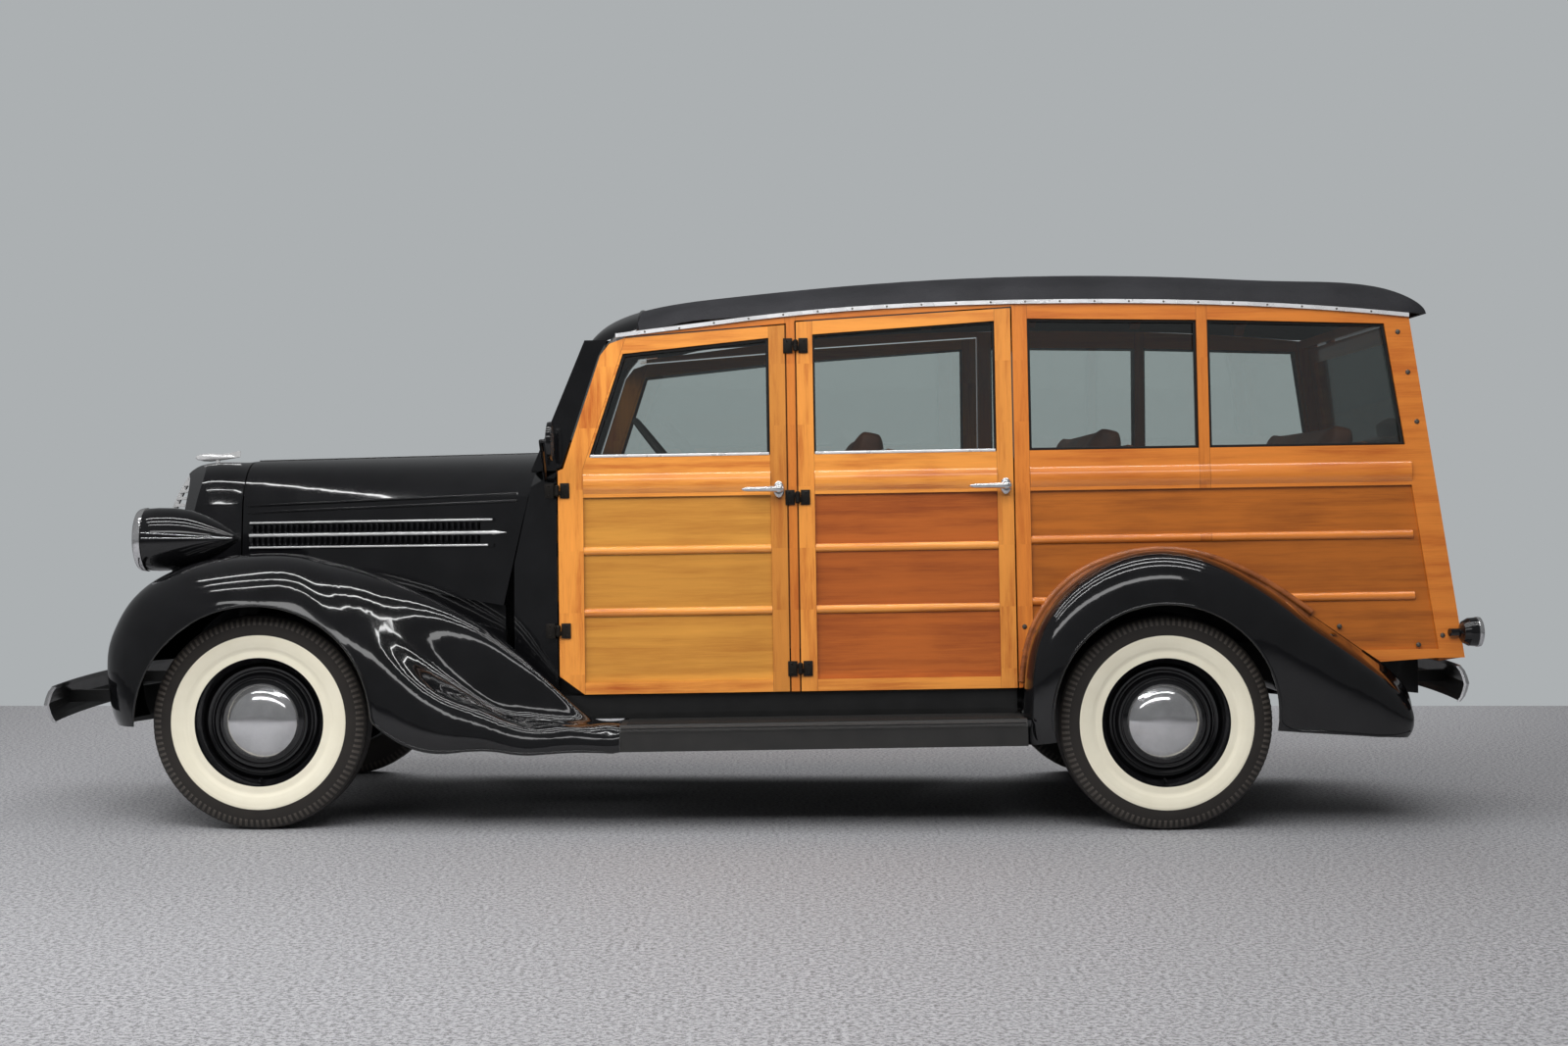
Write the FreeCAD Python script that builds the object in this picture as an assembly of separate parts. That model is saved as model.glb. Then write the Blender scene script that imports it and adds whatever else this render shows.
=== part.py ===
# Wood-bodied station wagon of the mid 1930s, in millimetres.
# +X points forward, +Y to the car's left side and +Z up; the origin is on the ground below the middle of
# the overall length. The body and chassis are modelled level and then leaned nose down by the rake.

import FreeCAD, Part
import math
import os

V = FreeCAD.Vector

# Driving dimensions of the whole car
OVERALL_LENGTH = 4760.0
WHEELBASE = 2946.0
FRONT_OVERHANG = 757.0
FRONT_TRACK = 1430.0
REAR_TRACK = 1453.0
TYRE_RADIUS = 350.0
RAKE_ANGLE = 0.9
RUN_GAP = 0.3
OVERRUN = 40.0

# Wooden body sides: the outer face leans inward from its lower edge
SIDE_HALF_WIDTH = 668.0
SIDE_BASE_Z = 439.0
TUMBLEHOME_ANGLE = 2.465
DOOR_THICKNESS = 44.0
DOOR_GAP = 5.0
PANEL_RECESS = 11.0
PANEL_THICKNESS = 16.0
BELT_LOW_Z = 1090.0
BELT_TOP_Z = 1180.0
BELT_PROUD = 9.0
WINDOW_SILL_Z = 1224.0
BATTEN_HEIGHT = 30.0
BATTEN_PROUD = 1.0
UPPER_BATTEN_Z = 912.0
LOWER_BATTEN_Z = 708.0
BOTTOM_RAIL_TOP_Z = 478.0
GLASS_THICKNESS = 5.0
GLASS_INSET = 20.0
GLASS_LAP = 8.0

# Places of the body's upright members along X
FRONT_DOOR_FRONT_X = 650.0
FRONT_DOOR_REAR_X = -110.0
REAR_DOOR_FRONT_X = -148.0
REAR_DOOR_REAR_X = -862.0
STILE_WIDTH = 54.0
QUARTER_POST_WIDTH = 50.0
QUARTER_DIVIDER_X = -1480.0
QUARTER_DIVIDER_WIDTH = 36.0
QUARTER_BOTTOM_Z = 516.0
REAR_TOP_X = -2187.0
REAR_TOP_Z = 1660.0
REAR_SLOPE = 0.135
REAR_POST_WIDTH = 81.0

# Wheels
TYRE_HALF_WIDTH = 77.0
TREAD_HALF_WIDTH = 55.0
RIM_RADIUS = 222.0
RIM_HALF_WIDTH = 62.0
WHEEL_SHEET = 6.0
HUB_CAP_RADIUS = 119.0
HUB_RADIUS = 62.0
DRUM_RADIUS = 150.0
DRUM_DEPTH = 48.0
KINGPIN_INSET = 108.0
KINGPIN_RADIUS = 14.0
AXLE_BEAM_HEIGHT = 62.0
REAR_AXLE_RADIUS = 38.0

# Fenders and running boards
FENDER_SHEET = 5.0
FENDER_CROWN_RADIUS = 575.0
FENDER_LIP_Y = 878.0
BOARD_FRONT_X = 442.0
BOARD_REAR_X = -872.0
BOARD_TOP_Z = 353.0
BOARD_SHEET = 6.0
BOARD_EDGE_Z = 268.0
BOARD_INNER_Y = 610.0
BOARD_OUTER_Y = 856.0

# Hood, cowl and nose
HOOD_SHEET = 5.0
HOOD_TOP_Z = 1252.0
HOOD_CREASE_Z = 1098.0
HOOD_FRONT_X = 1797.0
HOOD_FRONT_HALF = 232.0
COWL_HALF = 560.0
COWL_FRONT_X = 790.0
HOOD_SEAM_SLOPE = 0.236
NOSE_BOTTOM_Z = 540.0
NOSE_TIP_X = 2090.0

# Chassis
FRAME_HALF_WIDTH = 440.0
RAIL_HEIGHT = 120.0
RAIL_WIDTH = 55.0
RAIL_WALL = 6.0
FLOOR_TOP_Z = 575.0
FLOOR_THICKNESS = 24.0

# Bumpers
BUMPER_HALF_WIDTH = 800.0
BUMPER_HEIGHT = 116.0
BUMPER_MID_Z = 442.0
BUMPER_BOW = 62.0
BUMPER_SHEET = 8.0
BUMPER_RIDGE = 26.0

# Values that follow from the driving dimensions
FRONT_AXLE_X = OVERALL_LENGTH / 2 - FRONT_OVERHANG
REAR_AXLE_X = FRONT_AXLE_X - WHEELBASE
AXLE_Z = TYRE_RADIUS
RAIL_TOP_Z = FLOOR_TOP_Z - FLOOR_THICKNESS - RUN_GAP
FRONT_BUMPER_X = OVERALL_LENGTH / 2
REAR_BUMPER_X = -OVERALL_LENGTH / 2


def rear_x(z):
    """Place of the sloping rear face at a height."""
    return REAR_TOP_X - (REAR_TOP_Z - z) * REAR_SLOPE


def box(x0, x1, y0, y1, z0, z1):
    """Box between two corners given in any order."""
    low = V(min(x0, x1), min(y0, y1), min(z0, z1))
    return Part.makeBox(abs(x1 - x0), abs(y1 - y0), abs(z1 - z0), low)


def rod(start, end, radius):
    """Round bar from one point to another."""
    axis = end - start
    return Part.makeCylinder(radius, axis.Length, start, axis)


def spline(points):
    """Smooth edge through points."""
    curve = Part.BSplineCurve()
    curve.interpolate(points)
    return curve.toShape()


def chain(*runs):
    """Closed or open wire from runs of points; a run of two points is straight and a longer one smooth."""
    edges = []
    for run in runs:
        if len(run) == 2:
            edges.append(Part.makeLine(run[0], run[1]))
        else:
            edges.append(spline(run))
    return Part.Wire(edges)


def polygon_face(points):
    """Flat face with straight edges through points."""
    return Part.Face(Part.makePolygon(list(points) + [points[0]]))


def side_plate(points, inner, outer):
    """Plate on the flat side plane from (x, z) corners, between two depths along Y."""
    face = polygon_face([V(x, inner, z) for x, z in points])
    return face.extrude(V(0, outer - inner, 0))


def cross_plate(points, rear, front):
    """Plate across the car from (y, z) corners, between two places along X."""
    face = polygon_face([V(rear, y, z) for y, z in points])
    return face.extrude(V(front - rear, 0, 0))


def union(shapes):
    """One shape fused from several."""
    shapes = list(shapes)
    first = shapes[0]
    return first.multiFuse(shapes[1:]).removeSplitter() if len(shapes) > 1 else first


def largest(shape):
    """The biggest of a shape's separate solids."""
    return max(shape.Solids, key=lambda solid: solid.Volume)


def mirrored(shape):
    """The same shape on the car's other side."""
    return shape.mirror(V(0, 0, 0), V(0, 1, 0))


def on_side(shape, hand):
    """Lean a shape from the flat side plane onto the body's side; hand is 1 left and -1 right."""
    leaned = shape.copy()
    leaned.translate(V(0, 0, -SIDE_BASE_Z))
    leaned.rotate(V(0, 0, 0), V(1, 0, 0), TUMBLEHOME_ANGLE)
    leaned.translate(V(0, SIDE_HALF_WIDTH, SIDE_BASE_Z))
    return leaned if hand > 0 else mirrored(leaned)


def side_y(z):
    """Half width of the body's outer face at a height."""
    return SIDE_HALF_WIDTH - (z - SIDE_BASE_Z) * math.tan(math.radians(TUMBLEHOME_ANGLE))


def raked(shape):
    """Lean a level shape nose down by the rake."""
    turned = shape.copy()
    turned.rotate(V(0, 0, 0), V(0, 1, 0), RAKE_ANGLE)
    return turned


def save(name, shape, level=False):
    """Write one node; all but the axles and wheels are leaned by the rake first."""
    placed = shape if level else raked(shape)
    placed.exportStep(os.path.join("parts", name + ".step"))


def both(shape):
    """A left shape with its mirror image, as two solids."""
    return Part.makeCompound([shape, mirrored(shape)])


# Axles, knuckles and wheels, which stand level on the ground

SPINDLE_RADIUS = 17.0
BOSS_RADIUS = 27.0
BOSS_HEIGHT = 70.0
YOKE_THICKNESS = 18.0
BEAM_DROP = 48.0
BEAM_DEPTH = 50.0
BEAM_FLANGE_CUT = 14.0
STEERING_ARM_RADIUS = 8.0
STEERING_ARM_LENGTH = 150.0
STEERING_ARM_END_Y = 511.0
DIFFERENTIAL_RADIUS = 150.0
DIFFERENTIAL_HALF_WIDTH = 120.0
PROPELLER_RADIUS = 42.0
PROPELLER_FRONT_X = 560.0
PROPELLER_RISE = 60.0
SPRING_WIDTH = 50.0
SPRING_HALF_LENGTH = 440.0
SPRING_RISE = 40.0
SPRING_LEAF_STEP = 9.0
SPRING_LEAVES = 4
HUB_LENGTH = 66.0
BACK_PLATE_THICKNESS = 5.0

# Half section of the tyre: shares of its half width and of the height of its wall, outward from the rim
TYRE_WALL_SHARES = ((0.80, 0.0), (0.96, 0.22), (1.0, 0.46), (0.95, 0.68), (0.86, 0.84), (0.71, 0.955))
TREAD_CROWN_SHARE = 0.985

# Wheel disc: shares of the rim radius and of the rim's half width, from the drop centre to the hub
DISC_SHARES = ((0.88, 0.05), (0.80, 0.33), (0.72, 0.30), (0.64, 0.52), (0.54, 0.60), (0.28, 0.60))
CAP_SHARES = ((1.0, 0.62), (0.97, 0.80), (0.80, 1.02), (0.50, 1.20), (0.20, 1.27), (0.0, 1.28))
WELL_SHARE = 0.86
WELL_HALF_SHARE = 0.42

WHEEL_PLACES = {
    "front_left": (FRONT_AXLE_X, FRONT_TRACK / 2, 1),
    "front_right": (FRONT_AXLE_X, FRONT_TRACK / 2, -1),
    "rear_left": (REAR_AXLE_X, REAR_TRACK / 2, 1),
    "rear_right": (REAR_AXLE_X, REAR_TRACK / 2, -1),
}
KINGPIN_Y = FRONT_TRACK / 2 - KINGPIN_INSET
RIM_SEAT_RADIUS = RIM_RADIUS + WHEEL_SHEET
HUB_INNER_Y = -HUB_LENGTH / 2
SPRING_Y = FRAME_HALF_WIDTH - RAIL_WIDTH - SPRING_WIDTH / 2 - DOOR_GAP
BEAM_TOP_Z = AXLE_Z + AXLE_BEAM_HEIGHT / 2 - BEAM_DROP
SPRING_END_LIFT = SPRING_RISE + SPRING_LEAVES * SPRING_LEAF_STEP


def spun(points):
    """Ring made by turning a closed outline of (radius, y) points round the Y axis."""
    face = polygon_face([V(r, y, 0) for r, y in points])
    return face.revolve(V(0, 0, 0), V(0, 1, 0), 360)


def make_tyre():
    """Tyre round the Y axis with bulged walls and a slightly crowned tread."""
    base = RIM_SEAT_RADIUS + RUN_GAP
    height = TYRE_RADIUS - base
    wall = [(base + h * height, w * TYRE_HALF_WIDTH) for w, h in TYRE_WALL_SHARES]
    wall += [(TYRE_RADIUS * TREAD_CROWN_SHARE, TREAD_HALF_WIDTH), (TYRE_RADIUS, TREAD_HALF_WIDTH / 2)]
    return spun(wall + [(r, -y) for r, y in reversed(wall)])


def make_wheel():
    """Pressed steel wheel with its domed cap, brake drum and hub, bored for the spindle."""
    flange_y = RIM_HALF_WIDTH
    well = RIM_RADIUS * WELL_SHARE
    well_y = RIM_HALF_WIDTH * WELL_HALF_SHARE
    outer = [(RIM_SEAT_RADIUS, flange_y), (RIM_RADIUS, flange_y), (well, well_y), (well, -well_y),
             (RIM_RADIUS, -flange_y), (RIM_SEAT_RADIUS, -flange_y)]
    inner = [(RIM_SEAT_RADIUS, -flange_y + WHEEL_SHEET), (RIM_RADIUS + RUN_GAP, -flange_y + WHEEL_SHEET),
             (well + WHEEL_SHEET, -well_y), (well + WHEEL_SHEET, well_y),
             (RIM_RADIUS + RUN_GAP, flange_y - WHEEL_SHEET), (RIM_SEAT_RADIUS, flange_y - WHEEL_SHEET)]
    rim = spun(outer + inner)
    face = [(r * RIM_RADIUS, y * RIM_HALF_WIDTH) for r, y in DISC_SHARES]
    back = [(r, y - WHEEL_SHEET) for r, y in reversed(face)]
    disc = spun(face + back)
    cap_face = [(r * HUB_CAP_RADIUS, y * RIM_HALF_WIDTH) for r, y in CAP_SHARES]
    cap_back_y = DISC_SHARES[-2][1] * RIM_HALF_WIDTH
    cap = spun(cap_face + [(0, cap_back_y), (HUB_CAP_RADIUS, cap_back_y)])
    disc_y = cap_back_y - WHEEL_SHEET
    drum = spun([(0, disc_y), (DRUM_RADIUS, disc_y), (DRUM_RADIUS, disc_y - DRUM_DEPTH),
                 (DRUM_RADIUS - WHEEL_SHEET, disc_y - DRUM_DEPTH), (DRUM_RADIUS - WHEEL_SHEET,
                 disc_y - WHEEL_SHEET), (0, disc_y - WHEEL_SHEET)])
    hub = rod(V(0, HUB_INNER_Y, 0), V(0, cap_back_y, 0), HUB_RADIUS)
    bore = rod(V(0, HUB_INNER_Y - OVERRUN, 0), V(0, disc_y, 0), SPINDLE_RADIUS + RUN_GAP)
    return union([rim, disc, cap, drum, hub]).cut(bore)


def placed_wheel(shape, place):
    """A wheel piece made round the origin, moved to one of the four places."""
    x, y, hand = WHEEL_PLACES[place]
    moved = shape if hand > 0 else mirrored(shape)
    moved = moved.copy()
    moved.translate(V(x, hand * y, AXLE_Z))
    return moved


def spindle_and_plate(start_y, wheel_y):
    """Spindle from a start out to the wheel's hub, with the fixed plate that closes the drum."""
    spindle_end = wheel_y + DISC_SHARES[-2][1] * RIM_HALF_WIDTH - WHEEL_SHEET - RUN_GAP
    drum_mouth = wheel_y + DISC_SHARES[-2][1] * RIM_HALF_WIDTH - WHEEL_SHEET - DRUM_DEPTH
    plate_y = min(drum_mouth, wheel_y + HUB_INNER_Y) - DOOR_GAP
    spindle = rod(V(0, start_y, 0), V(0, spindle_end, 0), SPINDLE_RADIUS)
    plate = rod(V(0, plate_y - BACK_PLATE_THICKNESS, 0), V(0, plate_y, 0), DRUM_RADIUS)
    return [spindle, plate]


def make_knuckle():
    """Left steering knuckle: yoke round the axle's eye, kingpin, spindle and steering arm."""
    top = BOSS_HEIGHT / 2 + RUN_GAP
    reach = BOSS_RADIUS + YOKE_THICKNESS
    parts = spindle_and_plate(KINGPIN_Y + BOSS_RADIUS + DOOR_GAP, FRONT_TRACK / 2)
    for sign in (1, -1):
        ear = rod(V(0, KINGPIN_Y, sign * top), V(0, KINGPIN_Y, sign * (top + YOKE_THICKNESS)), BOSS_RADIUS)
        link = box(-BOSS_RADIUS, BOSS_RADIUS, KINGPIN_Y, KINGPIN_Y + reach,
                   sign * top, sign * (top + YOKE_THICKNESS))
        parts += [ear, link]
    web = box(-BOSS_RADIUS, BOSS_RADIUS, KINGPIN_Y + BOSS_RADIUS + DOOR_GAP, KINGPIN_Y + reach,
              -top - YOKE_THICKNESS, top + YOKE_THICKNESS)
    pin = rod(V(0, KINGPIN_Y, -top - YOKE_THICKNESS), V(0, KINGPIN_Y, top + YOKE_THICKNESS), KINGPIN_RADIUS)
    arm_z = -top - YOKE_THICKNESS / 2
    arm = rod(V(0, KINGPIN_Y + RUN_GAP, arm_z), V(-STEERING_ARM_LENGTH, STEERING_ARM_END_Y, arm_z),
              STEERING_ARM_RADIUS)
    shape = union(parts + [web, pin, arm])
    shape.translate(V(FRONT_AXLE_X, 0, AXLE_Z))
    return shape


def make_front_axle():
    """Dropped I-section beam with an eye for each kingpin."""
    half = AXLE_BEAM_HEIGHT / 2
    end_y = KINGPIN_Y
    knee_y = SPRING_Y + SPRING_WIDTH / 2 + BEAM_DROP
    neck_y = end_y - 2 * BOSS_RADIUS - YOKE_THICKNESS
    top = [(-end_y, half), (-neck_y, half), (-knee_y, half - BEAM_DROP)]
    low = [(-knee_y, -half - BEAM_DROP), (-neck_y, -half), (-end_y, -half)]
    outline = top + [(-y, z) for y, z in reversed(top)] + [(-y, z) for y, z in reversed(low)] + low
    beam = cross_plate(outline, -BEAM_DEPTH / 2, BEAM_DEPTH / 2)
    slot_half = half - BEAM_FLANGE_CUT
    slot = [(-knee_y, slot_half - BEAM_DROP), (knee_y, slot_half - BEAM_DROP),
            (knee_y, -slot_half - BEAM_DROP), (-knee_y, -slot_half - BEAM_DROP)]
    front_slot = cross_plate(slot, BEAM_FLANGE_CUT / 2, BEAM_DEPTH / 2 + OVERRUN)
    rear_slot = cross_plate(slot, -BEAM_DEPTH / 2 - OVERRUN, -BEAM_FLANGE_CUT / 2)
    parts = [beam.cut(front_slot).cut(rear_slot)]
    for sign in (1, -1):
        start = V(0, sign * end_y, -BOSS_HEIGHT / 2)
        parts.append(rod(start, start + V(0, 0, BOSS_HEIGHT), BOSS_RADIUS))
    shape = union(parts)
    for sign in (1, -1):
        start = V(0, sign * end_y, -BOSS_HEIGHT)
        shape = shape.cut(rod(start, start + V(0, 0, 2 * BOSS_HEIGHT), KINGPIN_RADIUS + RUN_GAP))
    shape.translate(V(FRONT_AXLE_X, 0, AXLE_Z))
    return shape


def make_rear_axle():
    """Rear axle tubes with the differential, the drum plates and the propeller shaft's tube."""
    spindle_start = REAR_TRACK / 2 - HUB_LENGTH
    bulge = [V(0, -DIFFERENTIAL_HALF_WIDTH, 0), V(0, -DIFFERENTIAL_HALF_WIDTH, REAR_AXLE_RADIUS),
             V(0, 0, DIFFERENTIAL_RADIUS), V(0, DIFFERENTIAL_HALF_WIDTH, REAR_AXLE_RADIUS),
             V(0, DIFFERENTIAL_HALF_WIDTH, 0)]
    outline = chain(bulge[0:2], bulge[1:4], bulge[3:5], [bulge[4], bulge[0]])
    housing = Part.Face(outline).revolve(V(0, 0, 0), V(0, 1, 0), 360)
    parts = [housing, rod(V(0, -spindle_start, 0), V(0, spindle_start, 0), REAR_AXLE_RADIUS)]
    ends = spindle_and_plate(spindle_start, REAR_TRACK / 2)
    parts += ends + [mirrored(piece) for piece in ends]
    shape = union(parts)
    shape.translate(V(REAR_AXLE_X, 0, AXLE_Z))
    shaft = rod(V(REAR_AXLE_X, 0, AXLE_Z), V(PROPELLER_FRONT_X, 0, AXLE_Z + PROPELLER_RISE), PROPELLER_RADIUS)
    return union([shape, shaft])


def spring_leaf(length, lift):
    """One leaf of a spring: a bowed strip that rises to both ends."""
    rise = SPRING_RISE * (length / SPRING_HALF_LENGTH) ** 2
    low = [V(-length, 0, rise + lift), V(0, 0, lift), V(length, 0, rise + lift)]
    high = [p + V(0, 0, SPRING_LEAF_STEP - RUN_GAP) for p in reversed(low)]
    outline = Part.Wire([Part.Arc(*low).toShape(), Part.makeLine(low[2], high[0]),
                         Part.Arc(*high).toShape(), Part.makeLine(high[2], low[0])])
    leaf = Part.Face(outline).extrude(V(0, SPRING_WIDTH, 0))
    leaf.translate(V(0, -SPRING_WIDTH / 2, 0))
    return leaf


def make_spring(x, y, base_z):
    """Leaf spring with its stepped pack and the clamp that carries it on the axle."""
    parts = []
    for index in range(SPRING_LEAVES):
        share = (index + 1) / SPRING_LEAVES
        parts.append(spring_leaf(SPRING_HALF_LENGTH * share, index * (SPRING_LEAF_STEP - RUN_GAP)))
    pad = box(-SPRING_WIDTH, SPRING_WIDTH, -SPRING_WIDTH / 2, SPRING_WIDTH / 2,
              0, SPRING_LEAVES * SPRING_LEAF_STEP + SPRING_LEAF_STEP)
    shape = union(parts + [pad])
    shape.translate(V(x, y, base_z))
    return shape


# Fenders and running boards

# The wheel centres as seen from the leaned body
RAKE_SINE = math.sin(math.radians(RAKE_ANGLE))
RAKE_COSINE = math.cos(math.radians(RAKE_ANGLE))
FRONT_ARCH_X = FRONT_AXLE_X * RAKE_COSINE - AXLE_Z * RAKE_SINE
FRONT_ARCH_Z = FRONT_AXLE_X * RAKE_SINE + AXLE_Z * RAKE_COSINE
REAR_ARCH_X = REAR_AXLE_X * RAKE_COSINE - AXLE_Z * RAKE_SINE
REAR_ARCH_Z = REAR_AXLE_X * RAKE_SINE + AXLE_Z * RAKE_COSINE

# Front fender, fan of sections round the wheel from the nose to the top: angle, then the crown's radius
# as a share of the crown radius at the top
FRONT_FAN_SHARES = ((0.0, 0.84), (9.0, 0.895), (19.0, 0.952), (29.0, 1.005), (39.0, 1.03), (49.0, 1.032),
                    (59.0, 1.008), (70.0, 0.978), (80.0, 0.955))
FRONT_TOP_RADIUS_SHARE = 0.948

# One section of the front fender's dome: share of the half width, share of the drop from crown to lip
FRONT_DOME_SHARES = ((0.342, 0.70), (0.44, 0.32), (0.58, 0.07), (0.746, 0.0), (0.865, 0.115), (0.945, 0.38),
                     (0.984, 0.66), (0.996, 0.84), (1.0, 1.0))

# Sections of the tail, from the wheel's top to the running board: place along the tail, then share of the
# half width and share of the crown's height above the board's edge for each point
FRONT_TAIL_SHARES = (
    (0.0, ((0.391, 0.790), (0.44, 0.895), (0.58, 0.977), (0.746, 1.0), (0.865, 0.962), (0.945, 0.872),
           (0.984, 0.775), (0.996, 0.715), (1.0, 0.662))),
    (0.142, ((0.436, 0.740), (0.490, 0.862), (0.592, 0.945), (0.746, 0.968), (0.862, 0.922), (0.943, 0.815),
             (0.982, 0.690), (0.995, 0.600), (1.0, 0.510))),
    (0.278, ((0.4795, 0.680), (0.530, 0.785), (0.615, 0.868), (0.745, 0.898), (0.850, 0.832), (0.930, 0.680),
             (0.975, 0.540), (0.994, 0.430), (1.0, 0.264))),
    (0.415, ((0.523, 0.601), (0.575, 0.695), (0.650, 0.778), (0.742, 0.800), (0.825, 0.708), (0.905, 0.490),
             (0.960, 0.400), (0.990, 0.300), (0.996, 0.050))),
    (0.551, ((0.5665, 0.509), (0.620, 0.586), (0.685, 0.660), (0.745, 0.672), (0.810, 0.540), (0.878, 0.292),
             (0.945, 0.262), (0.978, 0.205), (0.986, 0.010))),
    (0.687, ((0.664, 0.371), (0.690, 0.440), (0.723, 0.497), (0.761, 0.508), (0.812, 0.355), (0.866, 0.168),
             (0.938, 0.165), (0.969, 0.120), (0.979, 0.003))),
    (0.823, ((0.769, 0.204), (0.778, 0.250), (0.790, 0.282), (0.805, 0.288), (0.832, 0.210), (0.872, 0.138),
             (0.936, 0.136), (0.967, 0.098), (0.977, 0.0))),
    (0.925, ((0.769, 0.134), (0.780, 0.138), (0.794, 0.142), (0.811, 0.143), (0.837, 0.136), (0.872, 0.1305),
             (0.936, 0.1305), (0.966, 0.095), (0.976, 0.0))),
    (1.0, ((0.743, 0.1305), (0.757, 0.1305), (0.775, 0.1305), (0.797, 0.1305), (0.831, 0.1305),
           (0.872, 0.1305), (0.936, 0.1305), (0.965, 0.095), (0.975, 0.0))),
)

# Rear fender, fan of sections: angle, crown share, seam share (both of the crown radius at the top) and
# share of the half width
REAR_FAN_SHARES = (
    (-8.0, 0.822, 0.822, 0.985), (4.0, 0.830, 0.822, 0.99), (16.0, 0.850, 0.829, 0.995),
    (30.0, 0.903, 0.893, 1.0), (45.0, 0.948, 0.942, 1.0), (60.0, 0.978, 0.980, 1.0),
    (76.0, 0.998, 0.988, 1.0), (92.0, 1.0, 0.998, 1.0), (107.0, 0.982, 1.0, 1.0),
    (121.0, 0.968, 1.004, 1.0), (134.0, 0.982, 1.036, 1.0), (146.0, 1.027, 1.090, 0.996),
    (156.0, 1.115, 1.185, 0.99), (165.0, 1.235, 1.322, 0.982), (173.0, 1.375, 1.470, 0.972),
    (180.0, 1.455, 1.500, 0.962), (184.5, 1.425, 1.455, 0.958))
REAR_CROWN_RADIUS = 557.0
REAR_SEAM_Y = 652.0
REAR_DOME_SHARES = ((0.0, 0.0), (0.20, 0.0), (0.40, 0.0), (0.60, 0.0), (0.79, 0.10), (0.91, 0.29),
                    (0.98, 0.60), (1.0, 1.0))
REAR_BLEND_SHARES = (0.0, 0.30, 0.65, 1.0)
LIP_RADIUS_SHARE = 0.90
REAR_OPENING_RADIUS = 364.0
REAR_OPENING_SHIFT_X = 10.0
REAR_OPENING_SHIFT_Z = 23.0
OPENING_DEPTH_Y = 812.0
BOARD_RIBS = 17
BOARD_RIB_WIDTH = 5.0
BOARD_RIB_HEIGHT = 3.0
BOARD_RIB_MARGIN = 22.0
FRONT_OPENING_RADIUS = 381.0
FRAME_HORN_X = 1880.0
HOOD_SEAM_GAP = 5.0
HOOD_SILL_SPREAD = 68.0


def offset_inward(points, distance):
    """Points moved to the inner side of an open outline that runs from inboard to outboard over the top."""
    moved = []
    last = len(points) - 1
    for index, (y, z) in enumerate(points):
        y0, z0 = points[max(index - 1, 0)]
        y1, z1 = points[min(index + 1, last)]
        length = math.hypot(y1 - y0, z1 - z0)
        moved.append((y + (z1 - z0) / length * distance, z - (y1 - y0) / length * distance))
    return moved


def sheet_section(points, place):
    """Closed thin section of a pressed sheet; place turns (y, height) into a point of the section's plane."""
    outer = [place(y, h) for y, h in points]
    inner = [place(y, h) for y, h in offset_inward(points, FENDER_SHEET)]
    inner.reverse()
    return Part.Wire([spline(outer), Part.makeLine(outer[-1], inner[0]), spline(inner),
                      Part.makeLine(inner[-1], outer[0])])


def fan_place(x, z, angle):
    """Function that places (y, radius) in the plane at an angle round a wheel's centre."""
    cosine = math.cos(math.radians(angle))
    sine = math.sin(math.radians(angle))
    return lambda y, radius: V(x + radius * cosine, y, z + radius * sine)


def make_front_fender():
    """Left front fender: dome over the wheel and the tail that sweeps down into the running board."""
    sections = []
    lip = FRONT_OPENING_RADIUS * LIP_RADIUS_SHARE
    for angle, share in FRONT_FAN_SHARES:
        crown = FENDER_CROWN_RADIUS * share
        points = [(y * FENDER_LIP_Y, crown - drop * (crown - lip)) for y, drop in FRONT_DOME_SHARES]
        sections.append(sheet_section(points, fan_place(FRONT_ARCH_X, FRONT_ARCH_Z, angle)))
    crown_z = FRONT_ARCH_Z + FENDER_CROWN_RADIUS * FRONT_TOP_RADIUS_SHARE
    for place, table_shares in FRONT_TAIL_SHARES:
        x = FRONT_ARCH_X + (BOARD_FRONT_X - FRONT_ARCH_X) * place
        points = [(y * FENDER_LIP_Y, BOARD_EDGE_Z + h * (crown_z - BOARD_EDGE_Z)) for y, h in table_shares]
        sections.append(sheet_section(points, lambda y, h, x=x: V(x, y, h)))
    shell = Part.makeLoft(sections, True, False)
    opening = rod(V(FRONT_ARCH_X, OPENING_DEPTH_Y, FRONT_ARCH_Z),
                  V(FRONT_ARCH_X, FENDER_LIP_Y + OVERRUN, FRONT_ARCH_Z), FRONT_OPENING_RADIUS)
    horn = box(FRAME_HORN_X, FRONT_BUMPER_X, 0, FRAME_HALF_WIDTH + FENDER_SHEET, 0, RAIL_TOP_Z + FENDER_SHEET)
    (front_x, front_y), (rear_x, rear_y) = hood_sill_line(RUN_GAP)
    plan = polygon_face([V(front_x, front_y, 0), V(rear_x, rear_y, 0), V(rear_x, 0, 0), V(front_x, 0, 0)])
    return largest(shell.cut(opening).cut(horn).cut(plan.extrude(V(0, 0, HOOD_TOP_Z))))


def hood_sill_line(offset):
    """Front and rear end in plan of the line on which the hood's side panel and the fender meet."""
    front = (HOOD_FRONT_X + HOOD_SEAM_GAP - RUN_GAP, HOOD_FRONT_HALF + HOOD_SILL_SPREAD + offset)
    rear = (COWL_FRONT_X + STILE_WIDTH, COWL_HALF - HOOD_SILL_SPREAD / 2 + offset)
    return front, rear


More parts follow.
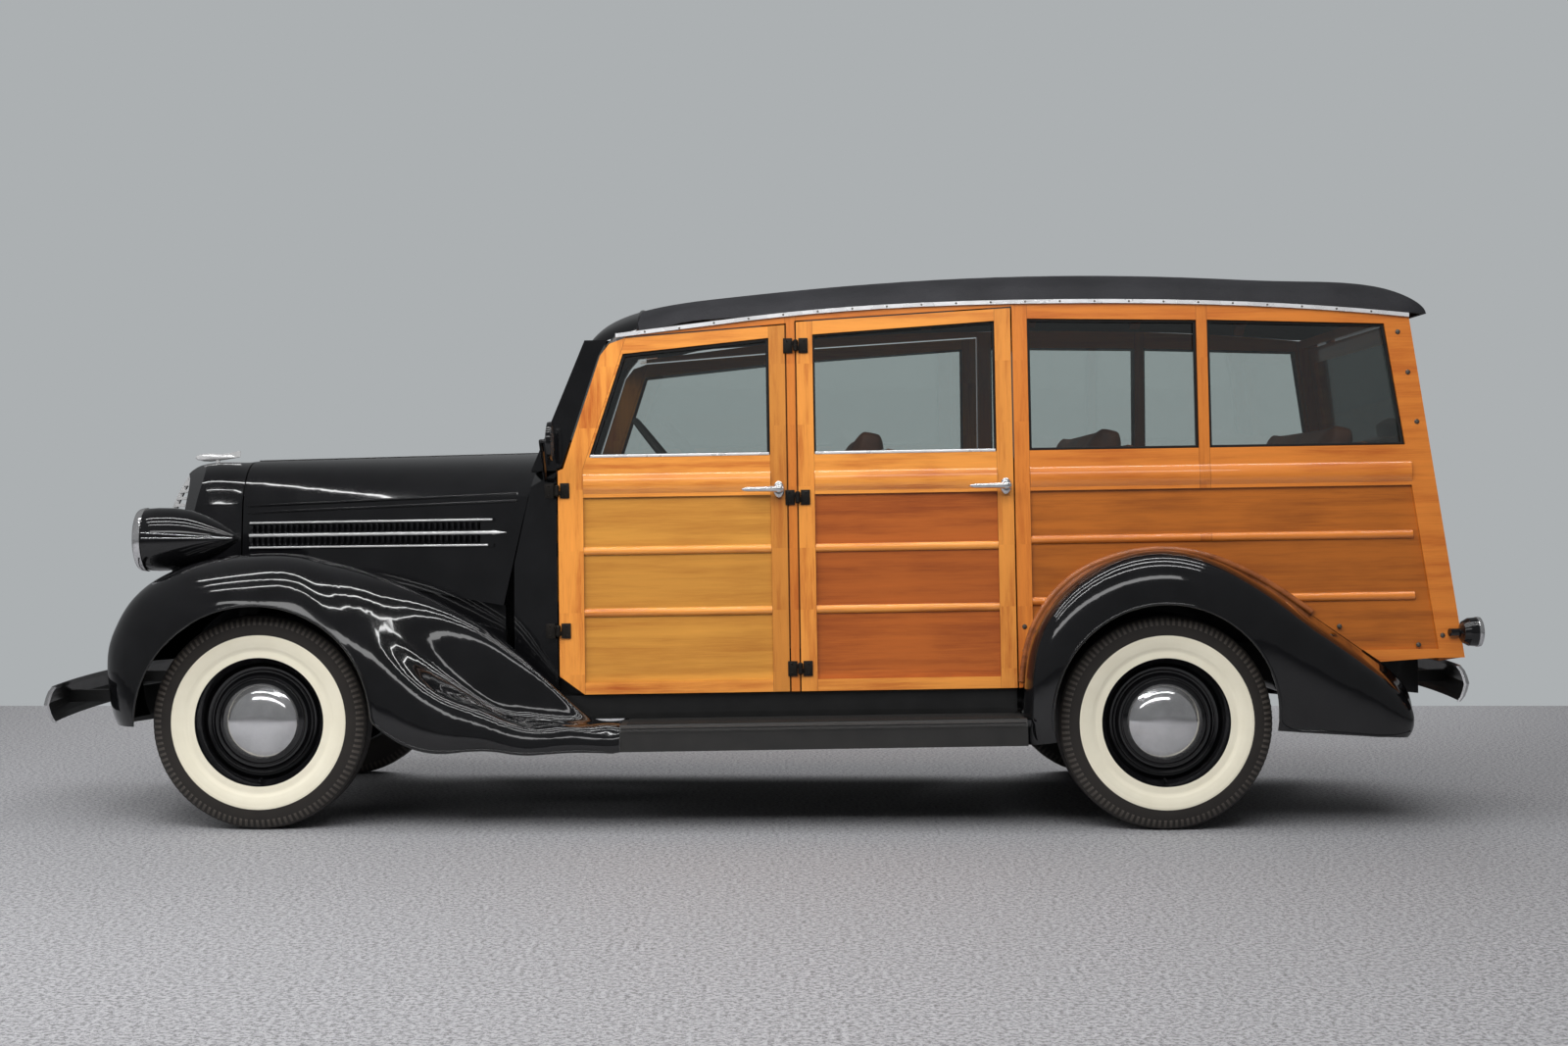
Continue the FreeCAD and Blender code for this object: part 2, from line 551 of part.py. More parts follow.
def make_rear_fender():
    """Left rear fender with its long tail, and the wheelhouse behind it inside the body."""
    sections = []
    lip = REAR_OPENING_RADIUS * LIP_RADIUS_SHARE
    for angle, crown_share, seam_share, width_share in REAR_FAN_SHARES:
        crown = REAR_CROWN_RADIUS * crown_share
        seam = REAR_CROWN_RADIUS * seam_share
        outer_y = FENDER_LIP_Y * width_share
        points = []
        for index, (y, drop) in enumerate(REAR_DOME_SHARES):
            blend = REAR_BLEND_SHARES[min(index, len(REAR_BLEND_SHARES) - 1)]
            radius = seam + blend * (crown - seam) - drop * (crown - lip)
            points.append((REAR_SEAM_Y + y * (outer_y - REAR_SEAM_Y), radius))
        sections.append(sheet_section(points, fan_place(REAR_ARCH_X, REAR_ARCH_Z, angle)))
    shell = Part.makeLoft(sections, True, False)
    opening_x = REAR_ARCH_X + REAR_OPENING_SHIFT_X
    opening_z = REAR_ARCH_Z + REAR_OPENING_SHIFT_Z
    opening = rod(V(opening_x, OPENING_DEPTH_Y, opening_z),
                  V(opening_x, FENDER_LIP_Y + OVERRUN, opening_z), REAR_OPENING_RADIUS)
    return shell.cut(opening)


def make_running_board(fender):
    """Left running board: flat ribbed tread with a rolled outer edge, fitted to the rear fender."""
    outline = [(BOARD_INNER_Y, BOARD_TOP_Z), (BOARD_OUTER_Y - BOARD_RIB_MARGIN, BOARD_TOP_Z),
               (BOARD_OUTER_Y - BOARD_SHEET, BOARD_TOP_Z - BOARD_RIB_MARGIN), (BOARD_OUTER_Y, BOARD_EDGE_Z),
               (BOARD_OUTER_Y - BOARD_SHEET, BOARD_EDGE_Z),
               (BOARD_OUTER_Y - 2 * BOARD_SHEET, BOARD_TOP_Z - BOARD_RIB_MARGIN),
               (BOARD_OUTER_Y - BOARD_RIB_MARGIN - BOARD_SHEET, BOARD_TOP_Z - BOARD_SHEET),
               (BOARD_INNER_Y, BOARD_TOP_Z - BOARD_SHEET)]
    front = BOARD_FRONT_X - RUN_GAP
    board = cross_plate(outline, BOARD_REAR_X, front)
    first = BOARD_INNER_Y + BOARD_RIB_MARGIN
    pitch = (BOARD_OUTER_Y - BOARD_RIB_MARGIN - first - BOARD_RIB_WIDTH) / (BOARD_RIBS - 1)
    ribs = []
    for index in range(BOARD_RIBS):
        y = first + index * pitch - BOARD_RIB_WIDTH
        ribs.append(box(BOARD_REAR_X + BOARD_RIB_MARGIN, front - BOARD_RIB_MARGIN, y, y + BOARD_RIB_WIDTH,
                        BOARD_TOP_Z - BOARD_SHEET / 2, BOARD_TOP_Z + BOARD_RIB_HEIGHT))
    clear = fender.copy()
    clear.translate(V(RUN_GAP, 0, 0))
    return largest(union([board] + ribs).cut(clear))


# Hood, cowl, radiator shell and grille

# Cross sections from the nose back to the doors: place along X, half width and height of the crease, height
# of the top, as shares of the hood's front place, the cowl's half width and the hood's heights
NOSE_SECTION_SHARES = (
    (1.180, 0.300, 0.880, 0.880), (1.148, 0.345, 0.935, 0.955), (1.115, 0.380, 0.975, 0.984),
    (1.075, 0.402, 0.993, 0.993), (1.0, 0.414, 1.0, 0.994))
HOOD_SECTION_SHARES = ((1.0, 0.414, 1.0, 0.994), (0.78, 0.600, 1.0, 0.9976), (0.60, 0.775, 1.0, 1.0006),
                       (0.45, 0.930, 1.0, 1.0031), (0.30, 1.080, 1.0, 1.0056))
TOP_ARCH_SHARES = ((0.90, 0.30), (0.72, 0.66), (0.40, 0.92))
SIDE_FLARE = 34.0
SIDE_FLARE_LOW = 62.0
SIDE_MID_Z = 880.0
SIDE_LOW_Z = 440.0
HOOD_EDGE_FRONT_Z = 892.0
HOOD_EDGE_SLOPE = 0.167
HOOD_HINGE_Y = 7.0
HOOD_HINGE_RADIUS = 4.0
HOOD_PANEL_START_Y = 9.0
HOOD_SEAM_TOP_X = 724.0
LOUVRE_COUNT = 40
LOUVRE_PITCH = 21.0
LOUVRE_WIDTH = 13.0
LOUVRE_UPPER_Z = 1000.0
LOUVRE_LOWER_Z = 956.0
LOUVRE_HEIGHT = 24.0
STRIP_HEIGHT = 9.0
STRIP_PROUD = 5.0
STRIP_FRONT_X = 1775.0
STRIP_REAR_X = 880.0
STRIP_HEIGHTS_Z = (1022.0, 978.0, 936.0)
SHELL_SHEET = 6.0
GRILLE_INSET = 5.0
GRILLE_DEPTH = 14.0
GRILLE_FRAME = 11.0
GRILLE_CENTRE_HALF = 9.0
GRILLE_BAR_PITCH = 25.0
GRILLE_BAR_GAP = 14.0
GRILLE_TOP_Z = 1203.0
GRILLE_BOTTOM_Z = 585.0
GRILLE_HALF = 152.0
GRILLE_OUTLINE_SHARES = ((0.0, 1.0), (0.42, 0.945), (0.86, 0.80), (1.0, 0.58), (0.90, 0.30), (0.62, 0.08),
                         (0.0, 0.0))
PROW_SHARES = ((0.0, 1.040), (0.55, 1.030), (0.78, 1.012), (0.885, 0.992), (0.95, 0.972), (0.985, 0.950),
               (1.0, 0.915))
PROW_TOP_Z = 1262.0
PROW_SLOPE = 0.68
COWL_REAR_X = FRONT_DOOR_FRONT_X + DOOR_GAP
COWL_BOTTOM_Z = 452.0
COWL_SHOULDER_Z = 1176.0
COWL_REAR_TOP_Z = 1268.0
COWL_SHEET = 6.0
HOOD_SILL_FLANGE = 44.0
HOOD_SILL_SHEET = 4.0


def arch_section(x, half, crease_z, top_z, inset):
    """Closed section of the hood or nose: flared sides, a crease on each side and an arched top."""
    half -= inset
    top_z -= inset
    rise = top_z - crease_z
    low = V(x, half + SIDE_FLARE_LOW, SIDE_LOW_Z)
    middle = V(x, half + SIDE_FLARE, SIDE_MID_Z)
    crease = V(x, half, crease_z)
    arch = [V(x, half * y, crease_z + rise * z) for y, z in TOP_ARCH_SHARES]
    other = [V(x, -p.y, p.z) for p in reversed([crease] + arch)]
    opposite = [V(x, -p.y, p.z) for p in (crease, middle, low)]
    return Part.Wire([spline([low, middle, crease]), spline([crease] + arch + [V(x, 0, top_z)] + other),
                      spline(opposite), Part.makeLine(opposite[-1], low)])


def arch_body(table_shares, inset):
    """Solid lofted through a table of sections, drawn in by an inset."""
    sections = []
    for x, half, crease, top in table_shares:
        sections.append(arch_section(x * HOOD_FRONT_X, half * COWL_HALF, crease * HOOD_CREASE_Z,
                                     top * HOOD_TOP_Z, inset))
    return Part.makeLoft(sections, True, False)


def cowl_rear_section(x, inset):
    """Section at the doors: sides that lean as the doors do, under a low arch that carries the windshield."""
    low_half = side_y(SIDE_LOW_Z) - inset
    half = side_y(COWL_SHOULDER_Z) - inset
    rise = COWL_REAR_TOP_Z - COWL_SHOULDER_Z
    low = V(x, low_half, SIDE_LOW_Z)
    middle = V(x, side_y(SIDE_MID_Z) - inset, SIDE_MID_Z)
    shoulder = V(x, half, COWL_SHOULDER_Z)
    arch = [V(x, half * y, COWL_SHOULDER_Z + rise * z - inset) for y, z in TOP_ARCH_SHARES]
    other = [V(x, -p.y, p.z) for p in reversed([shoulder] + arch)]
    opposite = [V(x, -p.y, p.z) for p in (shoulder, middle, low)]
    top = V(x, 0, COWL_REAR_TOP_Z - inset)
    return Part.Wire([spline([low, middle, shoulder]), spline([shoulder] + arch + [top] + other),
                      spline(opposite), Part.makeLine(opposite[-1], low)])


def cowl_body(inset):
    """Solid of the cowl, from the hood's rear section to the flat leaning sides at the doors."""
    x_share, half, crease, top = HOOD_SECTION_SHARES[-2]
    front = arch_section(x_share * HOOD_FRONT_X, half * COWL_HALF, crease * HOOD_CREASE_Z,
                         top * HOOD_TOP_Z, inset)
    rear = cowl_rear_section(COWL_REAR_X, inset)
    return Part.makeLoft([front, rear], True, True)


def seam_side(offset):
    """Region behind the hood's slanting rear seam, moved along X by an offset."""
    top_z = HOOD_TOP_Z + 2 * OVERRUN
    low_z = SIDE_LOW_Z - OVERRUN
    top_x = HOOD_SEAM_TOP_X + offset - (top_z - HOOD_TOP_Z) * HOOD_SEAM_SLOPE
    low_x = HOOD_SEAM_TOP_X + offset + (HOOD_TOP_Z - low_z) * HOOD_SEAM_SLOPE
    outline = [(0, top_z), (top_x, top_z), (low_x, low_z), (0, low_z)]
    plate = side_plate(outline, -2 * COWL_HALF, 2 * COWL_HALF)
    return plate


def hood_edge_z(x):
    """Height of the hood's lower edge at a place along X."""
    return HOOD_EDGE_FRONT_Z - (HOOD_FRONT_X - x) * HOOD_EDGE_SLOPE


def hood_top_z(x):
    """Height of the hood's straight top line at a place along X."""
    front_x, _, _, front = HOOD_SECTION_SHARES[0]
    rear_x, _, _, rear = HOOD_SECTION_SHARES[-1]
    share = (x / HOOD_FRONT_X - front_x) / (rear_x - front_x)
    return HOOD_TOP_Z * (front + share * (rear - front))


def hinge_line(y):
    """Ends of a straight line along the hood's top at a distance from the middle."""
    rear_x = HOOD_SEAM_TOP_X + HOOD_HINGE_RADIUS
    front_x = HOOD_FRONT_X - HOOD_HINGE_RADIUS
    return V(rear_x, y, hood_top_z(rear_x)), V(front_x, y, hood_top_z(front_x))


def make_hood_half():
    """Left half of the hood: top and side panel with two rows of louvres between three strips."""
    shell = arch_body(HOOD_SECTION_SHARES, 0).cut(arch_body(HOOD_SECTION_SHARES, HOOD_SHEET))
    edge = [(0, hood_edge_z(0)), (HOOD_FRONT_X, hood_edge_z(HOOD_FRONT_X)),
            (HOOD_FRONT_X, 2 * HOOD_TOP_Z), (0, 2 * HOOD_TOP_Z)]
    keep = side_plate(edge, HOOD_PANEL_START_Y, 2 * COWL_HALF)
    panel = shell.common(keep)
    slots = []
    for z in (LOUVRE_UPPER_Z, LOUVRE_LOWER_Z):
        for index in range(LOUVRE_COUNT):
            x = STRIP_FRONT_X - LOUVRE_PITCH * (index + 1)
            slots.append(box(x - LOUVRE_WIDTH / 2, x + LOUVRE_WIDTH / 2, HOOD_PANEL_START_Y, 2 * COWL_HALF,
                             z - LOUVRE_HEIGHT / 2, z + LOUVRE_HEIGHT / 2))
    band = arch_body(HOOD_SECTION_SHARES, -STRIP_PROUD).cut(arch_body(HOOD_SECTION_SHARES, HOOD_SHEET / 2))
    strips = [box(STRIP_REAR_X, STRIP_FRONT_X, HOOD_PANEL_START_Y, 2 * COWL_HALF, z - STRIP_HEIGHT / 2,
                  z + STRIP_HEIGHT / 2) for z in STRIP_HEIGHTS_Z]
    mouldings = band.common(Part.makeCompound(strips))
    barrel = rod(*hinge_line(HOOD_HINGE_Y), HOOD_HINGE_RADIUS)
    return panel.cut(slots).multiFuse([mouldings, barrel]).cut(seam_side(0))


def make_hood_centre_strip():
    """Thin fixed strip between the two halves of the hood."""
    half = HOOD_HINGE_Y - HOOD_HINGE_RADIUS - RUN_GAP
    depth = 2 * HOOD_HINGE_RADIUS
    front_x = HOOD_FRONT_X + HOOD_SEAM_GAP - RUN_GAP
    top = [(x, hood_top_z(x)) for x in (HOOD_SEAM_TOP_X - STILE_WIDTH, front_x)]
    low = [(x, z - depth) for x, z in reversed(top)]
    return side_plate(top + low, -half, half).cut(seam_side(RUN_GAP - HOOD_SEAM_GAP))


def make_cowl():
    """Cowl with its leaning sides, the firewall and the posts that carry the front doors' hinges."""
    outer = cowl_body(0)
    shell = outer.cut(cowl_body(COWL_SHEET))
    behind = seam_side(-HOOD_SEAM_GAP)
    low = side_plate([(0, COWL_BOTTOM_Z), (HOOD_FRONT_X, COWL_BOTTOM_Z), (HOOD_FRONT_X, 2 * HOOD_TOP_Z),
                      (0, 2 * HOOD_TOP_Z)], -2 * COWL_HALF, 2 * COWL_HALF)
    shell = shell.common(behind).common(low)
    wall = box(COWL_REAR_X, COWL_REAR_X + COWL_SHEET, -COWL_HALF, COWL_HALF, FLOOR_TOP_Z, HOOD_TOP_Z)
    posts = []
    for hand in (1, -1):
        post = side_plate([(COWL_REAR_X, COWL_BOTTOM_Z), (COWL_REAR_X + STILE_WIDTH, COWL_BOTTOM_Z),
                           (COWL_REAR_X + STILE_WIDTH, COWL_SHOULDER_Z), (COWL_REAR_X, COWL_SHOULDER_Z)],
                          -DOOR_THICKNESS, 0)
        posts.append(on_side(post, hand).common(outer))
    firewall = wall.common(outer)
    firewall.translate(V(STILE_WIDTH, 0, 0))
    leaves = union(hinge_leaves(FRONT_DOOR_PIN_X, FRONT_HINGE_HEIGHTS_Z, 1))
    return union([shell, firewall.common(outer)] + posts + [on_side(leaves, 1), on_side(leaves, -1)])


def make_hood_sill():
    """Left panel from the frame rail up to the ledge on which the hood's lower edge rests."""
    (front_x, front_y), (rear_x, rear_y) = hood_sill_line(0)
    plan = polygon_face([V(front_x, front_y, 0), V(rear_x, rear_y, 0), V(rear_x, rear_y - HOOD_SILL_SHEET, 0),
                         V(front_x, front_y - HOOD_SILL_SHEET, 0)])
    wall = plan.extrude(V(0, 0, HOOD_TOP_Z))
    ledge_plan = polygon_face([V(front_x, front_y, 0), V(rear_x, rear_y, 0),
                               V(rear_x, rear_y - HOOD_SILL_FLANGE, 0),
                               V(front_x, front_y - HOOD_SILL_FLANGE, 0)])
    ledge = ledge_plan.extrude(V(0, 0, HOOD_TOP_Z))
    top_front = hood_edge_z(front_x) - RUN_GAP
    top_rear = hood_edge_z(rear_x) - RUN_GAP
    wall_keep = side_plate([(rear_x, RAIL_TOP_Z), (front_x, RAIL_TOP_Z), (front_x, top_front),
                            (rear_x, top_rear)], 0, COWL_HALF)
    ledge_keep = side_plate([(rear_x, top_rear - HOOD_SILL_SHEET), (front_x, top_front - HOOD_SILL_SHEET),
                             (front_x, top_front), (rear_x, top_rear)], 0, COWL_HALF)
    return wall.common(wall_keep).fuse(ledge.common(ledge_keep)).removeSplitter()


def prow_body(inset):
    """V-shaped region in plan whose edge follows the nose's profile, drawn back by an inset."""
    sections = []
    low_z = NOSE_BOTTOM_Z - OVERRUN
    for height, reach in PROW_SHARES:
        z = low_z + height * (PROW_TOP_Z - low_z)
        tip = NOSE_TIP_X * reach - inset
        side = tip - PROW_SLOPE * COWL_HALF
        back = HOOD_FRONT_X / 2
        sections.append(Part.makePolygon([V(tip, 0, z), V(side, COWL_HALF, z), V(back, COWL_HALF, z),
                                          V(back, -COWL_HALF, z), V(side, -COWL_HALF, z), V(tip, 0, z)]))
    return Part.makeLoft(sections, True, False)


def nose_body(inset):
    """Solid of the nose inside its skin, drawn in by an inset."""
    return arch_body(NOSE_SECTION_SHARES, inset).common(prow_body(inset))


def grille_prism(shrink):
    """Prism along X over the grille's outline, drawn in by an amount."""
    height = GRILLE_TOP_Z - GRILLE_BOTTOM_Z - 2 * shrink
    half = GRILLE_HALF - shrink
    right = [V(0, half * y, GRILLE_BOTTOM_Z + shrink + height * z) for y, z in GRILLE_OUTLINE_SHARES]
    left = [V(0, -p.y, p.z) for p in reversed(right)]
    face = Part.Face(Part.Wire([spline(right), spline(left)]))
    face.translate(V(HOOD_FRONT_X, 0, 0))
    return face.extrude(V(HOOD_FRONT_X, 0, 0))


def make_radiator_shell():
    """Painted shell round the grille, open at its back and below."""
    shell = nose_body(0).cut(nose_body(SHELL_SHEET))
    keep = box(HOOD_FRONT_X + HOOD_SEAM_GAP, 2 * HOOD_FRONT_X, -COWL_HALF, COWL_HALF,
               NOSE_BOTTOM_Z, 2 * HOOD_TOP_Z)
    return shell.common(keep).cut(grille_prism(0))


def make_grille():
    """Bright grille: frame, centre bar and bars that follow the shell's prow."""
    band = nose_body(GRILLE_INSET).cut(nose_body(GRILLE_INSET + GRILLE_DEPTH))
    blank = band.common(grille_prism(RUN_GAP))
    inner = grille_prism(GRILLE_FRAME)
    slots = []
    z = GRILLE_BOTTOM_Z + GRILLE_FRAME
    while z < GRILLE_TOP_Z - GRILLE_FRAME:
        for sign in (1, -1):
            slots.append(box(HOOD_FRONT_X, 2 * HOOD_FRONT_X, sign * GRILLE_CENTRE_HALF, sign * COWL_HALF,
                             z, z + GRILLE_BAR_GAP))
        z += GRILLE_BAR_PITCH
    cutter = Part.makeCompound(slots).common(inner)
    return blank.cut(cutter)


# Wooden body: doors, fixed sides, tailgate, liftgate and their glass

DOOR_CORNER_RISE = 61.0
DOOR_CORNER_RUN = 82.0
SLANT_BASE_X = 632.0
SLANT_BASE_Z = 1187.0
SLANT_TOP_X = 505.0
SLANT_TOP_Z = 1562.0
SLANT_BEND_X = 474.0
SLANT_BEND_Z = 1601.0
FRONT_DOOR_TOP_X = 423.0
FRONT_DOOR_TOP_Z = 1619.0
FRONT_DOOR_REAR_TOP_Z = 1655.0
REAR_DOOR_FRONT_TOP_Z = 1664.0
REAR_DOOR_REAR_TOP_Z = 1700.0
FRONT_STILE_WIDTH = 84.0
FRONT_TOP_RAIL = 52.0
REAR_TOP_RAIL = 42.0
SLANT_STILE_WIDTH = 74.0

# Drip line along the side's top, as heights above the drip's front end at places along X; both are shares
# of the roof's length and rise
DRIP_START_X = 452.0
DRIP_START_Z = 1634.0
DRIP_LENGTH = 2639.0
DRIP_RISE = 91.0
DRIP_SHARES = ((0.0, 0.0), (0.09, 0.292), (0.213, 0.671), (0.46, 1.0), (0.585, 1.0), (0.77, 0.846),
               (1.0, 0.307))
DRIP_HEIGHT = 13.0
DRIP_PROUD = 9.0
RAIL_DEPTH = 60.0
PILLAR_DEPTH = 74.0
PILLAR_FLANGE = 20.0
HINGE_BARREL_RADIUS = 8.0
HINGE_PIN_OUT = 12.0
HINGE_LEAF = 38.0
HINGE_LEAF_THICKNESS = 5.0
HINGE_LEAF_SEAT = 14.0
HINGE_HEIGHT = 30.0
FRONT_HINGE_HEIGHTS_Z = (650.0, 1114.0)
REAR_HINGE_HEIGHTS_Z = (514.0, 1080.0, 1585.0)
GATE_THICKNESS = 40.0
GATE_BOTTOM_Z = 516.0
GATE_SPLIT_Z = 1172.0
GATE_TOP_Z = 1636.0
GATE_SIDE_INSET = 68.0
GATE_STILE = 62.0
GATE_RAIL = 58.0
GATE_HINGE_OUT = 9.0
GATE_HINGE_RADIUS = 7.0
GATE_HINGE_LENGTH = 70.0
GATE_HINGE_Y = 390.0
GATE_BATTENS = 3
REAR_SILL_HEIGHT = 14.0
REAR_POST_GAP = 1.0
ARCH_CLEARANCE = 2.5
HANDLE_LENGTH = 100.0
HANDLE_RADIUS = 8.0
HANDLE_OUT = 42.0
HANDLE_Z = 1107.0
HANDLE_BASE_RADIUS = 17.0


def drip_points():
    """Points of the drip line in the side plane, from front to rear."""
    return [(DRIP_START_X - x * DRIP_LENGTH, DRIP_START_Z + z * DRIP_RISE) for x, z in DRIP_SHARES]


def drip_edge(shift):
    """Smooth edge along the drip line in the side plane, moved up by a shift."""
    return spline([V(x, 0, z + shift) for x, z in drip_points()])


def bar_along(x0, x1, z_low, z_high, base_y, proud):
    """Half round bar along X on the side plane, rising from a base depth by its proud height."""
    low = V(x0, base_y, z_low)
    high = V(x0, base_y, z_high)
    crown = V(x0, base_y + proud, (z_low + z_high) / 2)
    face = Part.Face(Part.Wire([Part.Arc(low, crown, high).toShape(), Part.makeLine(high, low)]))
    return face.extrude(V(x1 - x0, 0, 0))


def framed_panel(outline, window, recess, battens, belt):
    """Wooden door or wall piece: frame, cut window, recessed panel, battens and the rounded belt rail."""
    frame = side_plate(outline, -DOOR_THICKNESS, 0)
    frame = frame.cut(side_plate(window, -DOOR_THICKNESS - OVERRUN, OVERRUN))
    frame = frame.cut(side_plate(recess, -PANEL_RECESS, OVERRUN))
    inner = side_plate(recess, -DOOR_THICKNESS - OVERRUN, -PANEL_RECESS - PANEL_THICKNESS)
    frame = frame.cut(inner)
    x0, x1 = belt
    pieces = [frame, bar_along(x0, x1, BELT_LOW_Z, BELT_TOP_Z, -GLASS_LAP, BELT_PROUD + GLASS_LAP)]
    for z in battens:
        bar = bar_along(x0, x1, z - BATTEN_HEIGHT / 2, z + BATTEN_HEIGHT / 2, -PANEL_RECESS,
                        PANEL_RECESS + BATTEN_PROUD)
        pieces.append(bar)
    return union(pieces)


def hinge_leaves(pin_x, heights, side):
    """Hinge halves on the side plane: side is -1 for the door's and 1 for the post's."""
    pieces = []
    for z in heights:
        low, high = (z - HINGE_HEIGHT / 2, z) if side < 0 else (z, z + HINGE_HEIGHT / 2)
        low += RUN_GAP / 2
        high -= RUN_GAP / 2
        pieces.append(rod(V(pin_x, HINGE_PIN_OUT, low), V(pin_x, HINGE_PIN_OUT, high), HINGE_BARREL_RADIUS))
        reach = HINGE_LEAF if side < 0 else HINGE_LEAF / 2
        start = pin_x + side * DOOR_GAP / 2
        seat = box(start, pin_x + side * reach, -HINGE_LEAF_SEAT, HINGE_LEAF_THICKNESS, low, high)
        bridge = box(pin_x, start, HINGE_PIN_OUT - HINGE_BARREL_RADIUS, HINGE_LEAF_THICKNESS, low, high)
        pieces += [seat, bridge]
    return pieces


def door_handle(x):
    """Lever handle on the side plane that points forward from its base."""
    base = rod(V(x, 0, HANDLE_Z), V(x, HANDLE_OUT, HANDLE_Z), HANDLE_RADIUS)
    plate_end = V(x, BELT_PROUD + HANDLE_RADIUS, HANDLE_Z)
    plate = rod(V(x, BELT_PROUD / 2, HANDLE_Z), plate_end, HANDLE_BASE_RADIUS)
    lever = rod(V(x, HANDLE_OUT, HANDLE_Z), V(x + HANDLE_LENGTH, HANDLE_OUT, HANDLE_Z), HANDLE_RADIUS)
    return [base, plate, lever]


FRONT_DOOR_PIN_X = FRONT_DOOR_FRONT_X + DOOR_GAP / 2
REAR_DOOR_PIN_X = REAR_DOOR_FRONT_X + DOOR_GAP / 2


def front_door_window():
    """Corners of the front door's window."""
    rear = FRONT_DOOR_REAR_X + STILE_WIDTH
    slope = (SLANT_BASE_X - SLANT_TOP_X) / (SLANT_TOP_Z - SLANT_BASE_Z)
    front_low = SLANT_BASE_X - SLANT_STILE_WIDTH - (WINDOW_SILL_Z - SLANT_BASE_Z) * slope
    top_z = FRONT_DOOR_TOP_Z - FRONT_TOP_RAIL
    front_high = SLANT_BASE_X - SLANT_STILE_WIDTH - (top_z - SLANT_BASE_Z) * slope
    return [(rear, WINDOW_SILL_Z), (front_low, WINDOW_SILL_Z), (front_high, top_z),
            (rear, FRONT_DOOR_REAR_TOP_Z - REAR_TOP_RAIL)]


def make_front_door():
    """Left front door on the side plane."""
    outline = [(FRONT_DOOR_REAR_X, SIDE_BASE_Z), (FRONT_DOOR_FRONT_X - DOOR_CORNER_RUN, SIDE_BASE_Z),
               (FRONT_DOOR_FRONT_X, SIDE_BASE_Z + DOOR_CORNER_RISE), (FRONT_DOOR_FRONT_X, BELT_TOP_Z),
               (SLANT_BASE_X, SLANT_BASE_Z),
               (SLANT_TOP_X, SLANT_TOP_Z), (SLANT_BEND_X, SLANT_BEND_Z),
               (FRONT_DOOR_TOP_X, FRONT_DOOR_TOP_Z), (FRONT_DOOR_REAR_X, FRONT_DOOR_REAR_TOP_Z)]
    x0 = FRONT_DOOR_REAR_X + STILE_WIDTH
    x1 = FRONT_DOOR_FRONT_X - FRONT_STILE_WIDTH
    recess = [(x0, BOTTOM_RAIL_TOP_Z), (x1, BOTTOM_RAIL_TOP_Z), (x1, BELT_LOW_Z), (x0, BELT_LOW_Z)]
    door = framed_panel(outline, front_door_window(), recess, (LOWER_BATTEN_Z, UPPER_BATTEN_Z), (x0, x1))
    handle = door_handle(FRONT_DOOR_REAR_X + STILE_WIDTH / 2)
    return union([door] + hinge_leaves(FRONT_DOOR_PIN_X, FRONT_HINGE_HEIGHTS_Z, -1) + handle)


def rear_door_window():
    """Corners of the rear door's window."""
    rear = REAR_DOOR_REAR_X + STILE_WIDTH
    front = REAR_DOOR_FRONT_X - STILE_WIDTH
    return [(rear, WINDOW_SILL_Z), (front, WINDOW_SILL_Z), (front, REAR_DOOR_FRONT_TOP_Z - REAR_TOP_RAIL),
            (rear, REAR_DOOR_REAR_TOP_Z - REAR_TOP_RAIL)]


def make_rear_door():
    """Left rear door on the side plane."""
    outline = [(REAR_DOOR_REAR_X, SIDE_BASE_Z), (REAR_DOOR_FRONT_X, SIDE_BASE_Z),
               (REAR_DOOR_FRONT_X, REAR_DOOR_FRONT_TOP_Z), (REAR_DOOR_REAR_X, REAR_DOOR_REAR_TOP_Z)]
    x0 = REAR_DOOR_REAR_X + STILE_WIDTH
    x1 = REAR_DOOR_FRONT_X - STILE_WIDTH
    recess = [(x0, BOTTOM_RAIL_TOP_Z), (x1, BOTTOM_RAIL_TOP_Z), (x1, BELT_LOW_Z), (x0, BELT_LOW_Z)]
    door = framed_panel(outline, rear_door_window(), recess, (LOWER_BATTEN_Z, UPPER_BATTEN_Z), (x0, x1))
    handle = door_handle(REAR_DOOR_REAR_X + STILE_WIDTH / 2)
    return union([door] + hinge_leaves(REAR_DOOR_PIN_X, REAR_HINGE_HEIGHTS_Z, -1) + handle)


def pane(corners, grow):
    """Glass pane in the side plane behind a window's edge, grown past its corners on all sides."""
    middle_x = sum(x for x, _ in corners) / len(corners)
    middle_z = sum(z for _, z in corners) / len(corners)
    grown = [(x + math.copysign(1, x - middle_x) * grow, z + math.copysign(1, z - middle_z) * grow)
             for x, z in corners]
    return side_plate(grown, -GLASS_INSET - GLASS_THICKNESS, -GLASS_INSET)


def quarter_windows():
    """Corners of the two quarter windows, front and rear."""
    front = REAR_DOOR_REAR_X - DOOR_GAP - QUARTER_POST_WIDTH
    divider_rear = QUARTER_DIVIDER_X - QUARTER_DIVIDER_WIDTH
    rear_high = rear_x(REAR_DOOR_FRONT_TOP_Z) + REAR_POST_WIDTH
    rear_low = rear_x(WINDOW_SILL_Z) + REAR_POST_WIDTH
    top = REAR_DOOR_FRONT_TOP_Z
    first = [(QUARTER_DIVIDER_X, WINDOW_SILL_Z), (front, WINDOW_SILL_Z), (front, top),
             (QUARTER_DIVIDER_X, top - DRIP_HEIGHT)]
    second = [(rear_low, WINDOW_SILL_Z), (divider_rear, WINDOW_SILL_Z), (divider_rear, top - DRIP_HEIGHT),
              (rear_high, top - 2 * DRIP_HEIGHT - DRIP_PROUD)]
    return first, second


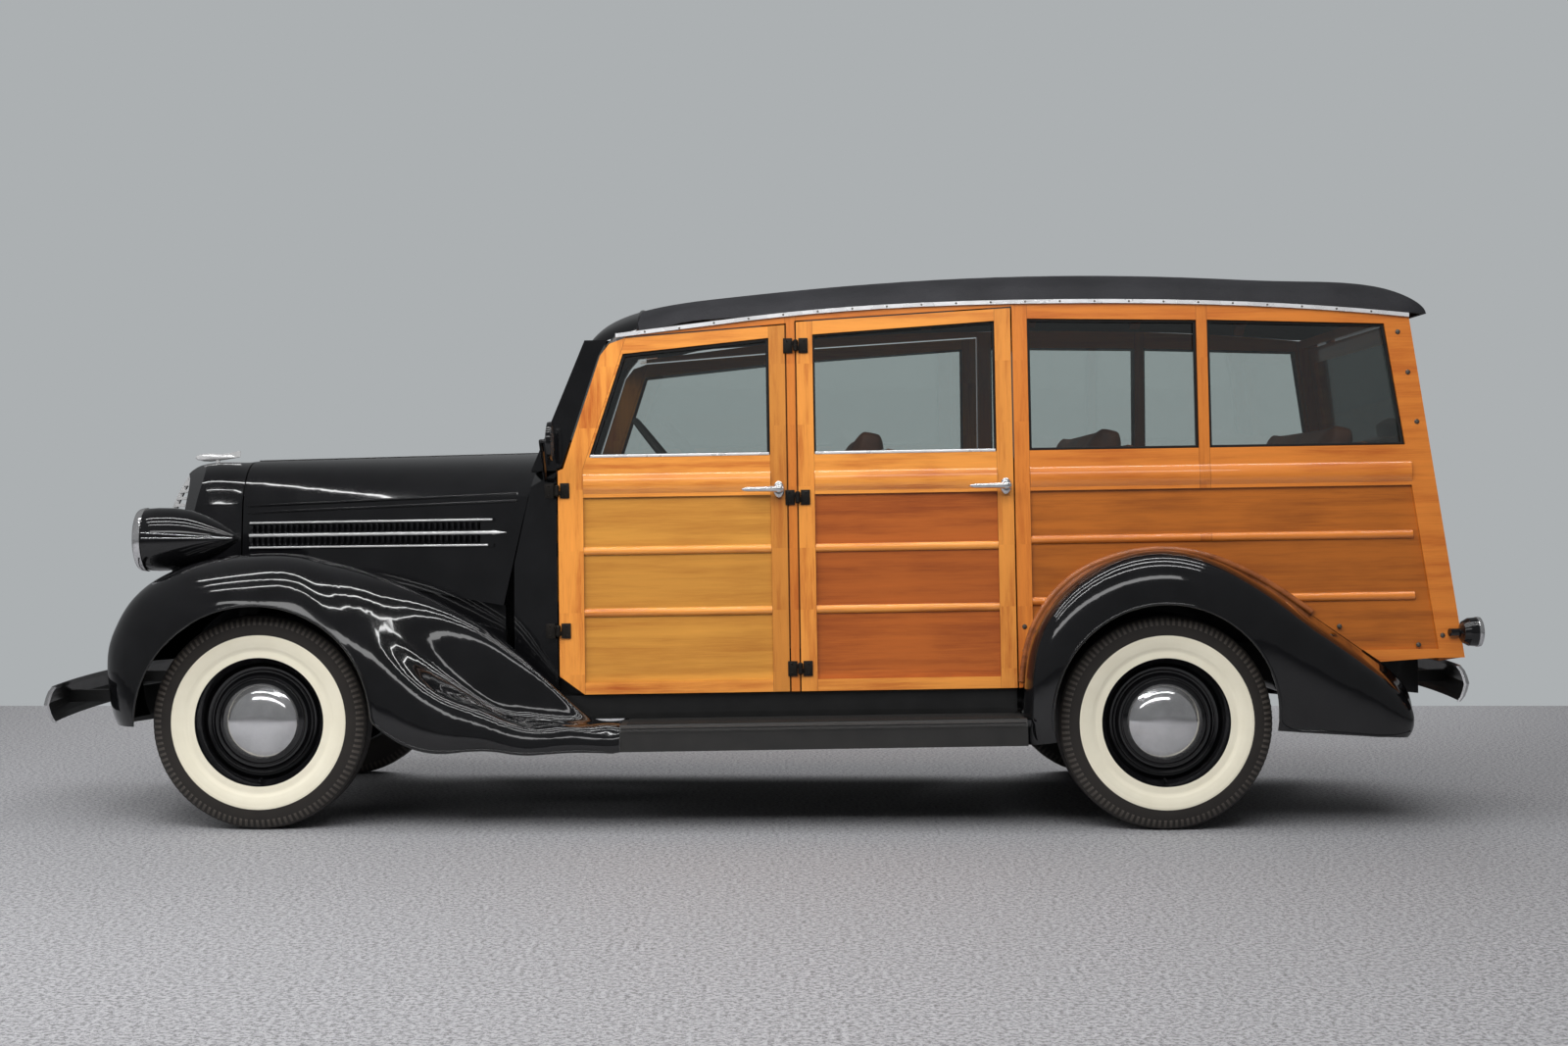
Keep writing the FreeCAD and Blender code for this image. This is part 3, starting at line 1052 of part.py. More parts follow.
def arch_cut():
    """Region of the side wall taken by the rear wheel's arch, just outside the fender's seam."""
    rim = []
    for angle, _, seam_share, _ in REAR_FAN_SHARES:
        radius = REAR_CROWN_RADIUS * seam_share + ARCH_CLEARANCE
        point = fan_place(REAR_ARCH_X, REAR_ARCH_Z, angle)(0, radius)
        rim.append(V(point.x, -RAIL_DEPTH - OVERRUN, point.z))
    low_front = V(rim[0].x, rim[0].y, 0)
    low_rear = V(rim[-1].x, rim[0].y, 0)
    wire = chain([low_rear, low_front], [low_front, rim[0]], rim, [rim[-1], low_rear])
    return Part.Face(wire).extrude(V(0, RAIL_DEPTH + 2 * OVERRUN, 0))


def make_fixed_side():
    """Left fixed side: roof rail, centre post and the quarter wall with its two window openings."""
    front = REAR_DOOR_REAR_X - DOOR_GAP
    top = DRIP_START_Z + DRIP_RISE
    corner_z = DRIP_START_Z + DRIP_SHARES[-1][1] * DRIP_RISE
    outline = [(rear_x(QUARTER_BOTTOM_Z), QUARTER_BOTTOM_Z), (front, SIDE_BASE_Z), (front, top),
               (rear_x(top), top)]
    outline.insert(1, (rear_x(QUARTER_BOTTOM_Z) + 2 * QUARTER_POST_WIDTH, QUARTER_BOTTOM_Z))
    first, second = quarter_windows()
    x0 = rear_x(BELT_LOW_Z) + REAR_POST_WIDTH
    x1 = front - QUARTER_POST_WIDTH
    low = QUARTER_BOTTOM_Z + BATTEN_HEIGHT
    recess = [(rear_x(low) + REAR_POST_WIDTH, low), (x1, low), (x1, BELT_LOW_Z), (x0, BELT_LOW_Z)]
    heights = (LOWER_BATTEN_Z + BATTEN_HEIGHT / 2, UPPER_BATTEN_Z + BATTEN_HEIGHT / 2)
    wall = framed_panel(outline, first, recess, heights, (x0, x1))
    wall = wall.cut(side_plate(second, -DOOR_THICKNESS - OVERRUN, OVERRUN)).cut(arch_cut())
    rail_low = [(FRONT_DOOR_TOP_X, FRONT_DOOR_TOP_Z + DOOR_GAP),
                (FRONT_DOOR_REAR_X, FRONT_DOOR_REAR_TOP_Z + DOOR_GAP),
                (REAR_DOOR_FRONT_X, REAR_DOOR_FRONT_TOP_Z + DOOR_GAP),
                (front, REAR_DOOR_REAR_TOP_Z + DOOR_GAP)]
    rail = side_plate(rail_low + [(front, top), (FRONT_DOOR_TOP_X, top)], -RAIL_DEPTH, 0)
    post_front = FRONT_DOOR_REAR_X - DOOR_GAP
    post_rear = REAR_DOOR_FRONT_X + DOOR_GAP
    post = box(post_rear, post_front, -DOOR_THICKNESS - DOOR_GAP, 0, SILL_TOP_Z + DOOR_GAP,
               FRONT_DOOR_REAR_TOP_Z + RAIL_DEPTH / 2)
    flange = box(post_rear - PILLAR_FLANGE, post_front + PILLAR_FLANGE, -PILLAR_DEPTH,
                 -DOOR_THICKNESS - DOOR_GAP, FLOOR_TOP_Z + DOOR_GAP, FRONT_DOOR_REAR_TOP_Z + RAIL_DEPTH / 2)
    whole = union([wall, rail, post, flange] + hinge_leaves(REAR_DOOR_PIN_X, REAR_HINGE_HEIGHTS_Z, 1))
    return whole.cut(beside_drip(0, 2 * top, OVERRUN))


def beside_drip(shift, far_z, reach):
    """Region on one side of the drip line, out to a height; it reaches past both ends of the line."""
    edge = drip_edge(shift)
    start, end = edge.Vertexes[0].Point, edge.Vertexes[-1].Point
    corners = [end, V(end.x - reach, 0, end.z), V(end.x - reach, 0, far_z), V(start.x + reach, 0, far_z),
               V(start.x + reach, 0, start.z), start]
    lines = [Part.makeLine(a, b) for a, b in zip(corners, corners[1:])]
    face = Part.Face(Part.Wire([edge] + lines))
    face.translate(V(0, -SIDE_HALF_WIDTH, 0))
    return face.extrude(V(0, 3 * SIDE_HALF_WIDTH, 0))


def make_drip():
    """Left drip moulding: bright strip along the drip line."""
    low = drip_edge(-DRIP_HEIGHT)
    high = drip_edge(0)
    ends = [(low.Vertexes[i].Point, high.Vertexes[i].Point) for i in (0, -1)]
    face = Part.Face(Part.Wire([low, Part.makeLine(*ends[1]), high, Part.makeLine(*ends[0])]))
    face.translate(V(0, RUN_GAP, 0))
    return face.extrude(V(0, DRIP_PROUD, 0))


def on_rear(shape):
    """Lean a shape made on the upright plane X = 0 onto the sloping rear face."""
    leaned = shape.copy()
    leaned.translate(V(0, 0, -REAR_TOP_Z))
    leaned.rotate(V(0, 0, 0), V(0, 1, 0), math.degrees(math.atan(REAR_SLOPE)))
    leaned.translate(V(REAR_TOP_X, 0, REAR_TOP_Z))
    return leaned


def gate_half(z):
    """Half width of the tailgate and liftgate at a height."""
    return side_y(z) - GATE_SIDE_INSET - DOOR_GAP


def gate_frame(z_low, z_high, border, depth0, depth1):
    """Trapezoid plate on the rear plane between two heights, drawn in by a border."""
    low = z_low + border
    high = z_high - border
    outline = [(-gate_half(low) + border, low), (gate_half(low) - border, low),
               (gate_half(high) - border, high), (-gate_half(high) + border, high)]
    return cross_plate(outline, depth0, depth1)


def gate_hinges(z, lower_half):
    """Hinge barrels across the gate's edge: the gate's outer pair or the body's inner pair."""
    pieces = []
    for sign in (1, -1):
        centre = sign * GATE_HINGE_Y
        inner = centre - sign * GATE_HINGE_LENGTH / 2
        outer = centre + sign * GATE_HINGE_LENGTH / 2
        y0, y1 = (inner, centre - sign * RUN_GAP) if lower_half else (centre + sign * RUN_GAP, outer)
        pieces.append(rod(V(-GATE_HINGE_OUT, y0, z), V(-GATE_HINGE_OUT, y1, z), GATE_HINGE_RADIUS))
        pieces.append((y0, y1))
    return pieces


def make_tailgate():
    """Lower rear gate with a framed recessed panel and upright battens."""
    low, high = GATE_BOTTOM_Z, GATE_SPLIT_Z - DOOR_GAP
    gate = gate_frame(low, high, 0, 0, GATE_THICKNESS)
    gate = gate.cut(gate_frame(low, high, GATE_STILE, -OVERRUN, PANEL_RECESS))
    inner_recess = PANEL_RECESS + PANEL_THICKNESS
    gate = gate.cut(gate_frame(low, high, GATE_STILE, inner_recess, GATE_THICKNESS + OVERRUN))
    bars = []
    span = 2 * (gate_half(high) - GATE_STILE)
    for index in range(GATE_BATTENS):
        y = -span / 2 + span * (index + 1) / (GATE_BATTENS + 1)
        bars.append(box(0, PANEL_RECESS, y - BATTEN_HEIGHT / 2, y + BATTEN_HEIGHT / 2, low + GATE_STILE,
                        high - GATE_STILE))
    hinge_z = low - DOOR_GAP / 2
    barrels = gate_hinges(hinge_z, False)
    for piece in barrels:
        if isinstance(piece, tuple):
            reach = -GATE_HINGE_OUT - GATE_HINGE_RADIUS
            bars.append(box(reach, 0, piece[0], piece[1], hinge_z, low + GATE_STILE))
        else:
            bars.append(piece)
    return on_rear(union([gate] + bars))


def make_liftgate():
    """Upper rear gate: a light frame round the rear window."""
    low, high = GATE_SPLIT_Z, GATE_TOP_Z
    gate = gate_frame(low, high, 0, 0, GATE_THICKNESS)
    gate = gate.cut(gate_frame(low, high, GATE_RAIL, -OVERRUN, GATE_THICKNESS + OVERRUN))
    bars = []
    hinge_z = high + DOOR_GAP / 2
    for piece in gate_hinges(hinge_z, False):
        if isinstance(piece, tuple):
            reach = -GATE_HINGE_OUT - GATE_HINGE_RADIUS
            bars.append(box(reach, 0, piece[0], piece[1], high - GATE_RAIL / 2, hinge_z))
        else:
            bars.append(piece)
    return on_rear(union([gate] + bars))


def make_liftgate_glass():
    """Pane in the liftgate, lapped behind its frame's inner edge."""
    return on_rear(gate_frame(GATE_SPLIT_Z, GATE_TOP_Z, GATE_RAIL + RUN_GAP, GLASS_INSET,
                              GLASS_INSET + GLASS_THICKNESS))


def make_rear_frame():
    """Fixed rear frame: corner posts, header above the liftgate and sill below the tailgate."""
    top = REAR_TOP_Z + DRIP_HEIGHT
    low = GATE_BOTTOM_Z - REAR_SILL_HEIGHT
    inset = DOOR_THICKNESS + REAR_POST_GAP
    outer = [(-side_y(low) + inset, low), (side_y(low) - inset, low),
             (side_y(top) - inset, top), (-side_y(top) + inset, top)]
    frame = cross_plate(outer, 0, PILLAR_DEPTH)
    z0, z1 = GATE_BOTTOM_Z - DOOR_GAP, GATE_TOP_Z + DOOR_GAP
    inner = [(-gate_half(z0) - DOOR_GAP, z0), (gate_half(z0) + DOOR_GAP, z0),
             (gate_half(z1) + DOOR_GAP, z1), (-gate_half(z1) - DOOR_GAP, z1)]
    frame = frame.cut(cross_plate(inner, -OVERRUN, PILLAR_DEPTH + OVERRUN))
    bars = []
    for hinge_z, plate_z in ((GATE_BOTTOM_Z - DOOR_GAP / 2, low), (GATE_TOP_Z + DOOR_GAP / 2, top)):
        for piece in gate_hinges(hinge_z, True):
            if isinstance(piece, tuple):
                bars.append(box(-GATE_HINGE_OUT - GATE_HINGE_RADIUS, 0, piece[0], piece[1], hinge_z, plate_z))
            else:
                bars.append(piece)
    return clear_of_roof(on_rear(union([frame] + bars)))


# Roof, windshield, cabin, chassis and engine

# Roof sections: place along the roof, half width at the edge, height of the edge and of the middle; shares of
# the roof's length, of the half width and of the roof's height above the front edge
ROOF_LOW_Z = 1590.0
ROOF_TOP_Z = 1850.0
ROOF_HALF = 618.0
ROOF_SECTION_SHARES = (
    (0.0, 0.905, 0.0, 0.18), (0.012, 0.955, 0.010, 0.375), (0.035, 0.98, 0.06, 0.53),
    (0.085, 0.995, 0.225, 0.67), (0.19, 1.0, 0.36, 0.80), (0.35, 1.0, 0.475, 0.935),
    (0.53, 0.998, 0.525, 1.0),
    (0.70, 0.992, 0.49, 0.965), (0.86, 0.98, 0.38, 0.885), (0.935, 0.965, 0.315, 0.84),
    (0.972, 0.915, 0.305, 0.74), (1.0, 0.80, 0.305, 0.53))
ROOF_ARCH_SHARES = ((0.945, 0.36), (0.83, 0.62), (0.58, 0.85), (0.28, 0.965))
ROOF_LENGTH = 2830.0
ROOF_START_X = 545.0
ROOF_CLEARANCE = 0.8
ROOF_BOW_COUNT = 6
ROOF_BOW_WIDTH = 38.0
ROOF_BOW_HEIGHT = 24.0
ROOF_SHEET = 14.0

# Windshield: the glass plane slopes back from the cowl's top to the roof's front
WINDSHIELD_LOW_X = 694.0
WINDSHIELD_LOW_Z = 1286.0
WINDSHIELD_HIGH_X = 556.0
WINDSHIELD_HIGH_Z = 1614.0
WINDSHIELD_POST_DEPTH = 48.0
WINDSHIELD_FRAME = 26.0
WINDSHIELD_FRAME_DEPTH = 24.0
WINDSHIELD_CENTRE_HALF = 11.0

# Cabin
SILL_OUTER_Y = 648.0
SILL_INNER_Y = 570.0
ROCKER_OUTER_Y = 610.0
SILL_TOP_Z = 434.0
TOE_BOARD_X = 690.0
TOE_BOARD_FOOT_X = 520.0
TOE_BOARD_TOP_Z = 760.0
DASH_X = 575.0
DASH_DEPTH = 46.0
DASH_LOW_Z = 1035.0
DASH_HALF = 575.0
INSTRUMENT_RADIUS = 52.0
INSTRUMENT_SPREAD = 62.0
INSTRUMENT_Y = 300.0
SEAT_CUSHION_HEIGHT = 150.0
SEAT_CUSHION_DEPTH = 470.0
SEAT_TOP_Z = 925.0
SEAT_BACK_HEIGHT = 430.0
SEAT_BACK_THICKNESS = 120.0
SEAT_BACK_LEAN = 13.0
SEAT_LEG_RADIUS = 14.0
SEAT_HALF_WIDTHS = (545.0, 540.0, 500.0)
SEAT_PLACES_X = (250.0, -560.0, -1360.0)
SEAT_BASE_THICKNESS = 30.0
SEAT_ROUND = 26.0
SEAT_LEG_INSET = 70.0
STEERING_WHEEL_RADIUS = 215.0
STEERING_RIM_RADIUS = 11.0
STEERING_HUB_RADIUS = 30.0
STEERING_SPOKES = 3
STEERING_SPOKE_RADIUS = 6.0
STEERING_Y = 330.0
STEERING_TOP_X = 275.0
STEERING_TOP_Z = 1185.0
STEERING_SLOPE = 38.0
COLUMN_RADIUS = 19.0
COLUMN_LENGTH = 640.0
HORN_BUTTON_RADIUS = 22.0

# Chassis and engine
RAIL_END_FRONT_X = 2165.0
RAIL_END_REAR_X = -2255.0
RAIL_SHARES = ((0.0, -0.70), (0.06, -0.42), (0.14, 0.0), (0.90, 0.0), (0.97, -0.30), (1.0, -0.42))
CROSS_MEMBER_SHARES = (0.071, 0.105, 0.42, 0.60, 0.72, 0.88, 0.985)
CROSS_MEMBER_WIDTH = 70.0
CROSS_MEMBER_HEIGHT = 50.0
ENGINE_FRONT_X = 1700.0
ENGINE_REAR_X = 890.0
ENGINE_HALF = 140.0
ENGINE_LOW_Z = 345.0
ENGINE_TOP_Z = 930.0
ENGINE_PAN_HALF = 110.0
ENGINE_PAN_FRONT_X = 1540.0
GEARBOX_REAR_X = 560.0
GEARBOX_HALF = 105.0
GEARBOX_LOW_Z = 380.0
GEARBOX_TOP_Z = 555.0
ENGINE_FOOT_Y = 60.0
RADIATOR_X = 1850.0
RADIATOR_DEPTH = 60.0
RADIATOR_HALF = 190.0
RADIATOR_TOP_Z = 1120.0
EXHAUST_RADIUS = 18.0
EXHAUST_Y = -235.0
EXHAUST_Z = 420.0
EXHAUST_PORT_X = 1010.0
EXHAUST_PORT_Z = 640.0
EXHAUST_DROP_Z = 560.0
EXHAUST_TURN_X = 930.0
EXHAUST_END_X = -1690.0
EXHAUST_OUTLET_LENGTH = 60.0
EXHAUST_OUTLET_RADIUS = 20.0
EXHAUST_TIP_DROP = 70.0
MUFFLER_RADIUS = 55.0
MUFFLER_Z = 388.0
MUFFLER_LENGTH = 520.0
TANK_FRONT_X = -1790.0
TANK_REAR_X = -2140.0
TANK_HALF = 350.0
TANK_HEIGHT = 175.0
TANK_ROUND = 40.0


def roof_body(drop):
    """Closed loaf under the roof's skin, lowered and drawn in on all sides by a drop."""
    sections = []
    rise = ROOF_TOP_Z - ROOF_LOW_Z
    for place, half, edge, middle in ROOF_SECTION_SHARES:
        x = ROOF_START_X - place * ROOF_LENGTH - drop * (1 - 2 * place)
        half_y = half * ROOF_HALF - drop
        edge_z = ROOF_LOW_Z + edge * rise - drop
        top_z = ROOF_LOW_Z + middle * rise - drop
        left = [V(x, half_y, edge_z)]
        left += [V(x, half_y * y, edge_z + z * (top_z - edge_z)) for y, z in ROOF_ARCH_SHARES]
        right = [V(x, -p.y, p.z) for p in reversed(left)]
        sections.append(Part.Wire([spline(left + [V(x, 0, top_z)] + right),
                                   Part.makeLine(right[-1], left[0])]))
    return Part.makeLoft(sections, True, False)


def clear_of_roof(shape):
    """A frame with the roof's room and a little more taken out of it."""
    room = roof_body(-ROOF_CLEARANCE)
    lower = room.copy()
    lower.translate(V(0, 0, -3 * ROOF_CLEARANCE))
    return shape.cut(room).cut(lower)


def make_roof():
    """Thin roof skin with its rolled front header, seated on the drip line and clear of the front doors."""
    skin = roof_body(0).cut(roof_body(ROOF_SHEET))
    seat = beside_drip(RUN_GAP, SLANT_BASE_Z, RUN_GAP)
    corner = side_plate([(DRIP_START_X, DRIP_START_Z + RUN_GAP),
                         (SLANT_BEND_X + DOOR_GAP, SLANT_BEND_Z + DOOR_GAP),
                         (SLANT_TOP_X + 2 * DOOR_GAP, SLANT_TOP_Z), (SLANT_TOP_X, SLANT_BASE_Z),
                         (DRIP_START_X, SLANT_BASE_Z)], -SIDE_HALF_WIDTH, SIDE_HALF_WIDTH)
    return skin.cut(seat).cut(corner)


def make_roof_bows():
    """Wooden bows across the cabin under the roof."""
    room = roof_body(ROOF_SHEET + RUN_GAP).cut(roof_body(ROOF_SHEET + ROOF_BOW_HEIGHT))
    bows = []
    for index in range(ROOF_BOW_COUNT):
        x = ROOF_START_X - ROOF_LENGTH * (index + 1) / (ROOF_BOW_COUNT + 1)
        half = side_y(DRIP_START_Z) - RAIL_DEPTH - ROOF_BOW_HEIGHT / 2
        bows.append(box(x - ROOF_BOW_WIDTH / 2, x + ROOF_BOW_WIDTH / 2, -half, half, 0, 2 * ROOF_TOP_Z))
    return room.common(Part.makeCompound(bows))


def windshield_x(z):
    """Place of the windshield's outer face at a height."""
    slope = (WINDSHIELD_LOW_X - WINDSHIELD_HIGH_X) / (WINDSHIELD_HIGH_Z - WINDSHIELD_LOW_Z)
    return WINDSHIELD_LOW_X - (z - WINDSHIELD_LOW_Z) * slope


def on_windshield(points, thickness):
    """Plate behind the windshield's plane from (y, z) corners."""
    face = polygon_face([V(windshield_x(z), y, z) for y, z in points])
    return face.extrude(V(-thickness, 0, 0))


def make_windshield_frame():
    """Black windshield posts, top and bottom rails and the centre bar."""
    slant_gap = DOOR_GAP + RUN_GAP
    low_z = COWL_SHOULDER_Z + DOOR_GAP
    foot_x = FRONT_DOOR_FRONT_X + slant_gap
    post = side_plate([(SLANT_BASE_X + slant_gap, SLANT_BASE_Z + slant_gap), (foot_x, BELT_TOP_Z + slant_gap),
                       (foot_x, low_z), (windshield_x(low_z), low_z),
                       (windshield_x(WINDSHIELD_HIGH_Z), WINDSHIELD_HIGH_Z),
                       (SLANT_BEND_X + slant_gap, WINDSHIELD_HIGH_Z),
                       (SLANT_TOP_X + slant_gap, SLANT_TOP_Z)], -WINDSHIELD_POST_DEPTH, 0)
    posts = [on_side(post, 1), on_side(post, -1)]
    half = side_y(WINDSHIELD_LOW_Z) - WINDSHIELD_POST_DEPTH / 2
    top_half = side_y(WINDSHIELD_HIGH_Z) - WINDSHIELD_POST_DEPTH / 2
    z_low = COWL_SHOULDER_Z
    z_sill = WINDSHIELD_LOW_Z + WINDSHIELD_FRAME
    z_head = WINDSHIELD_HIGH_Z - WINDSHIELD_FRAME
    bottom = on_windshield([(-half, z_low), (half, z_low), (half, z_sill), (-half, z_sill)],
                           WINDSHIELD_FRAME_DEPTH)
    top = on_windshield([(-top_half, z_head), (top_half, z_head), (top_half, WINDSHIELD_HIGH_Z),
                         (-top_half, WINDSHIELD_HIGH_Z)], WINDSHIELD_FRAME_DEPTH)
    centre = on_windshield([(-WINDSHIELD_CENTRE_HALF, z_sill), (WINDSHIELD_CENTRE_HALF, z_sill),
                            (WINDSHIELD_CENTRE_HALF, z_head), (-WINDSHIELD_CENTRE_HALF, z_head)],
                           WINDSHIELD_FRAME_DEPTH)
    whole = union(posts + [bottom, top, centre])
    return clear_of_roof(whole.cut(cowl_body(-RUN_GAP)))


def make_windshield_glass():
    """Two panes of the windshield, set between the frame's rails, posts and centre bar."""
    z_sill = WINDSHIELD_LOW_Z + WINDSHIELD_FRAME + RUN_GAP
    z_head = WINDSHIELD_HIGH_Z - WINDSHIELD_FRAME - RUN_GAP
    low_half = side_y(z_sill) - WINDSHIELD_POST_DEPTH - 2 * RUN_GAP
    high_half = side_y(z_head) - WINDSHIELD_POST_DEPTH - 2 * RUN_GAP
    start = WINDSHIELD_CENTRE_HALF + RUN_GAP
    pane_shape = on_windshield([(start, z_sill), (low_half, z_sill), (high_half, z_head), (start, z_head)],
                               GLASS_THICKNESS)
    pane_shape.translate(V(-WINDSHIELD_FRAME_DEPTH / 2, 0, 0))
    return both(pane_shape)


def make_floor():
    """Floor with its sloping toe board, side sills and the drop over the door sills."""
    rear = rear_x(FLOOR_TOP_Z) + PILLAR_DEPTH + DOOR_GAP / 2
    outline = [(rear, FLOOR_TOP_Z - FLOOR_THICKNESS), (TOE_BOARD_FOOT_X, FLOOR_TOP_Z - FLOOR_THICKNESS),
               (TOE_BOARD_X, TOE_BOARD_TOP_Z), (TOE_BOARD_X - FLOOR_THICKNESS, TOE_BOARD_TOP_Z),
               (TOE_BOARD_FOOT_X - FLOOR_THICKNESS, FLOOR_TOP_Z), (rear, FLOOR_TOP_Z)]
    floor = side_plate(outline, -ROCKER_OUTER_Y, ROCKER_OUTER_Y)
    parts = [floor]
    arch_front = REAR_DOOR_REAR_X
    sill_low = BOARD_TOP_Z + BOARD_RIB_HEIGHT + RUN_GAP
    for sign in (1, -1):
        parts.append(box(arch_front, COWL_REAR_X - DOOR_GAP, sign * SILL_INNER_Y, sign * ROCKER_OUTER_Y,
                         sill_low, FLOOR_TOP_Z))
        parts.append(box(arch_front, COWL_REAR_X - DOOR_GAP, sign * ROCKER_OUTER_Y, sign * SILL_OUTER_Y,
                         sill_low, SILL_TOP_Z))
    return union(parts)


def make_wheelhouses():
    """Closing panels inside the side walls over the rear wheels: a flat inner wall and a rolled rim."""
    radius = REAR_CROWN_RADIUS + FENDER_SHEET
    inner = side_y(WINDOW_SILL_Z) - RAIL_DEPTH
    disc = rod(V(REAR_ARCH_X, inner - FENDER_SHEET, REAR_ARCH_Z), V(REAR_ARCH_X, inner, REAR_ARCH_Z), radius)
    outer = side_y(REAR_ARCH_Z + radius) - DOOR_THICKNESS - DOOR_GAP
    ends = V(REAR_ARCH_X, inner - FENDER_SHEET, REAR_ARCH_Z), V(REAR_ARCH_X, outer, REAR_ARCH_Z)
    rim = rod(*ends, radius).cut(rod(*ends, radius - FENDER_SHEET))
    keep = box(REAR_ARCH_X - radius, REAR_ARCH_X + radius, 0, outer, FLOOR_TOP_Z + RUN_GAP, HOOD_TOP_Z)
    return both(union([disc, rim]).common(keep))


def make_dashboard():
    """Dashboard across the cabin with its rounded lower edge and the instrument dials."""
    top_z = COWL_SHOULDER_Z - DOOR_GAP
    outline = [(DASH_X, DASH_LOW_Z), (DASH_X + DASH_DEPTH / 2, DASH_LOW_Z - SEAT_ROUND / 2),
               (DASH_X + DASH_DEPTH, DASH_LOW_Z), (COWL_REAR_X + STILE_WIDTH - RUN_GAP, top_z),
               (DASH_X + DASH_DEPTH / 2, top_z)]
    skin = cowl_body(-RUN_GAP).cut(cowl_body(COWL_SHEET + RUN_GAP))
    panel = side_plate(outline, -DASH_HALF, DASH_HALF).cut(skin)
    dials = []
    for sign in (1, -1):
        y = INSTRUMENT_Y + sign * INSTRUMENT_SPREAD
        z = (DASH_LOW_Z + top_z) / 2
        dials.append(rod(V(DASH_X - COWL_SHEET / 2, y, z), V(DASH_X + DASH_DEPTH, y, z), INSTRUMENT_RADIUS))
    return union([panel] + dials)


def seat_cushion(half, x_front, z_top):
    """Plain closed cushion with rounded edges."""
    block = box(x_front - SEAT_CUSHION_DEPTH, x_front, -half, half, z_top - SEAT_CUSHION_HEIGHT, z_top)
    return block.makeFillet(SEAT_ROUND, block.Edges)


def seat_back(half, x_front, z_top):
    """Plain closed seat back that leans rearward."""
    x = x_front - SEAT_CUSHION_DEPTH
    block = box(x - SEAT_BACK_THICKNESS, x, -half, half, 0, SEAT_BACK_HEIGHT + SEAT_CUSHION_HEIGHT)
    block = block.makeFillet(SEAT_ROUND, block.Edges)
    return leaned_back(block, x, z_top)


def leaned_back(shape, x, z_top):
    """Turn an upright seat part to the back's lean and set it behind the cushion."""
    shape.rotate(V(x, 0, 0), V(0, 1, 0), -SEAT_BACK_LEAN)
    shape.translate(V(-RUN_GAP, 0, z_top - SEAT_CUSHION_HEIGHT))
    return shape


def make_seat_frame(row):
    """Frame of one bench: a board under the cushion, an upright board behind and four legs."""
    half = SEAT_HALF_WIDTHS[row]
    front = SEAT_PLACES_X[row]
    base_top = SEAT_TOP_Z - SEAT_CUSHION_HEIGHT - RUN_GAP
    base = box(front - SEAT_CUSHION_DEPTH - SEAT_BACK_THICKNESS - SEAT_BASE_THICKNESS, front, -half, half,
               base_top - SEAT_BASE_THICKNESS, base_top)
    legs = []
    for x in (front - SEAT_LEG_INSET, front - SEAT_CUSHION_DEPTH):
        for y in (half - SEAT_LEG_INSET, -half + SEAT_LEG_INSET):
            legs.append(rod(V(x, y, FLOOR_TOP_Z + RUN_GAP), V(x, y, base_top - SEAT_BASE_THICKNESS / 2),
                            SEAT_LEG_RADIUS))
    x = front - SEAT_CUSHION_DEPTH
    room = box(x - SEAT_BACK_THICKNESS - RUN_GAP, x + SEAT_BACK_THICKNESS, -half - OVERRUN, half + OVERRUN,
               -RUN_GAP, SEAT_BACK_HEIGHT)
    board = box(x - SEAT_BACK_THICKNESS - SEAT_BASE_THICKNESS, x - SEAT_BACK_THICKNESS - RUN_GAP, -half, half,
                0, SEAT_BACK_HEIGHT + SEAT_CUSHION_HEIGHT / 2)
    return union([base.cut(leaned_back(room, x, SEAT_TOP_Z)), leaned_back(board, x, SEAT_TOP_Z)] + legs)


def column_direction():
    """Unit direction of the steering column, pointing down and forward."""
    slope = math.radians(STEERING_SLOPE)
    return V(math.cos(slope), 0, -math.sin(slope))


def make_steering_wheel():
    """Steering wheel with its hub and three spokes round its column's line."""
    ring = Part.makeTorus(STEERING_WHEEL_RADIUS, STEERING_RIM_RADIUS)
    hub = Part.makeCylinder(STEERING_HUB_RADIUS, 2 * STEERING_RIM_RADIUS, V(0, 0, -STEERING_RIM_RADIUS))
    button = Part.makeCylinder(HORN_BUTTON_RADIUS, 2 * STEERING_RIM_RADIUS)
    spokes = []
    for index in range(STEERING_SPOKES):
        angle = math.radians(-90 + 360 * index / STEERING_SPOKES)
        end = V(STEERING_WHEEL_RADIUS * math.cos(angle), STEERING_WHEEL_RADIUS * math.sin(angle), 0)
        spokes.append(rod(V(0, 0, 0), end, STEERING_SPOKE_RADIUS))
    wheel = union([ring, hub, button] + spokes)
    wheel.rotate(V(0, 0, 0), V(0, 0, 1), 90)
    wheel.rotate(V(0, 0, 0), V(0, 1, 0), -(90 - STEERING_SLOPE))
    wheel.translate(V(STEERING_TOP_X, STEERING_Y, STEERING_TOP_Z))
    return wheel


def make_steering_column():
    """Steering column from below the wheel's hub to the floor."""
    top = V(STEERING_TOP_X, STEERING_Y, STEERING_TOP_Z)
    direction = column_direction()
    start = top + direction * (STEERING_RIM_RADIUS + RUN_GAP)
    column = rod(start, start + direction * COLUMN_LENGTH, COLUMN_RADIUS)
    return column.cut(box(COWL_REAR_X + STILE_WIDTH - RUN_GAP, HOOD_FRONT_X, 0, COWL_HALF, 0, HOOD_TOP_Z))


def rail_top(x):
    """Height of the frame rail's top at a place along X, from the rail's lift shares."""
    place = (RAIL_END_FRONT_X - x) / (RAIL_END_FRONT_X - RAIL_END_REAR_X)
    for (p0, lift0), (p1, lift1) in zip(RAIL_SHARES, RAIL_SHARES[1:]):
        if place <= p1:
            return RAIL_TOP_Z + RAIL_HEIGHT * (lift0 + (lift1 - lift0) * (place - p0) / (p1 - p0))
    return RAIL_TOP_Z + RAIL_HEIGHT * RAIL_SHARES[-1][1]


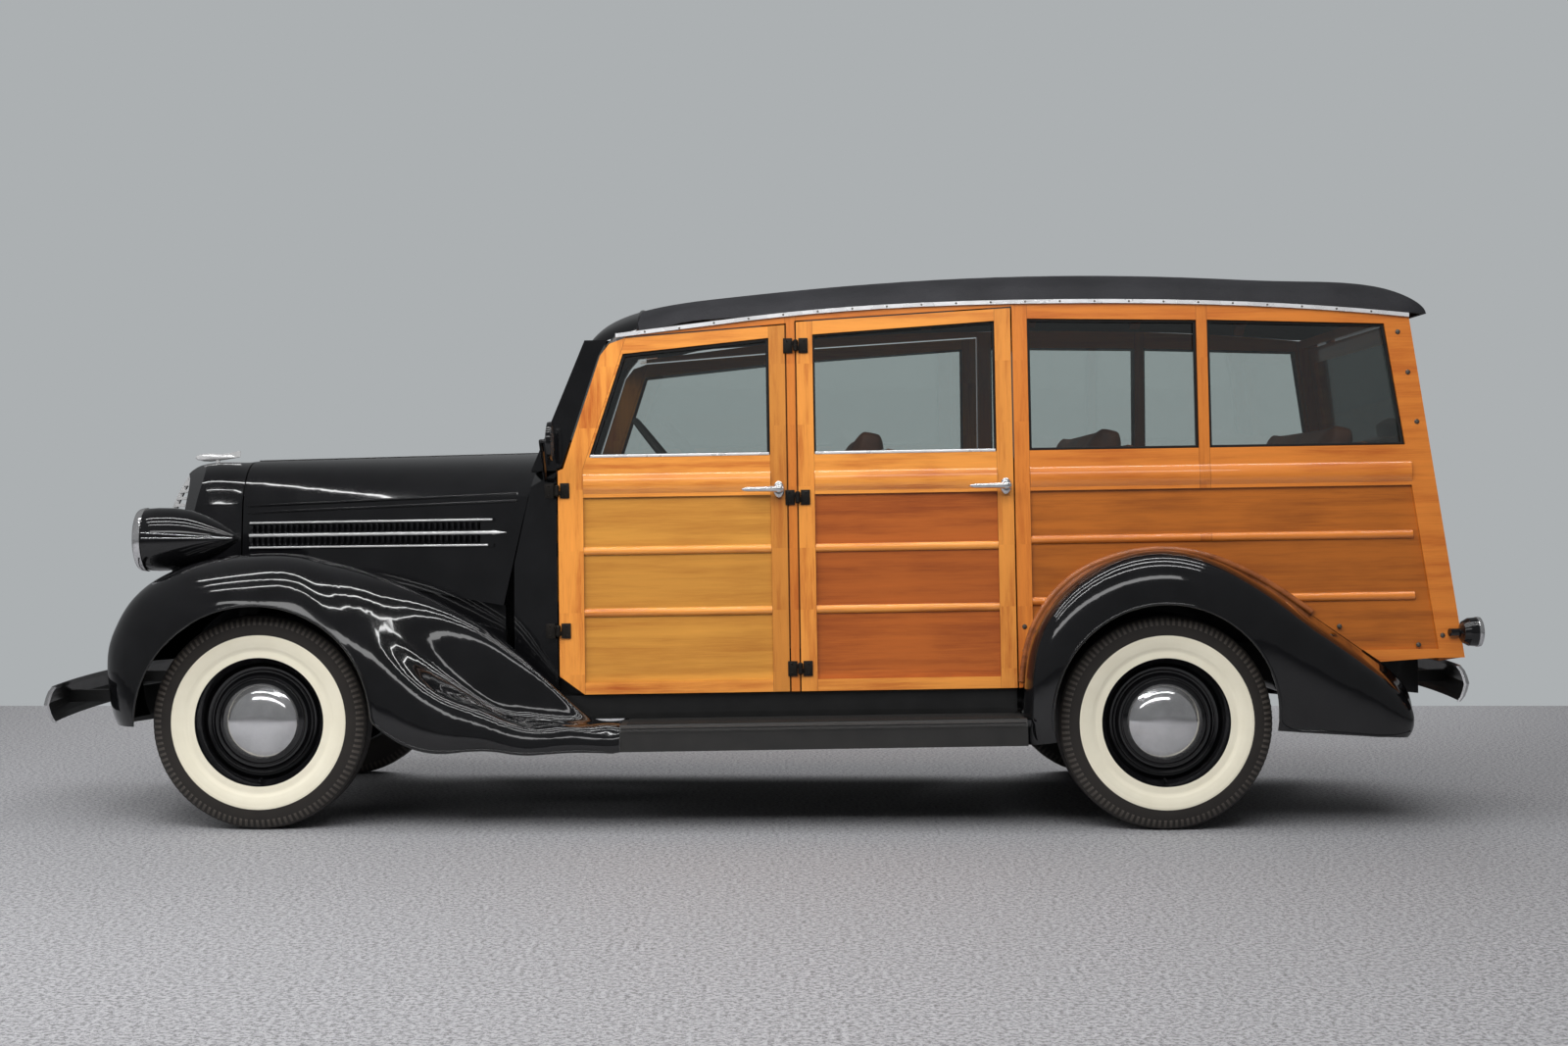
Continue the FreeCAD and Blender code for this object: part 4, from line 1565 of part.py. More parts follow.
def body_height(x, z):
    """Height in the leaned body of a point given level."""
    return x * RAKE_SINE + z * RAKE_COSINE


def spring_hangers():
    """Left hangers that come down from the rail onto the ends of both springs."""
    hangers = []
    for axle_x, seat_z in ((FRONT_AXLE_X, BEAM_TOP_Z), (REAR_AXLE_X, AXLE_Z + REAR_AXLE_RADIUS)):
        for sign in (1, -1):
            x = axle_x + sign * (SPRING_HALF_LENGTH - SPRING_WIDTH / 2)
            low = body_height(x, seat_z + SPRING_END_LIFT) + RUN_GAP
            top = rail_top(x) - RAIL_WALL
            hangers.append(box(x - SPRING_WIDTH / 2, x + SPRING_WIDTH / 2, SPRING_Y - SPRING_WIDTH / 2,
                               FRAME_HALF_WIDTH - RAIL_WALL / 2, low, top))
    return hangers


def cross_member_top(share):
    """Height of a cross member's top."""
    x = RAIL_END_FRONT_X + (RAIL_END_REAR_X - RAIL_END_FRONT_X) * share
    return rail_top(x) - (RAIL_HEIGHT - CROSS_MEMBER_HEIGHT) / 2


def make_frame():
    """Channel-section side rails, swept up over the rear axle, with their cross members."""
    stations = [RAIL_END_FRONT_X + (RAIL_END_REAR_X - RAIL_END_FRONT_X) * p for p, _ in RAIL_SHARES]
    top = [(x, rail_top(x)) for x in stations]
    low = [(x, z - RAIL_HEIGHT) for x, z in reversed(top)]
    outer = side_plate(top + low, 0, RAIL_WIDTH)
    top_in = [(x, z - RAIL_WALL) for x, z in top]
    low_in = [(x, z - RAIL_HEIGHT + RAIL_WALL) for x, z in reversed(top)]
    pocket = side_plate(top_in + low_in, -OVERRUN, RAIL_WIDTH - RAIL_WALL)
    rail = outer.cut(pocket)
    rail.translate(V(0, FRAME_HALF_WIDTH - RAIL_WIDTH, 0))
    parts = [rail] + spring_hangers()
    parts += [mirrored(piece) for piece in parts]
    for share in CROSS_MEMBER_SHARES:
        x = RAIL_END_FRONT_X + (RAIL_END_REAR_X - RAIL_END_FRONT_X) * share
        z = cross_member_top(share)
        half = FRAME_HALF_WIDTH - RAIL_WALL / 2
        parts.append(box(x - CROSS_MEMBER_WIDTH / 2, x + CROSS_MEMBER_WIDTH / 2, -half, half,
                         z - CROSS_MEMBER_HEIGHT, z))
    return union(parts)


def make_engine():
    """Engine and gearbox as one closed mass with its sump."""
    block = box(ENGINE_REAR_X, ENGINE_FRONT_X, -ENGINE_HALF, ENGINE_HALF, GEARBOX_TOP_Z, ENGINE_TOP_Z)
    pan = box(ENGINE_REAR_X, ENGINE_PAN_FRONT_X, -ENGINE_PAN_HALF, ENGINE_PAN_HALF, ENGINE_LOW_Z,
              GEARBOX_TOP_Z)
    gearbox = box(GEARBOX_REAR_X, ENGINE_REAR_X + OVERRUN, -GEARBOX_HALF, GEARBOX_HALF, GEARBOX_LOW_Z,
                  GEARBOX_TOP_Z)
    foot_x = RAIL_END_FRONT_X + (RAIL_END_REAR_X - RAIL_END_FRONT_X) * CROSS_MEMBER_SHARES[1]
    foot_z = cross_member_top(CROSS_MEMBER_SHARES[1]) + RUN_GAP
    feet = [box(foot_x - CROSS_MEMBER_WIDTH / 2, ENGINE_FRONT_X, sign * ENGINE_FOOT_Y, sign * ENGINE_HALF,
                foot_z, GEARBOX_TOP_Z) for sign in (1, -1)]
    return union([block, pan, gearbox] + feet)


def make_radiator():
    """Radiator core behind the grille."""
    low = cross_member_top(CROSS_MEMBER_SHARES[0]) + RUN_GAP
    half_depth = RADIATOR_DEPTH / 2
    return box(RADIATOR_X - half_depth, RADIATOR_X + half_depth, -RADIATOR_HALF, RADIATOR_HALF,
               low, RADIATOR_TOP_Z)


def make_exhaust():
    """Exhaust pipe with its silencer along the right side of the chassis."""
    muffler_front = BOARD_REAR_X + MUFFLER_LENGTH
    route = [V(EXHAUST_PORT_X, -ENGINE_HALF - RUN_GAP, EXHAUST_PORT_Z),
             V(EXHAUST_PORT_X, EXHAUST_Y, EXHAUST_PORT_Z),
             V(EXHAUST_PORT_X, EXHAUST_Y, EXHAUST_DROP_Z), V(EXHAUST_TURN_X, EXHAUST_Y, EXHAUST_Z),
             V(EXHAUST_END_X, EXHAUST_Y, EXHAUST_Z),
             V(EXHAUST_END_X - EXHAUST_TIP_DROP, EXHAUST_Y, EXHAUST_Z - EXHAUST_TIP_DROP)]
    pieces = [rod(a, b, EXHAUST_RADIUS) for a, b in zip(route, route[1:])]
    pieces += [Part.makeSphere(EXHAUST_RADIUS, point) for point in route[1:-1]]
    muffler = rod(V(muffler_front, EXHAUST_Y, MUFFLER_Z),
                  V(muffler_front - MUFFLER_LENGTH, EXHAUST_Y, MUFFLER_Z), MUFFLER_RADIUS)
    tip, bend = route[-1], route[-2]
    outlet = rod(tip + (bend - tip).normalize() * EXHAUST_OUTLET_LENGTH, tip, EXHAUST_OUTLET_RADIUS)
    return union(pieces + [muffler, outlet])


def make_tank():
    """Fuel tank with rounded edges under the rear floor."""
    block = box(TANK_REAR_X, TANK_FRONT_X, -TANK_HALF, TANK_HALF, RAIL_TOP_Z - TANK_HEIGHT, RAIL_TOP_Z)
    return block.makeFillet(TANK_ROUND, block.Edges)


# Bumpers, lamps, mirror and ornament

# Half section of a bumper blade: depth behind the ridge and height from it, as shares of the ridge's depth
# and of half the blade's height
BUMPER_SECTION_SHARES = ((-1.0, 1.0), (-0.52, 0.72), (-0.22, 0.38), (0.0, 0.0))
BUMPER_CURL_RADIUS = 110.0
BUMPER_CURL_ANGLE = 34.0
BUMPER_ARM_HEIGHT = 40.0
BUMPER_ARM_THICKNESS = 14.0
REAR_BUMPER_MID_Z = 439.0

# Headlamp: half profile along its axis from the lens rim to the tail's tip, as shares of length and radius
HEADLAMP_Y = 520.0
HEADLAMP_Z = 972.0
HEADLAMP_FRONT_X = 2056.0
HEADLAMP_LENGTH = 312.0
HEADLAMP_RADIUS = 97.0
HEADLAMP_SHARES = ((0.0, 0.955), (0.05, 1.0), (0.20, 0.995), (0.38, 0.90), (0.58, 0.70), (0.78, 0.42),
                   (0.93, 0.17), (1.0, 0.0))
HEADLAMP_RIM = 12.0
LENS_BULGE = 14.0
LENS_THICKNESS = 5.0
STAND_RADIUS = 26.0
STAND_X_SHARE = 0.36
STAND_LOW_Z = 820.0

TAIL_LAMP_Y = 664.0
TAIL_LAMP_Z = 600.0
TAIL_LAMP_REAR_X = -2386.0
TAIL_LAMP_LENGTH = 62.0
TAIL_LAMP_RADIUS = 48.0
TAIL_LAMP_SHARES = ((0.0, 0.92), (0.12, 1.0), (0.55, 0.96), (0.85, 0.74), (1.0, 0.42))
TAIL_LENS_DEPTH = 9.0
TAIL_STAND_RADIUS = 13.0

MIRROR_RADIUS = 62.0
MIRROR_THICKNESS = 12.0
MIRROR_X = 655.0
MIRROR_Y = 762.0
MIRROR_Z = 1274.0
MIRROR_ARM_RADIUS = 7.0
MIRROR_ARM_X = 690.0
MIRROR_FOOT_Z = 1150.0

ORNAMENT_FRONT_X = 2030.0
ORNAMENT_LENGTH = 165.0
ORNAMENT_Z = 1262.0
ORNAMENT_SHARES = ((0.0, 0.0), (0.05, 0.52), (0.18, 0.90), (0.35, 1.0), (0.60, 0.70), (0.85, 0.32),
                   (1.0, 0.0))
ORNAMENT_RADIUS = 15.0
ORNAMENT_FIN_HEIGHT = 22.0
ORNAMENT_FIN_THICKNESS = 4.0
ORNAMENT_POST_RADIUS = 8.0


def blade_section(x, mid_z):
    """Closed thin V section of a bumper blade with its ridge at a place along X."""
    half = BUMPER_HEIGHT / 2
    upper = [V(x + d * BUMPER_RIDGE, 0, mid_z + h * half) for d, h in BUMPER_SECTION_SHARES]
    lower = [V(p.x, 0, 2 * mid_z - p.z) for p in reversed(upper[:-1])]
    outer = upper + lower
    inner = [V(p.x - BUMPER_SHEET, 0, p.z) for p in reversed(outer)]
    return polygon_face(outer + inner)


def make_front_bumper(front_x=FRONT_BUMPER_X, mid_z=BUMPER_MID_Z, rail_x=RAIL_END_FRONT_X + RUN_GAP):
    """Bowed blade with curled ends on two arms from the frame's horns."""
    radius = (BUMPER_HALF_WIDTH ** 2 + BUMPER_BOW ** 2) / (2 * BUMPER_BOW)
    half_angle = math.degrees(math.asin((BUMPER_HALF_WIDTH - BUMPER_CURL_RADIUS / 2) / radius))
    section = blade_section(front_x, mid_z)
    centre = V(front_x - radius, 0, 0)
    blade = section.revolve(centre, V(0, 0, 1), half_angle)
    end = section.copy()
    end.rotate(centre, V(0, 0, 1), half_angle)
    angle = math.radians(half_angle)
    pivot = V(centre.x + (radius - BUMPER_CURL_RADIUS) * math.cos(angle),
              (radius - BUMPER_CURL_RADIUS) * math.sin(angle), 0)
    curl = end.revolve(pivot, V(0, 0, 1), BUMPER_CURL_ANGLE)
    arm_back = front_x - FRAME_HALF_WIDTH ** 2 / (2 * radius) - BUMPER_SHEET
    arm = box(rail_x, arm_back, FRAME_HALF_WIDTH - 2 * BUMPER_ARM_THICKNESS, FRAME_HALF_WIDTH,
              mid_z - BUMPER_ARM_HEIGHT / 2, mid_z + BUMPER_ARM_HEIGHT / 2)
    left = union([blade, curl, arm])
    return union([left, mirrored(left)])


def make_rear_bumper():
    """The same blade turned to the rear."""
    turned = make_front_bumper(-REAR_BUMPER_X, REAR_BUMPER_MID_Z, -RAIL_END_REAR_X + RUN_GAP)
    turned.rotate(V(0, 0, 0), V(0, 0, 1), 180)
    return turned


def lathe_x(profile, y, z):
    """Solid turned round an axis along X from (x, radius) points that start and end on the axis."""
    face = polygon_face([V(x, y, z + r) for x, r in profile])
    return face.revolve(V(0, y, z), V(1, 0, 0), 360)


def make_headlamp(fender):
    """Left headlamp: hollow bullet shell with its bright rim's seat, on a stand that meets the fender."""
    outer = [(HEADLAMP_FRONT_X - s * HEADLAMP_LENGTH, r * HEADLAMP_RADIUS) for s, r in HEADLAMP_SHARES]
    shell = lathe_x(outer + [(HEADLAMP_FRONT_X, 0)], HEADLAMP_Y, HEADLAMP_Z)
    inner_length = HEADLAMP_LENGTH - 2 * HEADLAMP_RIM
    inner = [(HEADLAMP_FRONT_X - s * inner_length, max(r * HEADLAMP_RADIUS - HEADLAMP_RIM, 0))
             for s, r in HEADLAMP_SHARES]
    bowl = lathe_x([(HEADLAMP_FRONT_X + OVERRUN, 0), (HEADLAMP_FRONT_X + OVERRUN, inner[0][1])] + inner,
                   HEADLAMP_Y, HEADLAMP_Z)
    x = HEADLAMP_FRONT_X - STAND_X_SHARE * HEADLAMP_LENGTH
    stand = rod(V(x, HEADLAMP_Y, STAND_LOW_Z), V(x, HEADLAMP_Y, HEADLAMP_Z), STAND_RADIUS)
    seat = fender.copy()
    seat.translate(V(0, 0, RUN_GAP))
    return largest(shell.fuse(stand).cut(bowl).cut(seat))


def make_headlamp_lens():
    """Bulged glass in the headlamp's mouth."""
    half = HEADLAMP_SHARES[0][1] * HEADLAMP_RADIUS - HEADLAMP_RIM - RUN_GAP
    ball = (half ** 2 + LENS_BULGE ** 2) / (2 * LENS_BULGE)
    centre = V(HEADLAMP_FRONT_X + LENS_BULGE - ball, HEADLAMP_Y, HEADLAMP_Z)
    face = V(HEADLAMP_FRONT_X, HEADLAMP_Y, HEADLAMP_Z)
    dome = Part.makeSphere(ball, centre).common(rod(face, face + V(OVERRUN, 0, 0), half))
    return dome.fuse(rod(face - V(LENS_THICKNESS, 0, 0), face, half)).removeSplitter()


def make_tail_lamp():
    """Left tail lamp: small cup that faces rearward on a short stem from the corner post."""
    cup = [(TAIL_LAMP_REAR_X + s * TAIL_LAMP_LENGTH, r * TAIL_LAMP_RADIUS) for s, r in TAIL_LAMP_SHARES]
    front_x = TAIL_LAMP_REAR_X + TAIL_LAMP_LENGTH
    body = lathe_x([(TAIL_LAMP_REAR_X, 0)] + cup + [(front_x, 0)], TAIL_LAMP_Y, TAIL_LAMP_Z)
    stem_end = rear_x(TAIL_LAMP_Z) + REAR_POST_WIDTH / 2
    base_y = side_y(TAIL_LAMP_Z) + RUN_GAP
    stem = rod(V(front_x - TAIL_STAND_RADIUS, TAIL_LAMP_Y, TAIL_LAMP_Z),
               V(stem_end, base_y + TAIL_STAND_RADIUS, TAIL_LAMP_Z), TAIL_STAND_RADIUS)
    low, high = TAIL_LAMP_Z - 2 * TAIL_LAMP_RADIUS, TAIL_LAMP_Z + 2 * TAIL_LAMP_RADIUS
    wall = on_side(side_plate([(rear_x(low) - RUN_GAP, low), (rear_x(high) - RUN_GAP, high),
                               (rear_x(high) + PILLAR_DEPTH, high), (rear_x(high) + PILLAR_DEPTH, low)],
                              -PILLAR_DEPTH, RUN_GAP), 1)
    return largest(body.fuse(stem).cut(wall))


def make_tail_lens():
    """Left tail lamp's lens on the cup's rear face."""
    half = TAIL_LAMP_SHARES[0][1] * TAIL_LAMP_RADIUS
    x = TAIL_LAMP_REAR_X - RUN_GAP
    profile = [(x, 0), (x, half), (x - TAIL_LENS_DEPTH / 2, half), (x - TAIL_LENS_DEPTH, half / 2),
               (x - TAIL_LENS_DEPTH, 0)]
    return lathe_x(profile, TAIL_LAMP_Y, TAIL_LAMP_Z)


def make_mirror():
    """Round mirror on its bent arm from the left cowl side."""
    disc = rod(V(MIRROR_X, MIRROR_Y, MIRROR_Z), V(MIRROR_X + MIRROR_THICKNESS, MIRROR_Y, MIRROR_Z),
               MIRROR_RADIUS)
    foot_y = side_y(MIRROR_FOOT_Z)
    foot = V(MIRROR_ARM_X, foot_y, MIRROR_FOOT_Z)
    knee = V(MIRROR_ARM_X, MIRROR_Y, MIRROR_Z)
    arm = rod(foot, knee, MIRROR_ARM_RADIUS)
    link = rod(knee, V(MIRROR_X, MIRROR_Y, MIRROR_Z), MIRROR_ARM_RADIUS)
    ball = Part.makeSphere(MIRROR_ARM_RADIUS, knee)
    seat = rod(V(MIRROR_ARM_X, foot_y - STILE_WIDTH, MIRROR_FOOT_Z), foot, MIRROR_ARM_RADIUS)
    return union([disc, arm, link, ball, seat]).cut(cowl_body(-RUN_GAP))


def make_ornament():
    """Plain streamlined drop on a short post over the nose."""
    profile = [(ORNAMENT_FRONT_X - s * ORNAMENT_LENGTH, r * ORNAMENT_RADIUS) for s, r in ORNAMENT_SHARES]
    drop = lathe_x(profile, 0, ORNAMENT_Z)
    x = ORNAMENT_FRONT_X - ORNAMENT_LENGTH
    fin = side_plate([(x, ORNAMENT_Z), (ORNAMENT_FRONT_X - ORNAMENT_LENGTH / 4, ORNAMENT_Z),
                      (x, ORNAMENT_Z + ORNAMENT_FIN_HEIGHT)], -ORNAMENT_FIN_THICKNESS / 2,
                     ORNAMENT_FIN_THICKNESS / 2)
    post_x = ORNAMENT_FRONT_X - ORNAMENT_LENGTH / 2
    post = rod(V(post_x, 0, HOOD_CREASE_Z), V(post_x, 0, ORNAMENT_Z), ORNAMENT_POST_RADIUS)
    return union([drop, fin, post]).cut(nose_body(-RUN_GAP))


# Write every node

def main():
    """Build the car and write one file for each node."""
    os.makedirs("parts", exist_ok=True)
    tyre, wheel = make_tyre(), make_wheel()
    for place in WHEEL_PLACES:
        save("tyre_" + place, placed_wheel(tyre, place), level=True)
        save("wheel_" + place, placed_wheel(wheel, place), level=True)
    knuckle = make_knuckle()
    save("knuckle_left", knuckle, level=True)
    save("knuckle_right", mirrored(knuckle), level=True)
    save("front_axle", make_front_axle(), level=True)
    save("rear_axle", make_rear_axle(), level=True)
    springs = [both(make_spring(FRONT_AXLE_X, SPRING_Y, BEAM_TOP_Z + RUN_GAP)),
               both(make_spring(REAR_AXLE_X, SPRING_Y, AXLE_Z + REAR_AXLE_RADIUS + RUN_GAP))]
    save("leaf_springs", Part.makeCompound(springs), level=True)

    save("chassis_frame", make_frame())
    save("engine", make_engine())
    save("radiator", make_radiator())
    save("exhaust_system", make_exhaust())
    save("fuel_tank", make_tank())
    save("floor", make_floor())

    save("cowl", make_cowl())
    save("hood_rails", Part.makeCompound([both(make_hood_sill()), make_hood_centre_strip()]))
    save("radiator_shell", make_radiator_shell())
    save("grille", make_grille())
    hood = make_hood_half()
    save("hood_left", hood)
    save("hood_right", mirrored(hood))

    front_fender, rear_fender = make_front_fender(), make_rear_fender()
    save("front_fenders", both(front_fender))
    save("rear_fenders", both(rear_fender))
    save("running_boards", both(make_running_board(rear_fender)))
    save("wheelhouses", make_wheelhouses())

    for hand, name in ((1, "left"), (-1, "right")):
        save("door_front_" + name, on_side(make_front_door(), hand))
        save("door_rear_" + name, on_side(make_rear_door(), hand))
        save("door_front_glass_" + name, on_side(pane(front_door_window(), -RUN_GAP), hand))
        save("door_rear_glass_" + name, on_side(pane(rear_door_window(), -RUN_GAP), hand))
    save("body_sides", both(on_side(make_fixed_side(), 1)))
    first, second = quarter_windows()
    panes = Part.makeCompound([on_side(pane(first, -RUN_GAP), 1), on_side(pane(second, -RUN_GAP), 1)])
    save("fixed_glass", Part.makeCompound([both(panes), make_windshield_glass()]))
    save("drip_mouldings", both(on_side(make_drip(), 1)))
    save("rear_frame", make_rear_frame())
    save("tailgate", make_tailgate())
    save("liftgate", make_liftgate())
    save("liftgate_glass", make_liftgate_glass())
    save("roof", make_roof())
    save("roof_bows", make_roof_bows())
    save("windshield_frame", make_windshield_frame())

    save("dashboard", make_dashboard())
    save("steering_column", make_steering_column())
    save("steering_wheel", make_steering_wheel())
    rows = range(len(SEAT_PLACES_X))
    save("seat_frames", Part.makeCompound([make_seat_frame(row) for row in rows]))
    cushions = [make(SEAT_HALF_WIDTHS[row], SEAT_PLACES_X[row], SEAT_TOP_Z)
                for row in rows for make in (seat_cushion, seat_back)]
    save("seat_cushions", Part.makeCompound(cushions))

    save("bumpers", Part.makeCompound([make_front_bumper(), make_rear_bumper()]))
    save("headlamps", both(make_headlamp(front_fender)))
    save("headlamp_lenses", both(make_headlamp_lens()))
    save("tail_lamps", both(Part.makeCompound([make_tail_lamp(), make_tail_lens()])))
    save("side_mirror", make_mirror())
    save("hood_ornament", make_ornament())


main()
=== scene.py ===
"""Looks of a wood-bodied station wagon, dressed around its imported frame.

Every length is in metres and every place is in the frame's own axes: +X forward, +Y to the car's left side
and +Z up. The body sits nose down by the rake, so level_point turns a point of the level body before its use.
"""

import logging
import math
from dataclasses import dataclass, field
from enum import Enum
from typing import Iterable, Optional, Sequence, Union

import bpy
from mathutils import Matrix, Vector


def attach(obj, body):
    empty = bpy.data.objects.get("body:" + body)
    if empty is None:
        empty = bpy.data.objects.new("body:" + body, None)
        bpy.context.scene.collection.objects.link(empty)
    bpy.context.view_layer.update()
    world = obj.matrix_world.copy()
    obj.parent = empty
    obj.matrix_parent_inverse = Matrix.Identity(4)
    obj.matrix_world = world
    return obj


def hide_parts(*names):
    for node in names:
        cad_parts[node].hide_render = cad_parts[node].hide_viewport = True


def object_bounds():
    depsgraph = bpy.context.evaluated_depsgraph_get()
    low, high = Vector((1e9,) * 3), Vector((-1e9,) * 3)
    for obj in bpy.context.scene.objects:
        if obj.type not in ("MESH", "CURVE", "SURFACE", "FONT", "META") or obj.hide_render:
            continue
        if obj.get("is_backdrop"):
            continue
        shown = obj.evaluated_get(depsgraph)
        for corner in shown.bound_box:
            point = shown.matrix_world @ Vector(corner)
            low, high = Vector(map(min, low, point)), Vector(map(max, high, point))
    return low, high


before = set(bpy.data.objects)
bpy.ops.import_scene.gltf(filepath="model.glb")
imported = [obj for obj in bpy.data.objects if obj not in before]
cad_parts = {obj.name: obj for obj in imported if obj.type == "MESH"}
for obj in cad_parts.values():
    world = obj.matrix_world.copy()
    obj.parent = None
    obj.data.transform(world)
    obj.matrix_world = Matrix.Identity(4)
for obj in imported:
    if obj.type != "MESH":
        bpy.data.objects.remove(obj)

logging.basicConfig(level=logging.INFO, format="%(message)s")
log = logging.getLogger("wagon")

Colour = tuple[float, float, float]
Number = Union[float, int]

RAKE = math.radians(0.9)
LEAN = math.radians(2.465)
SIDE_HALF_WIDTH = 0.668
SIDE_BASE_Z = 0.439
FRONT_AXLE_X = 1.623
REAR_AXLE_X = -1.323
AXLE_Z = 0.350
RAY_START_Y = 1.2
RAY_START_Z = 2.4
BOTH_SIDES = (1, -1)


def hand_name(hand: int) -> str:
    """The side's word in names: 1 is left and -1 is right."""
    return "left" if hand > 0 else "right"


def level_point(x: float, y: float, z: float) -> Vector:
    """Place in the frame of a point of the level body."""
    return Vector((x * math.cos(RAKE) + z * math.sin(RAKE), y, -x * math.sin(RAKE) + z * math.cos(RAKE)))


def side_point(x: float, out: float, z: float, hand: int) -> Vector:
    """Place in the frame of a point on the leaning body side.

    Args:
        x: Place along the level body.
        out: Height above the side's outer face.
        z: Height up the side plane from the ground.
        hand: 1 on the left and -1 on the right.

    Returns:
        The point in the frame.
    """
    rise = z - SIDE_BASE_Z
    y = out * math.cos(LEAN) - rise * math.sin(LEAN) + SIDE_HALF_WIDTH
    up = out * math.sin(LEAN) + rise * math.cos(LEAN) + SIDE_BASE_Z
    return level_point(x, hand * y, up)


def rgb(red: int, green: int, blue: int) -> Colour:
    """Linear colour of a screen colour, each channel from 0 to 255.

    Args:
        red: The red channel.
        green: The green channel.
        blue: The blue channel.

    Returns:
        The same colour in linear light.
    """
    def linear(level: int) -> float:
        """One channel in linear light."""
        share = level / 255
        return share / 12.92 if share <= 0.04045 else ((share + 0.055) / 1.055) ** 2.4
    return linear(red), linear(green), linear(blue)


class Socket:
    """A node's output that carries a number, with arithmetic that adds the nodes for it."""

    def __init__(self, paint: "Paint", out: bpy.types.NodeSocket) -> None:
        """Keep the shader's tree and one of its outputs."""
        self.paint = paint
        self.out = out

    def _math(self, operation: str, *others: Union["Socket", Number], first: bool = True) -> "Socket":
        """Add one Math node.

        Args:
            operation: The node's operation.
            *others: The other values, sockets or numbers.
            first: Whether this socket is the first value, before the others.

        Returns:
            The node's result.
        """
        values = [self, *others] if first else [*others, self]
        return self.paint.node("ShaderNodeMath", {"operation": operation}, dict(enumerate(values)))

    def __add__(self, other: Union["Socket", Number]) -> "Socket":
        """Sum."""
        return self._math("ADD", other)

    __radd__ = __add__

    def __sub__(self, other: Union["Socket", Number]) -> "Socket":
        """Difference."""
        return self._math("SUBTRACT", other)

    def __rsub__(self, other: Union["Socket", Number]) -> "Socket":
        """Difference from another value."""
        return self._math("SUBTRACT", other, first=False)

    def __mul__(self, other: Union["Socket", Number]) -> "Socket":
        """Product."""
        return self._math("MULTIPLY", other)

    __rmul__ = __mul__

    def __truediv__(self, other: Union["Socket", Number]) -> "Socket":
        """Quotient."""
        return self._math("DIVIDE", other)

    def __gt__(self, other: Union["Socket", Number]) -> "Socket":
        """1 where this value is the greater and 0 elsewhere."""
        return self._math("GREATER_THAN", other)

    def __lt__(self, other: Union["Socket", Number]) -> "Socket":
        """1 where this value is the smaller and 0 elsewhere."""
        return self._math("LESS_THAN", other)

    def __abs__(self) -> "Socket":
        """Distance from zero."""
        return self._math("ABSOLUTE")

    def floored(self) -> "Socket":
        """The whole number below."""
        return self._math("FLOOR")

    def most(self, other: Union["Socket", Number]) -> "Socket":
        """The greater of two values."""
        return self._math("MAXIMUM", other)

    def least(self, other: Union["Socket", Number]) -> "Socket":
        """The smaller of two values."""
        return self._math("MINIMUM", other)

    def held(self) -> "Socket":
        """The value kept between 0 and 1."""
        return self.most(0.0).least(1.0)

    def between(self, low: float, high: float) -> "Socket":
        """1 inside a range and 0 outside it."""
        return (self > low) * (self < high)

    def near(self, place: float, width: float) -> "Socket":
        """1 at a place, down to 0 at half a width from it."""
        return (1.0 - abs(self - place) / (width / 2)).held()


